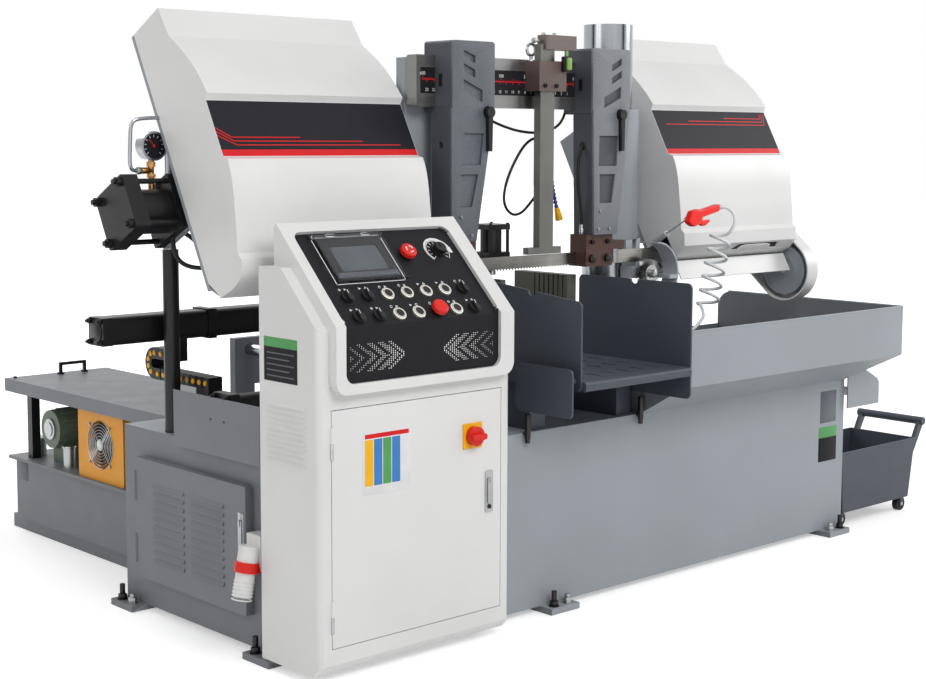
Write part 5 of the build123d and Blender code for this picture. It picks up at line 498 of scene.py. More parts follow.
# painted shade: darker casting for the floors of the right arm's slots and recesses
POCKET_SHADE_CASTING = Hammertone("pocket_shade_casting", (72, 75, 80), 0.5, glint=2.2)
WHEEL_CASTING = Hammertone("wheel_casting", (104, 108, 112), 0.5, relief=0.3, glint=1.4)
GROUND = Steel("ground_steel", (152, 152, 151), 0.32)
GROUND_UP = Steel("drawn_bar", (116, 116, 113), 0.36, (260, 260, 4))
CHROME = Steel("hard_chrome", (158, 161, 165), 0.2, (240, 240, 6), 0.03, 0.05)
BAND_STEEL = Steel("band_steel", (152, 150, 144), 0.28, (3, 300, 300), 0.1, 0.35)
WIRE = Steel("brush_wire", (140, 140, 138), 0.42, (200, 200, 200))
SATIN = Steel("satin_ring", (222, 219, 210), 0.34, FINE, 0.04, 0.06)
ZINC = Steel("zinc_plating", (176, 178, 178), 0.3, FINE, 0.05, 0.15)
BLACK_OXIDE = Steel("black_oxide", (62, 60, 60), 0.4, FINE, 0.08, 0.2)
BRASS = Steel("brass", (190, 144, 82), 0.3, FINE, 0.05, 0.2)
BLACK_PLASTIC = Plastic("black_moulding", (26, 26, 28), 0.42)
RUBBER = Plastic("black_rubber", (24, 24, 25), 0.6, 700, 0.2)
PANEL_FILM = Plastic("panel_film", (30, 30, 33), 0.5, 1100, 0.18, gloss=0.12)
BLACK_FILM = Plastic("black_band_film", (34, 34, 40), 0.42, gloss=0.12)
RED_FILM = Plastic("red_band_film", (216, 36, 42), 0.4, gloss=0.15)
WHITE_PRINT = Plastic("white_print", (228, 228, 228), 0.5)
RED_PLASTIC = Plastic("red_moulding", (222, 36, 28), 0.34)
GUN_RED = Plastic("gun_red", (246, 36, 26), 0.3)
YELLOW_PLASTIC = Plastic("yellow_moulding", (244, 182, 22), 0.36)
GREEN_PLASTIC = Plastic("green_moulding", (136, 176, 92), 0.4)
BLUE_PLASTIC = Plastic("blue_moulding", (34, 52, 158), 0.36)
GREY_PLASTIC = Plastic("grey_moulding", (96, 100, 108), 0.4)
BEZEL = Plastic("screen_bezel", (36, 37, 41), 0.4, gloss=0.2)
BEZEL_STRIP = Plastic("screen_bezel_strip", (72, 86, 100), 0.38, gloss=0.2)
INLET_PLASTIC = Plastic("pale_moulding", (226, 226, 224), 0.4)
CHART_GREEN = Plastic("chart_green", (84, 158, 92), 0.45)
CHART_BLUE = Plastic("chart_blue", (60, 128, 196), 0.45)
HOSE = Clear("milky_hose", (236, 240, 242), 0.2, 0.12, 1.4)
COVER = Clear("clear_cover", (250, 251, 252), 0.03, 1, 1.2)
GLASS = Screen("screen_glass", (74, 79, 84), 0.12)


def dress(data: bpy.types.ID, finishes: Sequence[Finish]) -> None:
    """Give a mesh or curve its finishes."""
    for finish in finishes:
        data.materials.append(finish.material())


def smooth(data: bpy.types.Mesh) -> None:
    """Shade every face of a mesh smooth."""
    data.polygons.foreach_set("use_smooth", [True] * len(data.polygons))


class Bench:
    """Mesh in the making: shapes are added in millimetres on a face and leave as one piece."""

    def __init__(self, place: Matrix = MACHINE) -> None:
        """Start an empty mesh on the given face.

        Args:
            place: frame of the face that shapes are measured on.
        """
        self.mesh = bmesh.new()
        self.place = place
        self.tint = 0
        self.settled: set[bmesh.types.BMVert] = set()

    def fresh(self) -> list[bmesh.types.BMVert]:
        """Vertices of the shape that isn't settled yet."""
        return [vertex for vertex in self.mesh.verts if vertex not in self.settled]

    def settle(self, turn: Matrix = Matrix(), bevel: float = 0.0) -> None:
        """Bring the new shape to the frame of the part, tint it and round its sharp edges.

        Args:
            turn: place of the shape on the face.
            bevel: radius in millimetres, or nothing.
        """
        fresh = self.fresh()
        for matrix in (turn, self.place):
            bmesh.ops.transform(self.mesh, matrix=matrix, verts=fresh)
        faces = list({face for vertex in fresh for face in vertex.link_faces})
        bmesh.ops.recalc_face_normals(self.mesh, faces=faces)
        for face in faces:
            face.material_index = self.tint
        if bevel > 0:
            edges = {edge for vertex in fresh for edge in vertex.link_edges}
            sharp = [edge for edge in edges if edge.is_manifold and edge.calc_face_angle(0.0) > SHARP]
            bmesh.ops.bevel(
                self.mesh, geom=sharp, offset=bevel * MM, offset_type="OFFSET", affect="EDGES",
                segments=2, profile=0.5, material=-1, clamp_overlap=True,
            )
        self.settled = set(self.mesh.verts)

    def block(self, low: Point, high: Point, bevel: float = 0.0) -> None:
        """Box with rounded edges.

        Args:
            low: its lowest corner.
            high: its highest corner.
            bevel: radius of its edges.
        """
        bmesh.ops.create_cube(self.mesh, size=1.0)
        size = Vector(high) - Vector(low)
        middle = (Vector(low) + Vector(high)) / 2
        self.settle(Matrix.Translation(middle) @ Matrix.Diagonal((*size, 1)), bevel)

    def rod(
        self, start: Point, end: Point, radius: float,
        tip: float | None = None, sides: int = 24, bevel: float = 0.0,
    ) -> None:
        """Round or many-sided bar.

        Args:
            start: middle of its first end.
            end: middle of its last end.
            radius: its radius.
            tip: radius of its last end, where it tapers.
            sides: number of its sides.
            bevel: radius of its edges.
        """
        way = Vector(end) - Vector(start)
        last = radius if tip is None else tip
        bmesh.ops.create_cone(
            self.mesh, cap_ends=True, segments=sides, radius1=radius, radius2=last, depth=way.length
        )
        self.settle(Matrix.Translation((Vector(start) + Vector(end)) / 2) @ turned(way), bevel)

    def peg(self, place: Flat, low: float, high: float, radius: float, *shape: float, **more: float) -> None:
        """Bar that stands on the face from low to high; the rest is as for a rod."""
        self.rod((*place, low), (*place, high), radius, *shape, **more)

    def lathe(self, outline: Sequence[Flat], start: Point, way: Point = UP, steps: int = 32) -> None:
        """Turned shape.

        Args:
            outline: radius and distance along the axis, from one end of the section to the other.
            start: foot of the axis.
            way: direction of the axis.
            steps: segments round it.
        """
        points = [self.mesh.verts.new((radius, 0, along)) for radius, along in outline]
        lines = [self.mesh.edges.new(pair) for pair in zip(points, points[1:])]
        bmesh.ops.spin(
            self.mesh, geom=points + lines, cent=(0, 0, 0), axis=UP, angle=math.tau, steps=steps,
            use_merge=True,
        )
        bmesh.ops.remove_doubles(self.mesh, verts=self.fresh(), dist=0.001)
        self.settle(Matrix.Translation(start) @ turned(way))

    def arc(self, centre: Flat, inner: float, outer: float, turn: Flat, rise: Flat, steps: int = 24) -> None:
        """Flat curved bar on the face.

        Args:
            centre: middle of the arc.
            inner: inner radius.
            outer: outer radius.
            turn: first and last angle in degrees, from the first axis.
            rise: height of its under side and of its top.
            steps: segments along it.
        """
        begin = math.radians(turn[0])
        corners = ((inner, rise[0]), (outer, rise[0]), (outer, rise[1]), (inner, rise[1]))
        points = [(radius * math.cos(begin), radius * math.sin(begin), height) for radius, height in corners]
        section = self.mesh.faces.new([self.mesh.verts.new(point) for point in points])
        angle = math.radians(turn[1] - turn[0])
        bmesh.ops.spin(self.mesh, geom=[section], cent=(0, 0, 0), axis=UP, angle=angle, steps=steps)
        self.settle(Matrix.Translation((*centre, 0)))

    def grow(self, faces: list[bmesh.types.BMFace], height: float, bevel: float) -> None:
        """Raise flat faces to a solid and settle it.

        Args:
            faces: the flat faces.
            height: how far they rise.
            bevel: radius of the edges.
        """
        grown = bmesh.ops.extrude_face_region(self.mesh, geom=faces)
        top = [item for item in grown["geom"] if isinstance(item, bmesh.types.BMVert)]
        bmesh.ops.translate(self.mesh, vec=(0, 0, height), verts=top)
        self.settle(bevel=bevel)

    def prism(self, outline: Sequence[Flat], low: float, high: float, bevel: float = 0.0) -> None:
        """Outline on the face, raised from low to high, with rounded edges."""
        face = self.mesh.faces.new([self.mesh.verts.new((x, y, low)) for x, y in outline])
        self.grow([face], high - low, bevel)

    def plate(self, loops: Sequence[Sequence[Flat]], low: float, high: float, bevel: float = 0.0) -> None:
        """Flat plate with openings.

        Args:
            loops: its outline, then the outline of each opening.
            low: height of its under side.
            high: height of its top.
            bevel: radius of its edges.
        """
        edges = []
        for loop in loops:
            ring = [self.mesh.verts.new((x, y, low)) for x, y in loop]
            edges += [self.mesh.edges.new(pair) for pair in zip(ring, ring[1:] + ring[:1])]
        filled = bmesh.ops.triangle_fill(self.mesh, use_beauty=True, edges=edges)
        faces = [item for item in filled["geom"] if isinstance(item, bmesh.types.BMFace)]
        self.grow(faces, high - low, bevel)

    def ribbon(self, points: Sequence[Flat], width: float, low: float, high: float) -> None:
        """Flat line through points on the face.

        Args:
            points: its ends and bends.
            width: its width.
            low: height of its under side.
            high: height of its top.
        """
        for first, last in zip(points, points[1:]):
            way = (Vector(last) - Vector(first)).normalized()
            side = Vector((-way.y, way.x)) * (width / 2)
            start = Vector(first) - way * (width * 0.2)
            end = Vector(last) + way * (width * 0.2)
            self.prism([tuple(c) for c in (start - side, end - side, end + side, start + side)], low, high)

    def scale(self, centre: Flat, inner: float, outer: float, width: float, low: float, high: float) -> None:
        """Eleven lines round a dial, from 135 degrees left of its top to 135 degrees right of it.

        Args:
            centre: middle of the dial.
            inner: radius of the lines' inner ends.
            outer: radius of their outer ends.
            width: width of a line.
            low: height of their under side.
            high: height of their top.
        """
        for turn in range(-135, 136, 27):
            ends = [tuple(Vector(centre) + polar(90 - turn) * radius) for radius in (inner, outer)]
            self.ribbon(ends, width, low, high)

    def figure(self, words: str, centre: Flat, height: float, rise: float) -> None:
        """Printed figure on the face.

        Args:
            words: the digits.
            centre: middle of its foot.
            height: size of the digits.
            rise: height of the print above the face.
        """
        curve = bpy.data.curves.new("figure", "FONT")
        curve.body, curve.size, curve.align_x = words, height, "CENTER"
        curve.extrude, curve.resolution_u = 0.1, 3
        flat = baked(show("figure", curve))
        self.mesh.from_mesh(flat)
        bpy.data.meshes.remove(flat)
        self.settle(Matrix.Translation((*centre, rise + 0.1)))

    def socket_bolt(self, foot: Point, way: Point, size: float) -> None:
        """Round cap screw with a hexagon socket.

        Args:
            foot: middle of the head's under side.
            way: direction that the head points.
            size: diameter of the head.
        """
        high, sunk = size * 0.62, size * 0.24
        outline = (
            (0, high * 0.4), (sunk, high * 0.4), (sunk, high), (size * 0.44, high),
            (size * 0.5, high * 0.88), (size * 0.5, 0), (0, 0),
        )
        self.lathe(outline, foot, way, 20)

    def piece(self, name: str, body: str, finishes: Sequence[Finish]) -> Item:
        """Turn the mesh into a piece that rides on a body.

        Args:
            name: name of the piece.
            body: body that it moves with.
            finishes: finish of each tint.

        Returns:
            The new object.
        """
        data = bpy.data.meshes.new(name)
        self.mesh.to_mesh(data)
        self.mesh.free()
        smooth(data)
        data.set_sharp_from_angle(angle=SHARP)
        dress(data, finishes)
        made = show(name, data)
        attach(made, body)
        LOG.info("piece %s on %s, %d faces", name, body, len(data.polygons))
        return made


def near(point: Vector, x: float, y: float) -> float:
    """Distance of a point from an upright axis."""
    return math.hypot(point.x - x, point.y - y)


@dataclass
class FramePaint:
    """Finishes of all the solids of the frame; a zone tells which of a solid's finishes a face gets."""

    ring_outer: float = 18.9
    screen: Knot = (-1018, -821, 143, 272)
    screen_frame: float = 24
    panel_top: float = 297.4

    def panel_zone(self, at: Vector, out: Vector) -> int:
        """White frame, black film, screen frame, screen glass and button rings of the console head.

        Args:
            at: middle of the face in machine millimetres.
            out: direction that the face looks.

        Returns:
            Number of the face's finish.
        """
        rise = (at.z - PANEL_BEND - at.y + PANEL_Y) * HALF_ROOT
        up = (at.z - PANEL_BEND + at.y - PANEL_Y) * HALF_ROOT
        if not PANEL_SIDES[0] + 0.6 < at.x < PANEL_SIDES[1] - 0.6 or at.z < 735.4:
            return 0
        if PANEL_Y - 0.6 < at.y < PANEL_Y + 0.6 and out.y < -0.9:
            return 1
        if up < -1 or up > self.panel_top or rise > 6.3:
            return 0
        if rise < 0.4:
            return 1
        left, right, low, high = self.screen
        if left - 1 < at.x < right + 1 and low - 1 < up < high + 1:
            inset = self.screen_frame - 1
            deep = left + inset < at.x < right - inset and low + inset < up < high - inset
            return 3 if deep and rise < 5 and out.z > 0.5 else 2
        ringed = any(math.hypot(at.x - x, up - row) < self.ring_outer for x, row in BUTTON_PLACES)
        return 4 if ringed else 2

    @staticmethod
    def door_zone(at: Vector, out: Vector) -> int:
        """White door, yellow switch plate and plated latch plate.

        Args:
            at: middle of the face in machine millimetres.
            out: direction that the face looks.

        Returns:
            Number of the face's finish.
        """
        if at.y > -365.2:
            return 0
        return 1 if abs(at.x + 650) < 33 and abs(at.z - 558) < 33 else 2

    @staticmethod
    def arm_zone(at: Vector, out: Vector) -> int:
        """Rough front, smooth sides, brown block and bright rollers of a guide arm.

        Args:
            at: middle of the face in machine millimetres.
            out: direction that the face looks.

        Returns:
            Number of the face's finish.
        """
        if at.x > 250 and at.z < 982.8:
            return 3
        if at.z < 1030.5:
            return 2
        return 0 if out.y < -0.5 else 1

    @staticmethod
    def bed_zone(at: Vector, out: Vector) -> int:
        """Cast bed, black cylinder, chrome rails and primed jaw.

        Args:
            at: middle of the face in machine millimetres.
            out: direction that the face looks.

        Returns:
            Number of the face's finish.
        """
        if at.x < -535:
            return 1
        if 260.5 < at.y < 1119.5 and abs(out.y) < 0.5 and at.z > 580:
            return 2
        return 3 if at.x > 111.5 and at.y < 300 else 0

    @staticmethod
    def pump_zone(at: Vector, out: Vector) -> int:
        """Yellow cooler, green motor and plated filter.

        Args:
            at: middle of the face in machine millimetres.
            out: direction that the face looks.

        Returns:
            Number of the face's finish.
        """
        if 871 < at.y < 1145:
            return 0 if math.hypot(at.y - FAN[0], at.z - FAN[1]) > 74 or out.x > 0.5 else 3
        return 1 if 1290 < at.y < 1432 and at.z > 259 else 2

    @staticmethod
    def inlet_zone(at: Vector, out: Vector) -> int:
        """Pale housing and the red ring, the widest turn on its leaning axis.

        Args:
            at: middle of the face in machine millimetres.
            out: direction that the face looks.

        Returns:
            Number of the face's finish.
        """
        axis = Vector((-0.2, 0, -1)).normalized()
        arm = at - Vector((-1157, -88, 267))
        along = arm.dot(axis)
        return int(5.5 < along < 32.5 and (arm - axis * along).length > 26)

    @staticmethod
    def feeler_zone(at: Vector, out: Vector) -> int:
        """Bright bar and cast cap."""
        beside = at.x > -17.5 or at.y < -34.5 or at.y > -7.5
        return int(at.z > 1574 and (beside or at.z > 1590.5))

    @staticmethod
    def tension_zone(at: Vector, out: Vector) -> int:
        """Black cylinder, brass stem and chrome gauge case.

        Args:
            at: middle of the face in machine millimetres.
            out: direction that the face looks.

        Returns:
            Number of the face's finish.
        """
        if at.z > 1252:
            return 2
        return int(near(at, -1176, 304.1) < 8.6 and at.z > 1205)

    @staticmethod
    def column_zone(at: Vector, out: Vector) -> int:
        """Chrome columns, grey feet and the black lift cylinder.

        Args:
            at: middle of the face in machine millimetres.
            out: direction that the face looks.

        Returns:
            Number of the face's finish.
        """
        if near(at, *LIFT_AXIS) < 30:
            return 2
        return int(at.z < 546.5)

    @staticmethod
    def plain() -> dict[Finish, str]:
        """The nodes that have one finish.

        Returns:
            Finish to the names of its nodes.
        """
        buttons = " ".join(f"button_{count}" for count in range(1, 8))
        selectors = " ".join(f"selector_{count}" for count in range(1, 7))
        return {
            WHITE: "console_cabinet left_wheel_cover right_wheel_cover",
            MID_GREY: "cabinet_door tension_slide",
            SLATE: "outfeed_table chip_cart",
            SMOOTH_SLATE: "drive_unit",
            LIGHT_GREY: "belt_pulley",
            RED_PLASTIC: "main_switch emergency_stop stop_button gun_trigger",
            BLACK_PLASTIC: "speed_dial drag_chain cooler_fan left_clamp_lever right_clamp_lever "
            f"{buttons} {selectors}",
            RUBBER: "cart_front_wheels cart_rear_wheels",
            COVER: "screen_cover",
            CHROME: "holddown_rod",
            BAND_STEEL: "saw_band",
            WHEEL_CASTING: "idler_wheel drive_wheel",
            WIRE: "wire_brush",
            HOSE: "coil_hose",
        }

    def mixed(self) -> dict[str, tuple[tuple[Finish, ...], Zone]]:
        """The nodes that have more finishes, each with its zone.

        Returns:
            Node to its finishes and its zone.
        """
        return {
            # painted shade: the base's left-facing faces and its left end get the darker grey
            "base_frame": ((LIGHT_GREY, MID_GREY), lambda p, n: n.x < -0.5 or p.x < -1104),
            "mains_inlet": ((INLET_PLASTIC, RED_PLASTIC), self.inlet_zone),
            "console_door": ((WHITE, YELLOW_PLASTIC, ZINC), self.door_zone),
            "control_panel": ((WHITE, PANEL_FILM, BEZEL, GLASS, SATIN), self.panel_zone),
            # painted shade: the tray's upward and left-facing faces get the darker grey
            "chip_tray": ((LIGHT_GREY, MID_GREY), lambda p, n: n.z > 0.2 or n.x < -0.5),
            "guide_columns": ((CHROME, LIGHT_GREY, BLACK), self.column_zone),
            "vise_bed": ((MID_GREY, BLACK, CHROME, OLIVE), self.bed_zone),
            "vise_jaw": ((OLIVE, BLACK), lambda p, n: p.z > 944 or p.x < -300),
            "feed_carriage": ((SMOOTH_SLATE, BLACK), lambda p, n: p.x < -560 or p.z > 669),
            "feed_jaw": ((OLIVE, CHROME), lambda p, n: p.x < -231),
            "power_unit": ((MID_GREY, BLACK), lambda p, n: p.z > 520.5 or 258.5 < p.z < 477),
            "pump_unit": ((YELLOW, GREEN, ZINC, BLACK_OXIDE), self.pump_zone),
            "bow_frame": ((LIGHT_GREY, CHROME), lambda p, n: near(p, *LIFT_AXIS) < 13 and p.z < 1289),
            "guide_beam": ((GROUND, UMBER), lambda p, n: p.y < 13.5),
            "feeler_bar": ((GROUND_UP, CAP_STEEL), self.feeler_zone),
            "tension_cylinder": ((BLACK, BRASS, CHROME), self.tension_zone),
            # the brush guard left of x 540 gets the lighter grey as painted light
            "band_guards": ((WHITE, GUARD_LIT_GREY), lambda p, n: p.x <= 540),
            "left_guide_arm": ((CASTING, SMOOTH_SLATE, BROWN, GROUND), self.arm_zone),
            # the right arm's front gets the paler casting as painted light
            "right_guide_arm": ((LIT_CASTING, SMOOTH_SLATE, BROWN, GROUND), self.arm_zone),
            "air_gun": ((RED_PLASTIC, CHROME), lambda p, n: p.y > NOZZLE_Y),
        }

    def build(self) -> None:
        """Dress every node's own faces."""
        rules = {
            node: ((finish,), lambda p, n: 0)
            for finish, nodes in self.plain().items() for node in nodes.split()
        }
        for node, (finishes, zone) in {**rules, **self.mixed()}.items():
            data = frame["nodes"][node].data
            data.materials.clear()
            dress(data, finishes)
            for face in data.polygons:
                face.material_index = int(zone(face.center / MM + ORIGIN, face.normal))
            LOG.info("dressed %s", node)


@dataclass
class Line:
    """One hose, cable or pipe as a smooth line with its real length."""

    name: str
    route: Sequence[Point]
    radius: float
    bodies: tuple[str, ...]
    length: float
    finish: Finish = RUBBER
    slot: str = "black_plastic"
    lay: Lay = Lay.HANGING
    axis: int = 0

    def curve(self, thick: bool = True) -> Item:
        """The route as a smooth curve in the frame of the part.

        Args:
            thick: whether it has its round section.

        Returns:
            The new object.
        """
        data = bpy.data.curves.new(self.name, "CURVE")
        data.dimensions = "3D"
        data.resolution_u = 12
        line = data.splines.new("NURBS")
        line.points.add(len(self.route) - 1)
        for knot, point in zip(line.points, self.route):
            knot.co = (*spot(point), 1)
        line.order_u = 3
        line.use_endpoint_u = True
        if thick:
            data.bevel_depth = self.radius * MM
            data.bevel_resolution = 4
            data.use_fill_caps = True
        return show(self.name, data)

    def tube(self) -> Item:
        """The line as a plain mesh.

        Returns:
            The new object.
        """
        data = baked(self.curve())
        smooth(data)
        return show(self.name, data)

    def stretched(self) -> Item:
        """The tube as a mesh with its transform applied.

        Returns:
            The new object.
        """
        made = self.tube()
        tips = (self.route[0], self.route[-1])
        ends = [[point[i] if i == self.axis else 0 for i in range(3)] for point in tips]
        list(self.bodies)
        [tuple(spot(end)) for end in ends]
        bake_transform(made)
        return made

    def pipe(self) -> None:
        """Bend a metal pipe along the line, which is stiff and no cord."""
        made = self.tube()
        dress(made.data, (self.finish,))
        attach(made, *self.bodies)
        LOG.info("pipe %s", self.name)

    def build(self) -> Item:
        """Hang the line on its body; with two bodies it becomes a plain mesh on neither.

        Returns:
            The object that shows it.
        """
        loose = len(self.bodies) > 1
        path = [tuple(vertex.co) for vertex in baked(self.curve(False)).vertices] if loose else None
        made = self.stretched() if loose else self.curve()
        dress(made.data, (self.finish,))
        if not loose:
            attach(made, *self.bodies)
        tuple(spot(self.route[0]))
        LOG.info("line %s, %.3f m", self.name, self.length)
        return made


@dataclass
class AirHose:
    """Curly air hose from the gun's handle down to the tray."""

    leave: tuple[Point, ...] = (
        (480.3, -247, 1110), (506, -248, 1112), (526, -257, 1106), (535, -270, 1089), (530, -280, 1064),
        (523, -271, 1041),
    )
    top: Point = (493, -255, 1034)
    end: Point = (430, -255, 808)
    reach: tuple[Point, ...] = (
        (391, -271, 801), (382, -284, 785), (348, -282, 756), (300, -267, 726), (220, -259, 706),
        (160, -258, 700), (135, -258, 700),
    )
    coil: float = 31
    turns: float = 5.5
    per_turn: int = 16
    radius: float = 5
    length: float = 1.53

    def route(self) -> list[Point]:
        """Points of the hose from the gun, round its curls, to the fitting.

        Returns:
            The points in machine millimetres.
        """
        axis = Vector(self.end) - Vector(self.top)
        way = axis.normalized()
        across = Vector((-way.z, 0, way.x))
        depth = way.cross(across)
        count = round(self.turns * self.per_turn)
        curls = []
        for step in range(count + 1):
            turn = -math.tau * step / self.per_turn
            spoke = across * math.cos(turn) + depth * math.sin(turn)
            curls.append(tuple(Vector(self.top) + axis * (step / count) + spoke * self.coil))
        return [*self.leave, *curls, *self.reach]

    def build(self) -> None:
        """Build the tube in place of the coil hose, and the hose nut."""
        bodies = ("bow", "base")
        line = Line(
            "air_hose", self.route(), self.radius, bodies, self.length, HOSE, "hose_plastic", Lay.COILED, 2,
        )
        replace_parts(line.build(), "coil_hose")
        nut = Bench()
        nut.rod((472, -247, 1110), (502, -247, 1110.6), 7.5, 6.4, bevel=0.6)
        nut.rod((482, -247, 1110), (492, -247, 1110.2), 9.4, sides=6, bevel=0.6)
        nut.piece("hose_nut", "bow", (ZINC,))


@dataclass
class GunShell:
    """Moulded shell of the air gun and its trigger, rounded from their solids."""

    voxel: float = 0.002
    gun_rounds: int = 30
    trigger_rounds: int = 6

    def build(self) -> None:
        """Round the gun and the trigger."""
        for node, body, rounds in (
            ("air_gun", "bow", self.gun_rounds), ("gun_trigger", "gun_trigger", self.trigger_rounds),
        ):
            holder = show(f"{node}_form", frame["nodes"][node].data.copy())
            skin = holder.modifiers.new("skin", "REMESH")
            skin.mode, skin.voxel_size = "VOXEL", self.voxel
            ease = holder.modifiers.new("ease", "SMOOTH")
            ease.factor, ease.iterations = 0.5, rounds
            bench = Bench()
            bench.mesh.from_mesh(baked(holder))
            for face in bench.mesh.faces:
                face.material_index = int(face.calc_center_median().y / MM + ORIGIN.y > NOZZLE_Y)
            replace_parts(bench.piece(f"{node}_shell", body, (GUN_RED, CHROME)), node)


@dataclass
class WireBrush:
    """Round wire brush under the band: bristles in rings between two washers on a shaft."""

    x: float = 415
    z: float = 898
    front: float = -45
    rear: float = -12
    radius: float = 45
    hub: float = 19
    washer: float = 27
    nut: float = 22
    nut_foot: float = 45
    rings: int = 8
    strands: int = 64
    seed: int = 7

    def build(self) -> None:
        """Set the bristles, which lean a little at random, round the hub."""
        draw = random.Random(self.seed)
        bench = Bench(front_face(0))
        middle = (self.x, self.z)
        for ring in range(self.rings):
            out = -self.front + (ring + 0.5) * (self.front - self.rear) / self.rings
            for strand in range(self.strands):
                turn = math.tau * (strand + 0.5 * (ring % 2)) / self.strands
                lean = turn + draw.uniform(-0.05, 0.05)
                reach = self.radius - draw.uniform(0.0, 2.0)
                foot = (self.x + self.hub * math.cos(turn), self.z + self.hub * math.sin(turn), out)
                rise = out + draw.uniform(-1.2, 1.2)
                tip = (self.x + reach * math.cos(lean), self.z + reach * math.sin(lean), rise)
                bench.rod(foot, tip, 0.7, 0.5, sides=4)
        bench.tint = 1
        half = ((0, 0), (self.washer, 0), (self.washer, 3), (self.hub, 4))
        mirrored = [(radius, 33 - along) for radius, along in reversed(half)]
        bench.lathe((*half, *mirrored), (*middle, -self.rear))
        bench.peg(middle, -66, 51, 8)
        seat = self.nut_foot + self.nut * 0.12
        bench.peg(middle, self.nut_foot, seat, self.nut * 0.62)
        bench.peg(middle, seat, seat + self.nut * 0.55, self.nut * 0.577, sides=6, bevel=self.nut * 0.05)
        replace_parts(bench.piece("brush_bristles", "wire_brush", (WIRE, ZINC)), "wire_brush")


@dataclass
class CoverBand:
    """Black band with red lines in the flat of one wheel cover."""

    name: str
    body: str
    left: float
    right: float
    low: float = 276.5
    high: float = 433.5
    face: float = 152
    stripe: float = 18
    film: float = 0.5
    shares: tuple[float, ...] = (0.92, 0.72, 0.40)
    from_right: bool = False

    def line(self, count: int, share: float) -> list[Flat]:
        """One stepped line, low on the band from the left or high on it from the right.

        Args:
            count: number of the line, counted upwards from 0.
            share: how far it runs, as a share of the band's width.

        Returns:
            Its three points.
        """
        width = self.right - self.left
        if self.from_right:
            level = self.high - 50 + 12 * count
            knee = self.right - width * 0.045 - 6 * count
            end = self.high - 10
            return [(self.right - width * share, level), (knee, level), (knee + (end - level) * 0.4, end)]
        level = self.low + self.stripe + 13 + 11 * count
        knee = self.left + width * 0.08 - 5 * count
        return [(self.left + 1.5, level + 26), (knee, level), (self.left + width * share, level)]

    def build(self) -> None:
        """Lay the black film, the red stripe and the three stepped lines."""
        bench = Bench(SLOPE)
        top = self.face + self.film
        bench.block((self.left, self.low + self.stripe, self.face), (self.right, self.high, top))
        bench.tint = 1
        bench.block((self.left, self.low, self.face), (self.right, self.low + self.stripe, top))
        for count, share in enumerate(self.shares):
            bench.ribbon(self.line(count, share), 3, top, top + 0.3)
        bench.piece(self.name, self.body, (BLACK_FILM, RED_FILM))


@dataclass
class CoverFittings:
    """Grip of the right cover and the smooth bends of both covers."""

    grip_left: float = 797
    grip_right: float = 1036
    lower_bend: tuple[Knot, ...] = (
        (40, 92, 34, 18), (147, 137, 28, 11), (211, 159, 19, 5), (262, 166, 16, 0.5),
    )
    upper_bend: tuple[Knot, ...] = ((446, 167, 36, -5), (557, 137, 35, -14), (658, 84, 30, -19))
    lip_bend: tuple[Knot, ...] = ((-30, 10, -1, 11), (-29, 41, 2, 13), (-14, 81, 10, 13), (21, 98, 13, 1))

    def grip(self) -> None:
        """Dark recess and bright lip of the pull grip."""
        along = Vector((0, 15, 40)).normalized()
        turn = Matrix(((1, 0, 0), tuple(along), (0, -along.z, along.y))).transposed().to_4x4()
        bench = Bench(SLOPE @ Matrix.Translation((0, -21.5, 61)) @ turn)
        left, right = self.grip_left, self.grip_right
        bench.prism([(left, -12), (right, -12), (right - 6, 12), (left + 34, 12)], -3, -2.4)
        bench.tint = 1
        lip = [
            (left + 30, -12.5), (right - 40, -12.5), (right - 40, 2),
            (right - 62, 8), (left + 62, 8), (left + 40, 2),
        ]
        bench.prism(lip, -2.9, 1.6, 0.8)
        bench.piece("cover_grip", "right_wheel_cover", (BLACK_PLASTIC, WHITE))

    @staticmethod
    def bulge(knots: Sequence[Knot]) -> list[Flat]:
        """Outer line of a bend, which passes each knot along its handle.

        Args:
            knots: the points of the bend with their handles.

        Returns:
            Points of the outer line.
        """
        outer = [knots[0][:2]]
        for (s, n, ds, dn), (t, m, dt, dm) in zip(knots, knots[1:]):
            handles = [Vector(point) for point in ((s, n), (s + ds, n + dn), (t - dt, m - dm), (t, m))]
            outer += [tuple(point) for point in interpolate_bezier(*handles, 9)[1:]]
        return outer

    def skins(self) -> None:
        """Smooth bulges over the covers' lower and upper bends."""
        up, out = (0, math.sin(TILT), math.cos(TILT)), (0, -math.cos(TILT), math.sin(TILT))
        bends = (self.lower_bend, self.upper_bend)
        for side, left, right, shapes in (
            ("left", -1160.2, -519.8, (*bends, self.lip_bend)), ("right", 532.8, 1123.2, bends),
        ):
            bench = Bench(face_frame((0, 0, BAND_Z), up, out))
            for knots in shapes:
                inner = [(s + 0.4, n - 1.5) for s, n, _, _ in reversed(knots)]
                bench.prism([(s - 0.2, n + 0.5) for s, n in self.bulge(knots)] + inner, left, right)
            bench.piece(f"{side}_cover_skin", f"{side}_wheel_cover", (WHITE,))

    def build(self) -> None:
        """Build the grip and the skins."""
        self.grip()
        self.skins()


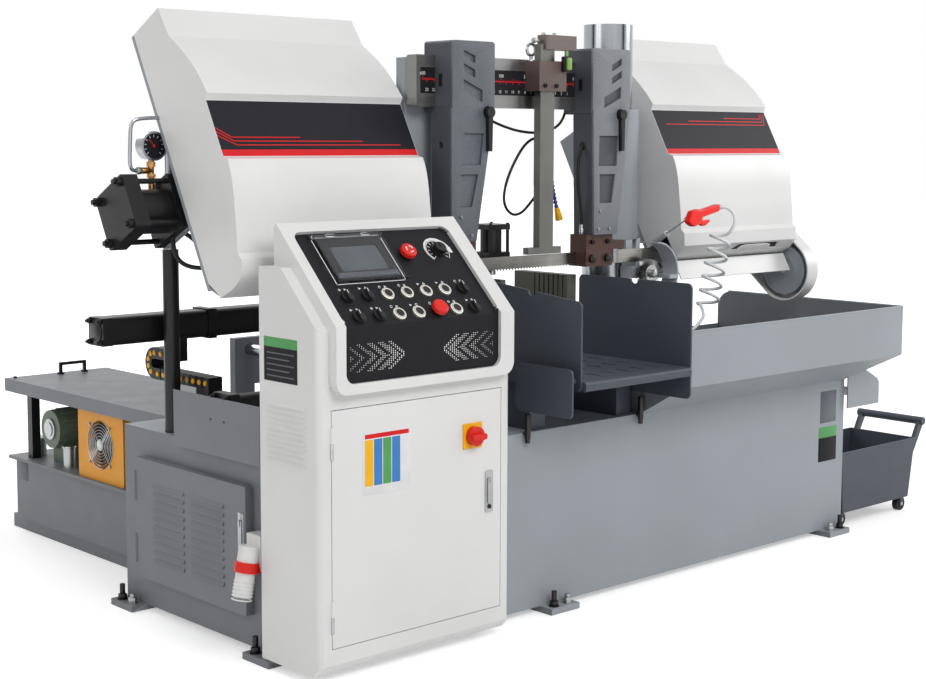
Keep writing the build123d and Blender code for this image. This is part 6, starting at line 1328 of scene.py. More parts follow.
@dataclass
class ControlPrint:
    """White print on the control panel, the dial scale, and the small marks of the controls."""

    film: float = 0.3
    dial: Flat = (-648, 220)
    stop_head: Flat = (-762, 213)
    chevron_z: float = 794
    seed: int = 3
    bezel: tuple[Flat, ...] = (
        (18.8, 0), (18.4, 5.6), (17, 7.2), (14.6, 7.6), (14.6, 5), (17, 5), (17, 0), (18.8, 0),
    )
    rim: tuple[Flat, ...] = ((13.9, 7.9), (13.6, 8.5), (12, 8.6), (11.6, 8.2), (11.6, 7.9), (13.9, 7.9))

    def mark(self, bench: Bench, kind: int, x: float, y: float) -> None:
        """Small generic mark: a cross, a ring or an arrow head.

        Args:
            bench: mesh of the print.
            kind: 0 is the cross, 1 the ring, 2 the arrow head.
            x: its middle across the panel.
            y: its middle up the panel.
        """
        if kind == 0:
            for wide, high in ((4, 1.2), (1.2, 4)):
                bench.block((x - wide, y - high, 0), (x + wide, y + high, self.film))
        elif kind == 1:
            bench.arc((x, y), 2.4, 4.2, (0, 300), (0, self.film), 12)
        else:
            bench.prism([(x - 4, y - 3.5), (x + 4, y), (x - 4, y + 3.5)], 0, self.film)

    def marks(self) -> None:
        """Two marks over every control, and the scale of the dial."""
        draw = random.Random(self.seed)
        bench = Bench(PANEL)
        for row in ROWS:
            for x in CONTROL_X:
                for side in (-9, 9):
                    self.mark(bench, draw.randrange(3), x + side, row + 26)
        bench.scale(self.dial, 24, 31, 1.6, 0, self.film)
        bench.arc(self.dial, 34, 36, (-45, 225), (0, self.film), 40)
        for step in range(9):
            start = 225 - step * 26
            bench.arc(self.dial, 37, 40 + 1.1 * step, (start - 26.5, start), (0, self.film), 5)
        bench.piece("panel_print", "base", (WHITE_PRINT,))

    def chevrons(self) -> None:
        """Dotted arrows on the upright part of the panel, which point at its middle."""
        bench = Bench(front_face(PANEL_Y))
        for side in (-1, 1):
            for column in range(26):
                x = sum(PANEL_SIDES) / 2 + side * (232 - column * 6.6)
                for row in range(-7, 8):
                    shift = abs(row)
                    if (column + shift) % 5 > 1 + column // 9 or shift > 7 - max(0, column - 19):
                        continue
                    bench.peg((x, self.chevron_z + row * 4.6), 0, self.film, 1 + 0.9 * column / 26, sides=6)
        bench.piece("panel_chevrons", "base", (WHITE_PRINT,))

    def caps(self) -> None:
        """Turned arrows on the emergency head, pointer lines on the selectors and ribs of the dial."""
        bench = Bench(PANEL)
        for start in (10, 130, 250):
            bench.arc(self.stop_head, 8.5, 12, (start, start + 70), (24, 24.35), 12)
        bench.piece("emergency_arrows", "emergency_stop", (WHITE_PRINT,))
        places = [(CONTROL_X[i], row) for row in ROWS for i in (0, 1, 6)]
        for count, (x, row) in enumerate(places, 1):
            pointer = Bench(PANEL)
            pointer.block((x - 0.9, row + 4, 14.2), (x + 0.9, row + 15, 14.6))
            pointer.piece(f"selector_line_{count}", f"selector_{count}", (WHITE_PRINT,))
        dial = Bench(PANEL)
        for turn in range(0, 360, 15):
            dial.peg(Vector(self.dial) + polar(turn) * 16.2, 7, 18.6, 1.2, 0.9, 6)
        dial.piece("dial_ribs", "speed_dial", (BLACK_PLASTIC,))

    def rings(self) -> None:
        """Satin rings round the buttons and on their caps, and the strip below the screen."""
        bezels = Bench(PANEL)
        for place in BUTTON_PLACES:
            bezels.lathe(self.bezel, (*place, 0))
        bezels.piece("button_bezels", "base", (SATIN,))
        for count, place in enumerate(BUTTON_PLACES, 1):
            rim = Bench(PANEL)
            rim.lathe(self.rim, (*place, 0))
            rim.piece(f"button_rim_{count}", f"button_{count}", (SATIN,))
        strip = Bench(PANEL)
        strip.block((-1014, 147, 5.8), (-825, 162, 6.4), 0.2)
        strip.piece("screen_strip", "base", (BEZEL_STRIP,))

    def build(self) -> None:
        """Print the panel."""
        self.marks()
        self.chevrons()
        self.caps()
        self.rings()


@dataclass
class ConsoleFittings:
    """Latch, plates and screen trim of the console."""

    latch_x: float = -590
    chart_left: float = -1004
    chart_step: float = 28.6

    def door(self) -> None:
        """Latch, lock and bare chart on the console door."""
        bench = Bench(front_face(-365))
        x = self.latch_x
        bench.block((x - 7, 372, 3), (x + 7, 440, 7), 2)
        bench.tint = 1
        bench.peg((x, 364), 3, 6, 6, bevel=0.8)
        bench.block((x - 1, 360, 6), (x + 1, 368, 6.3))
        bench.tint = 2
        bench.block((-1010, 452, 0), (-858, 606, 0.7), 0.3)
        for column, tint in enumerate((3, 4, 5, 4, 2)):
            bench.tint = tint
            left = self.chart_left + column * self.chart_step
            bench.block((left, 474, 0.7), (left + 26, 588, 1))
        bench.tint = 6
        bench.block((self.chart_left, 591, 0.7), (-864, 602, 1))
        colours = (ZINC, BLACK_OXIDE, WHITE_PRINT, YELLOW_PLASTIC, CHART_BLUE, CHART_GREEN, RED_FILM)
        bench.piece("door_trim", "console_door", colours)

    def build(self) -> None:
        """Fit the console door, the bare plate and the screen."""
        self.door()
        side = Bench(left_face(-1145))
        side.block((150, 728, 0), (285, 812, 0.6))
        side.tint = 1
        side.block((150, 812, 0), (285, 836, 0.6))
        side.tint = 2
        for level in range(5):
            low = 740 + level * 14
            side.block((162, low, 0.6), (272 - 18 * (level % 2), low + 3, 0.9))
        side.piece("console_plate", "base", (PANEL_FILM, CHART_GREEN, GREY_PLASTIC))
        trim = Bench(PANEL)
        trim.block((-1010, 148, 6), (-829, 163, 6.5), 0.3)
        trim.piece("screen_trim", "base", (SMOOTH_SLATE,))
        tabs = Bench(PANEL)
        for x in (-975, -864):
            tabs.block((x - 14, 276, 9), (x + 14, 284, 16), 1.5)
        tabs.piece("screen_cover_tabs", "screen_cover", (COVER,))


@dataclass
class BaseFittings:
    """Bolts on the pads, front studs, plates, cabinet latch, inlet ribs, chain pins and cylinder ends."""

    pads: tuple[Flat, ...] = (
        (-241, -294), (1081, -294), (-241, 607), (1081, 607), (-1130, -106), (-1130, 541),
    )
    bolt_offset: float = 27
    inlet_lean: float = 0.2
    cylinders: tuple[tuple[str, str, float, Flat, float], ...] = (
        ("feed_cylinder_end", "feed_carriage", -1262, (455, 800), 38),
        ("vise_cylinder_end", "base", -1112, (85, 622), 40),
    )

    def bolts(self) -> None:
        """Anchor stud with nut and a levelling screw on every pad."""
        bench = Bench()
        for x, y in self.pads:
            side_pad = x < -1000
            sign = -1 if x < -100 and not side_pad else 1
            for tint, offset in enumerate((self.bolt_offset, -self.bolt_offset)):
                place = (x, y + offset) if side_pad else (x + sign * offset, y)
                bench.tint = tint
                bench.peg(place, 18, 20.5, 15)
                bench.peg(place, 20.5, 34, 12.5, sides=6, bevel=1)
                bench.peg(place, 34, 44 if tint else 62, 7.6, bevel=0.8)
        bench.piece("pad_bolts", "base", (BLACK_OXIDE, ZINC))

    @staticmethod
    def front() -> None:
        """Hexagon stand-offs at the top of the front wall, and bare plates on it."""
        bench = Bench()
        for x in (100, -365):
            bench.peg((x, -282), 502, 570, 9, sides=6, bevel=0.8)
            bench.peg((x, -282), 490, 502, 7)
            bench.rod((x, -269, 516), (x, -284, 516), 6)
        bench.piece("front_studs", "base", (BLACK_OXIDE,))
        plate = Bench(front_face(-269))
        for tint, (left, low, right, high) in enumerate(
            ((1010, 250, 1110, 330), (1010, 330, 1110, 366), (1016, 380, 1104, 486))
        ):
            plate.tint = tint
            plate.block((left, low, 0), (right, high, 0.8), 0.3)
        for x in (1023, 1097):
            for z in (390, 476):
                plate.peg((x, z), 0.8, 2.2, 2.6, 1.6, 10)
        plate.piece("blank_plates", "base", (PANEL_FILM, CHART_GREEN, GREY_PLASTIC))

    @staticmethod
    def cabinet() -> None:
        """Latch of the cabinet door."""
        latch = Bench(left_face(-1130.3))
        latch.block((10, 250, 0), (34, 370, 2), 0.8)
        latch.tint = 1
        latch.block((14, 262, 2), (30, 352, 6), 2)
        latch.tint = 2
        latch.peg((22, 272), 6, 7.6, 5, bevel=0.5)
        latch.piece("cabinet_latch", "cabinet_door", (ZINC, CHROME, BLUE_PLASTIC))

    def inlet(self) -> None:
        """Ribs of the mains inlet."""
        bench = Bench()
        for z in range(168, 222, 9):
            x = -1157 - (267 - z) * self.inlet_lean
            bench.lathe(((25, -2), (27.2, 0), (25, 2)), (x, -88, z), (-self.inlet_lean, 0, -1), 28)
        bench.piece("inlet_ribs", "base", (INLET_PLASTIC,))

    @staticmethod
    def chain() -> None:
        """Yellow pins along the side of the drag chain."""
        bench = Bench(left_face(-1030))
        places = [(-285 - link * 30, 656) for link in range(9)]
        for turn in (-60, -20, 20, 60):
            angle = math.radians(turn)
            places.append((-545 - 29 * math.cos(angle), 685 + 29 * math.sin(angle)))
        for place in (*places, *((-540 + link * 32, 714) for link in range(3))):
            bench.peg(place, 0, 2.4, 7.5, 6.5, 16)
        bench.piece("chain_pins", "base", (YELLOW_PLASTIC,))

    def cylinder_ends(self) -> None:
        """Round end plates, corner nuts and straps of the two square-ended cylinders."""
        for name, body, left, (y, z), half in self.cylinders:
            bench = Bench()
            bench.rod((left, y, z), (left - 2.5, y, z), half - 7, bevel=0.8)
            bench.tint = 1
            for side in (10 - half, half - 10):
                for end in (10 - half, half - 10):
                    corner = (y + side, z + end)
                    bench.rod((left, *corner), (left - 9, *corner), 7.5, sides=6, bevel=0.6)
                    bench.rod((left - 9, *corner), (left - 15, *corner), 4.2, bevel=0.6)
            bench.piece(name, body, (BLACK, BLACK_OXIDE))
        strap = Bench()
        for left in (-930, -700):
            for front, low, rear, high in (
                (413.5, 758.5, 417, 841.5), (413.5, 838, 496.5, 841.5),
                (493, 758.5, 496.5, 841.5), (413.5, 758.5, 496.5, 762),
            ):
                strap.block((left, front, low), (left + 26, rear, high), 0.6)
        strap.piece("feed_cylinder_straps", "feed_carriage", (BLACK,))

    def build(self) -> None:
        """Fit the base."""
        self.cylinder_ends()
        self.bolts()
        self.front()
        self.cabinet()
        self.inlet()
        self.chain()


@dataclass
class PowerUnitFittings:
    """Fan guard of the cooler, tank trim, filter caps and handle feet of the hydraulic unit."""

    cooler_x: float = -940
    tank_x: float = -930
    handle_x: float = -735
    breather: tuple[Flat, ...] = ((0, 64), (22, 64), (29, 60), (30, 44), (25, 42), (25, 0), (0, 0))
    motor_cap: tuple[Flat, ...] = ((0, 0), (34, 0), (34, 6), (23, 7), (23, 10), (0, 10))

    def guard(self) -> None:
        """Wire guard of the fan."""
        bench = Bench(left_face(self.cooler_x))
        hub = (-FAN[0], FAN[1])
        for ring in range(7):
            radius = 18 + ring * 9.5
            wire = ((radius - 1.1, 2), (radius, 3.1), (radius + 1.1, 2), (radius, 0.9), (radius - 1.1, 2))
            bench.lathe(wire, (*hub, 0), steps=48)
        for turn in range(45, 405, 90):
            foot, way = Vector((*hub, 1)), polar(turn).to_3d()
            bench.rod(foot + way * 16, foot + way * 86, 1.4, sides=8)
            bench.socket_bolt(foot + way * 84, UP, 9)
        bench.peg(hub, 1, 4, 17, bevel=1)
        bench.piece("fan_guard", "base", (ZINC,))

    def build(self) -> None:
        """Fit the wire guard, plates, plugs and filter caps."""
        self.guard()
        tank = Bench(left_face(self.tank_x))
        tank.block((-1575, 178, 0), (-1505, 238, 0.8), 0.3)
        tank.tint = 1
        tank.peg((-700, 75), 0, 14, 14, sides=6, bevel=1)
        tank.peg((-700, 75), 14, 22, 8)
        tank.piece("tank_trim", "base", (GREY_PLASTIC, ZINC))
        caps = Bench()
        caps.lathe(self.breather, (-880, 1520, 258))
        caps.peg((-908, 1263), 322, 330, 22, bevel=1.5)
        caps.lathe(self.motor_cap, (-919.7, 1361, 372), LEFT)
        caps.piece("filter_caps", "base", (ZINC,))
        feet = Bench()
        for x in (self.handle_x - 45, self.handle_x + 45):
            feet.block((x - 9, 1535, 520), (x + 9, 1555, 526), 1.5)
        feet.peg((-940, 1560), 520, 526, 7, 5)
        feet.piece("unit_handle_feet", "base", (BLACK_PLASTIC,))


@dataclass
class BeamRule:
    """Rule on the front of the guide beam, with red divisions and white figures."""

    zero: float = 112
    long: float = 600
    low: float = 1441
    high: float = 1512
    face: float = 14
    inch: float = 25.4
    plate: float = 0.15
    ink: float = 0.22

    def bar(self, bench: Bench, left: float, low: float, right: float, high: float) -> None:
        """Printed bar on the plate."""
        bench.block((left, low, self.plate), (right, high, self.ink))

    def build(self) -> None:
        """Print the rule on its dark plate."""
        bench = Bench(front_face(self.face))
        left, right = self.zero - self.long - 8, self.zero + 8
        bench.block((left, self.low, 0), (right, self.high, self.plate))
        bench.tint = 1
        middle = (self.low + self.high) / 2 + 3
        self.bar(bench, left + 6, middle - 1.4, right - 6, middle + 1.4)
        for tenth in range(int(self.long / 10) + 1):
            x = self.zero - tenth * 10
            self.bar(bench, x - 0.9, middle, x + 0.9, middle + (5 if tenth % 5 else 9))
        for count in range(24):
            x = self.zero - count * self.inch
            self.bar(bench, x - 0.9, middle - 8, x + 0.9, middle)
        bench.tint = 2
        for hundred in range(0, 700, 100):
            bench.figure(str(hundred), (self.zero - hundred, middle + 12), 13, 0.08)
        for count in range(1, 24):
            bench.figure(str(count), (self.zero - count * self.inch, self.low + 6), 12, 0.08)
        bench.piece("beam_rule", "bow", (PANEL_FILM, RED_FILM, WHITE_PRINT))


@dataclass
class FeelerFittings:
    """Limit switch, lifting eye and stop of the work feeler."""

    eye: Flat = (-75, 7)
    eye_radius: float = 17
    eye_wire: float = 4.4
    stop_y: float = -21

    def build(self) -> None:
        """Fit the feeler."""
        switch = Bench()
        switch.block((-4, -62, 1512), (20, -46, 1556), 3)
        switch.tint = 1
        switch.block((0, -72, 1516), (18, -62, 1552), 4)
        switch.peg((8, -58), 1556, 1572, 4.5, bevel=0.8)
        switch.tint = 2
        for x in (-70, -24):
            switch.socket_bolt((x, -46, 1470), FORTH, 12)
        switch.piece("limit_switch", "bow", (BLACK_PLASTIC, GREEN_PLASTIC, BLACK_OXIDE))
        eye = Bench()
        eye.peg(self.eye, 1540, 1546, 9, sides=6, bevel=0.8)
        eye.peg(self.eye, 1546, 1556, 5)
        turns = [math.radians(angle) for angle in range(0, 361, 45)]
        ring = [(self.eye_radius + self.eye_wire * math.cos(a), self.eye_wire * math.sin(a)) for a in turns]
        eye.lathe(ring, (*self.eye, 1575), (0, 1, 0))
        eye.piece("lifting_eye", "bow", (ZINC,))
        stop = Bench()
        stop.rod((-62, self.stop_y, 1600), (-86, self.stop_y, 1600), 5, bevel=0.8)
        stop.rod((-86, self.stop_y, 1600), (-96, self.stop_y, 1600), 8, sides=6, bevel=0.6)
        for x in (-52, -6):
            stop.socket_bolt((x, self.stop_y, 1617), UP, 12)
        stop.piece("feeler_stop", "feeler_bar", (ZINC,))


@dataclass
class TensionFittings:
    """Gauge dial, tee and pipe of the band tension cylinder."""

    gauge: Point = (-1176, 289.1, 1294.9)
    stem: Flat = (-1176, 304.1)
    tee_z: float = 1231
    route: tuple[Point, ...] = (
        (-1219, 304.1, 1231), (-1234, 304.1, 1231), (-1240, 304.1, 1250),
        (-1240, 300, 1300), (-1240, 296, 1345),
        (-1232, 294, 1362), (-1205, 292, 1366), (-1170, 290, 1368), (-1148, 289, 1368),
    )

    def build(self) -> None:
        """Fit the tension cylinder."""
        x, y, z = self.gauge
        dial = Bench(front_face(y))
        dial.lathe(((33, 0), (38.5, 0), (38.5, 4), (33, 5), (33, 0)), (x, z, -0.5), steps=40)
        dial.tint = 1
        dial.peg((x, z), 0, 0.6, 33)
        dial.tint = 2
        dial.scale((x, z), 23, 29, 1.4, 0.6, 0.9)
        dial.tint = 3
        dial.ribbon([(x, z), (x - 14, z + 18)], 1.8, 0.9, 1.3)
        dial.peg((x, z), 0.6, 2.4, 4, bevel=0.5)
        dial.piece("gauge_dial", "bow", (CHROME, BLACK_FILM, WHITE_PRINT, RED_FILM))
        tee = Bench()
        tee.peg(self.stem, 1212, 1222, 12, sides=6, bevel=0.8)
        tee.peg(self.stem, 1240, 1254, 12, sides=6, bevel=0.8)
        branch = (self.stem[1], self.tee_z)
        tee.rod((self.stem[0], *branch), (-1206, *branch), 8.5, bevel=0.8)
        tee.tint = 1
        tee.rod((-1206, *branch), (-1220, *branch), 10, sides=6, bevel=0.8)
        tee.piece("gauge_tee", "bow", (BRASS, ZINC))
        Line("tension_pipe", self.route, 5, ("bow",), 0.27, CHROME, "chrome").pipe()


@dataclass
class ArmFittings:
    """Cast faces, cap screws and windows of the guide arms, coolant nozzle and union."""

    face: float = -53
    thick: float = 8.5
    floor: float = 0.8
    hub: float = 16.5
    hub_z: float = 1390
    widen: float = 1.12
    left: tuple[tuple[Flat, ...], ...] = (
        ((-447, 1400), (-447, 1030), (-352, 1030), (-308, 1279), (-285, 1400), (-285, 1577), (-287, 1582),
         (-293, 1585), (-435, 1585), (-441, 1582), (-443, 1577), (-443, 1400)),
        ((-402, 1559), (-360, 1544), (-360, 1524), (-402, 1539)),
        ((-402, 1522), (-360, 1506), (-360, 1484), (-402, 1500)),
        ((-403, 1479), (-332, 1450), (-332, 1417), (-403, 1448)),
        ((-400, 1331), (-326, 1331), (-337, 1243), (-409, 1243)),
        ((-412, 1217), (-347, 1217), (-369, 1127), (-421, 1127)),
    )
    right: tuple[tuple[Flat, ...], ...] = (
        ((122, 1400), (130, 1030), (232, 1030), (269, 1279), (284, 1400), (284, 1577), (282, 1582),
         (276, 1585), (127, 1585), (121, 1582), (119, 1577), (119, 1400)),
        ((202, 1538), (245, 1558), (245, 1539), (202, 1518)),
        ((202, 1500), (245, 1521), (245, 1501), (202, 1480)),
        ((169, 1440), (243, 1474), (243, 1440), (169, 1409)),
        ((150, 1326), (234, 1326), (228, 1236), (147, 1236)),
        ((152, 1211), (221, 1211), (207, 1125), (153, 1125)),
    )
    pin: tuple[Flat, ...] = ((0, 10), (6, 10), (12, 8), (12, 0), (0, 0))
    link: tuple[Flat, ...] = ((3, 0), (6, 2), (6.6, 6), (4.6, 11), (3, 12.4))
    grommet: tuple[Flat, ...] = ((5.4, 0), (5.4, 3), (11, 3), (13, 0), (5.4, 0))
    joints: int = 24
    union_foot: Flat = (121, -18)

    def faces(self) -> None:
        """Cast front of both arms, with slanted slots above the lever and two recesses below it."""
        for side, loops, hub, finish, sunk in (
            ("left", self.left, -312, CASTING, CASTING),
            # the right arm's face gets the paler casting as painted light
            ("right", self.right, 240, LIT_CASTING, POCKET_SHADE_CASTING),
        ):
            bench = Bench(front_face(self.face))
            turns = [math.tau * step / 32 for step in range(32)]
            hole = [
                (hub + self.hub * math.cos(turn), self.hub_z + self.hub * math.sin(turn)) for turn in turns
            ]
            bench.plate((*loops, hole), 0, self.thick, 1.2)
            # floors of the openings; on the right arm they carry painted shade
            bench.tint = 1
            for opening in loops[1:]:
                middle = Vector((sum(x for x, _ in opening) / 4, sum(y for _, y in opening) / 4))
                wide = [middle + (Vector(corner) - middle) * self.widen for corner in opening]
                bench.prism(wide, 0.02, self.floor)
            bench.piece(f"{side}_arm_face", f"{side}_guide_arm", (finish, sunk))

    def screws(self) -> None:
        """Cap screws, roller pins and rule windows of both arms."""
        for side, window, low, high in (("left", -443, -447, -343), ("right", 119, 114, 230)):
            bench = Bench()
            middle = (low + high) / 2
            for x, z in ((middle - 26, 1048), (middle + 22, 1048), (middle - 18, 1100)):
                bench.socket_bolt((x, self.face - self.thick, z), FORTH, 9)
            bench.tint = 1
            for x in (low + 24, high - 24):
                bench.socket_bolt((x, -45, 1008), FORTH, 14)
                bench.lathe(self.pin, (x, -45, 958), FORTH, 24)
            bench.tint = 2
            bench.block((window - 0.5, -17, 1460), (window + 0.5, -3, 1494))
            bench.piece(
                f"{side}_arm_screws", f"{side}_guide_arm", (ZINC, BLACK_OXIDE, BLACK_PLASTIC)
            )

    def coolant(self) -> None:
        """Jointed nozzle that hangs from the beam, and the hose union on the right guide block."""
        nozzle = Bench()
        nozzle.peg((18, 30), 1404, 1398, 9, sides=6, bevel=0.8)
        for joint in range(self.joints):
            share = joint / (self.joints - 1)
            foot = (18 + 44 * share * share, 30, 1398 - 12 * (joint + 1))
            nozzle.lathe(self.link, foot, (-0.3 * share, 0, 1), 16)
        nozzle.tint = 1
        nozzle.rod((62, 30, 1112), (74, 30, 1074), 7.5, 12, 16, 0.8)
        nozzle.piece("coolant_nozzle", "bow", (BLUE_PLASTIC, YELLOW_PLASTIC))
        union = Bench()
        union.peg(self.union_foot, 1030, 1060, 6, bevel=0.8)
        union.peg(self.union_foot, 1036, 1048, 7.4, sides=6, bevel=0.6)
        union.tint = 1
        union.lathe(self.grommet, (124.6, -16, 1296), (-1, 0, -0.02), 24)
        union.piece("coolant_union", "right_guide_arm", (ZINC, RUBBER))

    def build(self) -> None:
        """Fit both arms."""
        self.faces()
        self.screws()
        self.coolant()


@dataclass
class BandTeeth:
    """Teeth of the band on its twisted stretches beside the toothed one."""

    pitch: float = 12
    height: float = 4
    edge: float = 20.3
    twist: float = math.radians(62)
    spans: tuple[Knot, ...] = ((292, 530, 795, 290), (-502, -518, -815, -500))

    def build(self) -> None:
        """Set low teeth on the lower edge, which leans back as the band twists towards the wheel."""
        bench = Bench()
        for start, end, wheel, guide in self.spans:
            for tooth in range(int(abs(end - start) / self.pitch)):
                x = start + math.copysign((tooth + 0.5) * self.pitch, end - start)
                share = (x - guide) / (wheel - guide)
                turn = self.twist * share * share * (3 - 2 * share)
                down = Vector((0, math.sin(turn), -math.cos(turn)))
                root = Vector((x, 0, BAND_Z)) + down * self.edge
                bench.rod(root, root + down * self.height, 3.4, 0.7, 4)
        bench.piece("twisted_teeth", "bow", (BAND_STEEL,))


@dataclass
class PulleyFace:
    """Turned rings and hub on the belt pulley."""

    foot: Point = (1135, -85, -20)
    rings: tuple[Point, ...] = (
        (84, 74, 3), (74.5, 50, 1.2), (50.5, 42, 2.6), (42.5, 27, 1.2), (27.5, 12.6, 3.2),
    )

    def build(self) -> None:
        """Turn the rings on the pulley's left side."""
        bench = Bench(SLOPE)
        for outer, inner, out in self.rings:
            section = ((outer, 0), (outer, out), (inner, out), (inner, 0), (outer, 0))
            bench.lathe(section, self.foot, LEFT, 48)
        bench.piece("pulley_face", "belt_pulley", (LIGHT_GREY,))


@dataclass
class TrayFittings:
    """Rolled rims of the tray and the cart, and the caster swivels."""

    tray_z: float = 768
    tray_wire: float = 3.2
    tray_corner: Flat = (1243, -423)
    cart_z: float = 260
    tray_lines: tuple[Knot, ...] = ((115, -423, 1245, -423), (1243, -425, 1243, 298), (117, -425, 117, -80))
    cart_lines: tuple[Knot, ...] = (
        (1150.5, -266, 1597, -266), (1150.5, -2, 1597, -2), (1596.5, -266, 1596.5, -2),
    )

    @staticmethod
    def wires(bench: Bench, lines: Sequence[Knot], z: float, radius: float) -> None:
        """Level wires at height z, each from one place to another."""
        for x, y, end_x, end_y in lines:
            bench.rod((x, y, z), (end_x, end_y, z), radius, sides=16)

    def build(self) -> None:
        """Fit the rims."""
        rim = Bench()
        self.wires(rim, self.tray_lines, self.tray_z, self.tray_wire)
        bmesh.ops.create_uvsphere(rim.mesh, u_segments=24, v_segments=14, radius=self.tray_wire)
        rim.settle(Matrix.Translation((*self.tray_corner, self.tray_z)))
        rim.piece("tray_rim", "base", (LIGHT_GREY,))
        cart = Bench()
        self.wires(cart, self.cart_lines, self.cart_z, 3)
        cart.tint = 1
        for x in (1190.3, 1558):
            for y in (-234, -34):
                cart.peg((x, y), 51, 54, 14, bevel=0.8)
                cart.rod((x, y - 15, 25), (x, y - 12.6, 25), 7, sides=6, bevel=0.4)
        cart.piece("cart_trim", "chip_cart", (SLATE, ZINC))


@dataclass
class Hoses:
    """Black hoses and cables that hang between fixed fittings, each with the points of its way."""

    tension: tuple[Point, ...] = (
        (-1150, 246, 1066), (-1150, 246, 1015), (-1127, 218.4, 979), (-1077, 158.6, 979), (-1054, 131, 1015),
        (-1054, 131, 1044),
    )
    second: tuple[Point, ...] = (
        (-1140, 250, 1080), (-1108, 240, 1066), (-1084, 200, 1026), (-1066, 156, 1006), (-1044, 130, 1004),
        (-1040, 113, 1010),
    )
    feeler: tuple[Point, ...] = (
        (-24, -8, 1318), (-24, 22, 1322), (-44, 46, 1312),
        (-84, 48, 1272), (-132, 48, 1196), (-146, 48, 1130),
        (-112, 48, 1092), (-70, 46, 1096), (-36, 34, 1136), (-24, 12, 1172), (-24, -8, 1186),
    )
    beam: tuple[Point, ...] = (
        (-285, 52, 1397), (-240, 55, 1388), (-150, 59, 1356), (-60, 59, 1336), (30, 59, 1334), (92, 59, 1352),
        (122, 59, 1384), (126, 59, 1404),
    )
    coolant: tuple[Point, ...] = (
        (128, -16, 1303), (112, -16, 1280), (103, -16, 1230),
        (106, -17, 1160), (119, -18, 1100), (121, -18, 1058),
    )

    def build(self) -> None:
        """Hang every hose and cable."""
        Line("tension_hose", self.tension, 6, ("bow",), 0.25).build()
        Line("tension_hose_back", self.second, 6, ("bow",), 0.2).build()
        Line("feeler_cable", self.feeler, 4, ("feeler_bar",), 0.48).build()
        Line("beam_cable", self.beam, 4, ("left_guide_arm", "bow"), 0.45).build()
        Line("coolant_hose", self.coolant, 5, ("right_guide_arm",), 0.25).build()


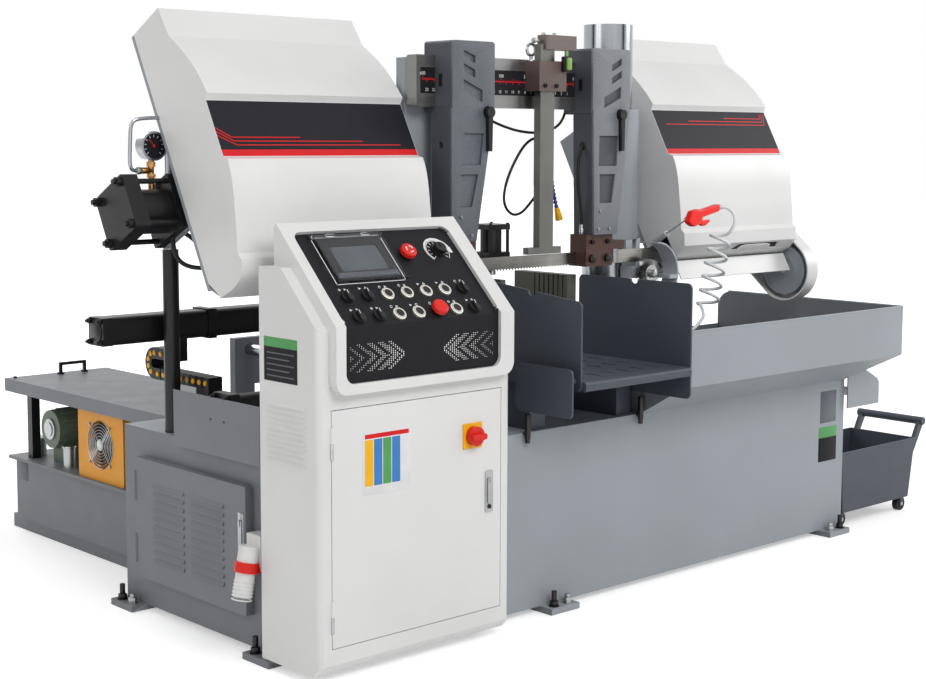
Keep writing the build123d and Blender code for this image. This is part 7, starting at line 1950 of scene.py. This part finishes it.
@dataclass
class Studio:
    """Camera at the photograph's angle, soft light and a pale floor, all in metres."""

    eye: Point = (-3.8378, -3.4964, 1.310)
    yaw: float = math.radians(42.1583)
    pitch: float = math.radians(5.91555)
    roll: float = math.radians(0.14254)
    lens: float = 62.36
    shift: Flat = (0.0132, -0.0350)
    sky: float = 0.38
    near_glow: float = 0.42
    glow_from: float = 2
    glow_to: float = 5
    floor_half: float = 30
    flag_size: Flat = (1.3, 4)

    def camera(self) -> None:
        """Set the camera."""
        data = bpy.data.cameras.new("photo_camera")
        data.sensor_fit = "HORIZONTAL"
        data.sensor_width = 36
        data.lens = self.lens
        data.shift_x, data.shift_y = self.shift
        data.clip_end = 100
        made = show("photo_camera", data)
        heading = Matrix.Rotation(-self.yaw, 4, "Z") @ Matrix.Rotation(math.pi / 2 - self.pitch, 4, "X")
        made.matrix_world = Matrix.Translation(self.eye) @ heading @ Matrix.Rotation(self.roll, 4, "Z")
        bpy.context.scene.camera = made

    @staticmethod
    def lamp(name: str, place: Point, aim: Point, size: Flat, power: float) -> None:
        """Soft box.

        Args:
            name: name of the lamp.
            place: its middle.
            aim: point that it faces.
            size: its width and height.
            power: its power in watts.
        """
        data = bpy.data.lights.new(name, "AREA")
        data.shape = "RECTANGLE"
        data.size, data.size_y = size
        data.energy = power
        way = Vector(aim) - Vector(place)
        show(name, data).matrix_world = Matrix.Translation(place) @ turned(way, "-Z")

    @staticmethod
    def card(name: str, half: float, matrix: Matrix, material: bpy.types.Material) -> Item:
        """Flat sheet with one material, for the floor or a flag.

        Args:
            name: name of the sheet.
            half: half its side before it is placed.
            matrix: its place.
            material: its material.

        Returns:
            The new object.
        """
        mesh = bmesh.new()
        bmesh.ops.create_grid(mesh, x_segments=1, y_segments=1, size=half)
        bmesh.ops.transform(mesh, matrix=matrix, verts=mesh.verts)
        data = bpy.data.meshes.new(name)
        mesh.to_mesh(data)
        mesh.free()
        data.materials.append(material)
        made = show(name, data)
        return made

    def surround(self) -> None:
        """Soft sky, and a white surround for camera, mirror and glass rays."""
        world = bpy.data.worlds.new("studio")
        bpy.context.scene.world = world
        world.use_nodes = True
        nodes = Nodes(world.node_tree)
        light, shown = (
            nodes.node("Background", {"Color": (1, 1, 1, 1), "Strength": strength}).outputs[0]
            for strength in (self.sky, 1)
        )
        join = nodes.node("MixShader", {0: nodes.seen(), 1: light, 2: shown}).outputs[0]
        nodes.node("OutputWorld", {"Surface": join})

    def flag(self, name: str, place: Point) -> None:
        """Tall dark card beside the table, which only polished metal shows.

        Args:
            name: name of the card.
            place: its middle.
        """
        matrix = Matrix.Translation(place) @ turned((-place[0], -place[1], 0))
        card = self.card(name, 0.5, matrix @ Matrix.Diagonal((*self.flag_size, 1, 1)), BLACK_FILM.material())
        card.visible_camera = card.visible_diffuse = card.visible_transmission = card.visible_shadow = False

    def floor_material(self) -> bpy.types.Material:
        """Matt pale floor that keeps the shadow near the part and turns white away from it.

        Returns:
            The material.
        """
        sheet = Sheet("studio_floor")
        tone = sheet.mix(sheet.noise(1.5, 3), (0.86, 0.86, 0.86, 1), (0.9, 0.9, 0.9, 1))
        far = sheet.node("VectorMath", {0: sheet.place}, operation="LENGTH").outputs["Value"]
        rise = sheet.spread(far, self.glow_from, self.glow_to, self.near_glow, 1)
        glow = sheet.combine("MULTIPLY", sheet.seen(), rise)
        sheet.shade(tone, 0.9, Specular_IOR_Level=0.1, Emission_Color=(1, 1, 1, 1), Emission_Strength=glow)
        return sheet.material

    def build(self) -> None:
        """Set up the studio."""
        bpy.context.scene.view_settings.view_transform = "Standard"
        self.camera()
        self.lamp("key_box", (-1.6, -5.2, 4.6), (0, 0, 0.8), (3.4, 2.6), 178)
        self.lamp("right_box", (4.6, -2.6, 3.2), (0.2, 0, 0.9), (2.6, 2.6), 86)
        self.lamp("left_box", (-5.2, 0.4, 2.8), (-0.9, 0, 0.9), (2.4, 2.4), 34)
        self.lamp("rear_box", (-1, 5, 4.2), (0, 0.2, 0.9), (3.6, 2.4), 105)
        self.surround()
        self.card("floor", self.floor_half, Matrix(), self.floor_material())
        self.flag("right_flag", (2.3, -4.5, 2))
        self.flag("left_flag", (-4.3, 2.7, 2))


def main() -> None:
    """Build every sub-assembly in order."""
    logging.basicConfig(level=logging.INFO, format="%(name)s: %(message)s")
    parts = [
        Studio(),
        AirHose(),
        Hoses(),
        GunShell(),
        FramePaint(),
        WireBrush(),
        CoverBand("left_cover_band", "left_wheel_cover", -1158.5, -521.5),
        CoverBand("right_cover_band", "right_wheel_cover", 534.5, 1121.5, from_right=True),
        CoverFittings(),
        ControlPrint(),
        ConsoleFittings(),
        BaseFittings(),
        PowerUnitFittings(),
        BeamRule(),
        FeelerFittings(),
        TensionFittings(),
        ArmFittings(),
        BandTeeth(),
        PulleyFace(),
        TrayFittings(),
    ]
    for part in parts:
        part.build()
        LOG.info("built %s", type(part).__name__)


if __name__ == "__main__":
    main()
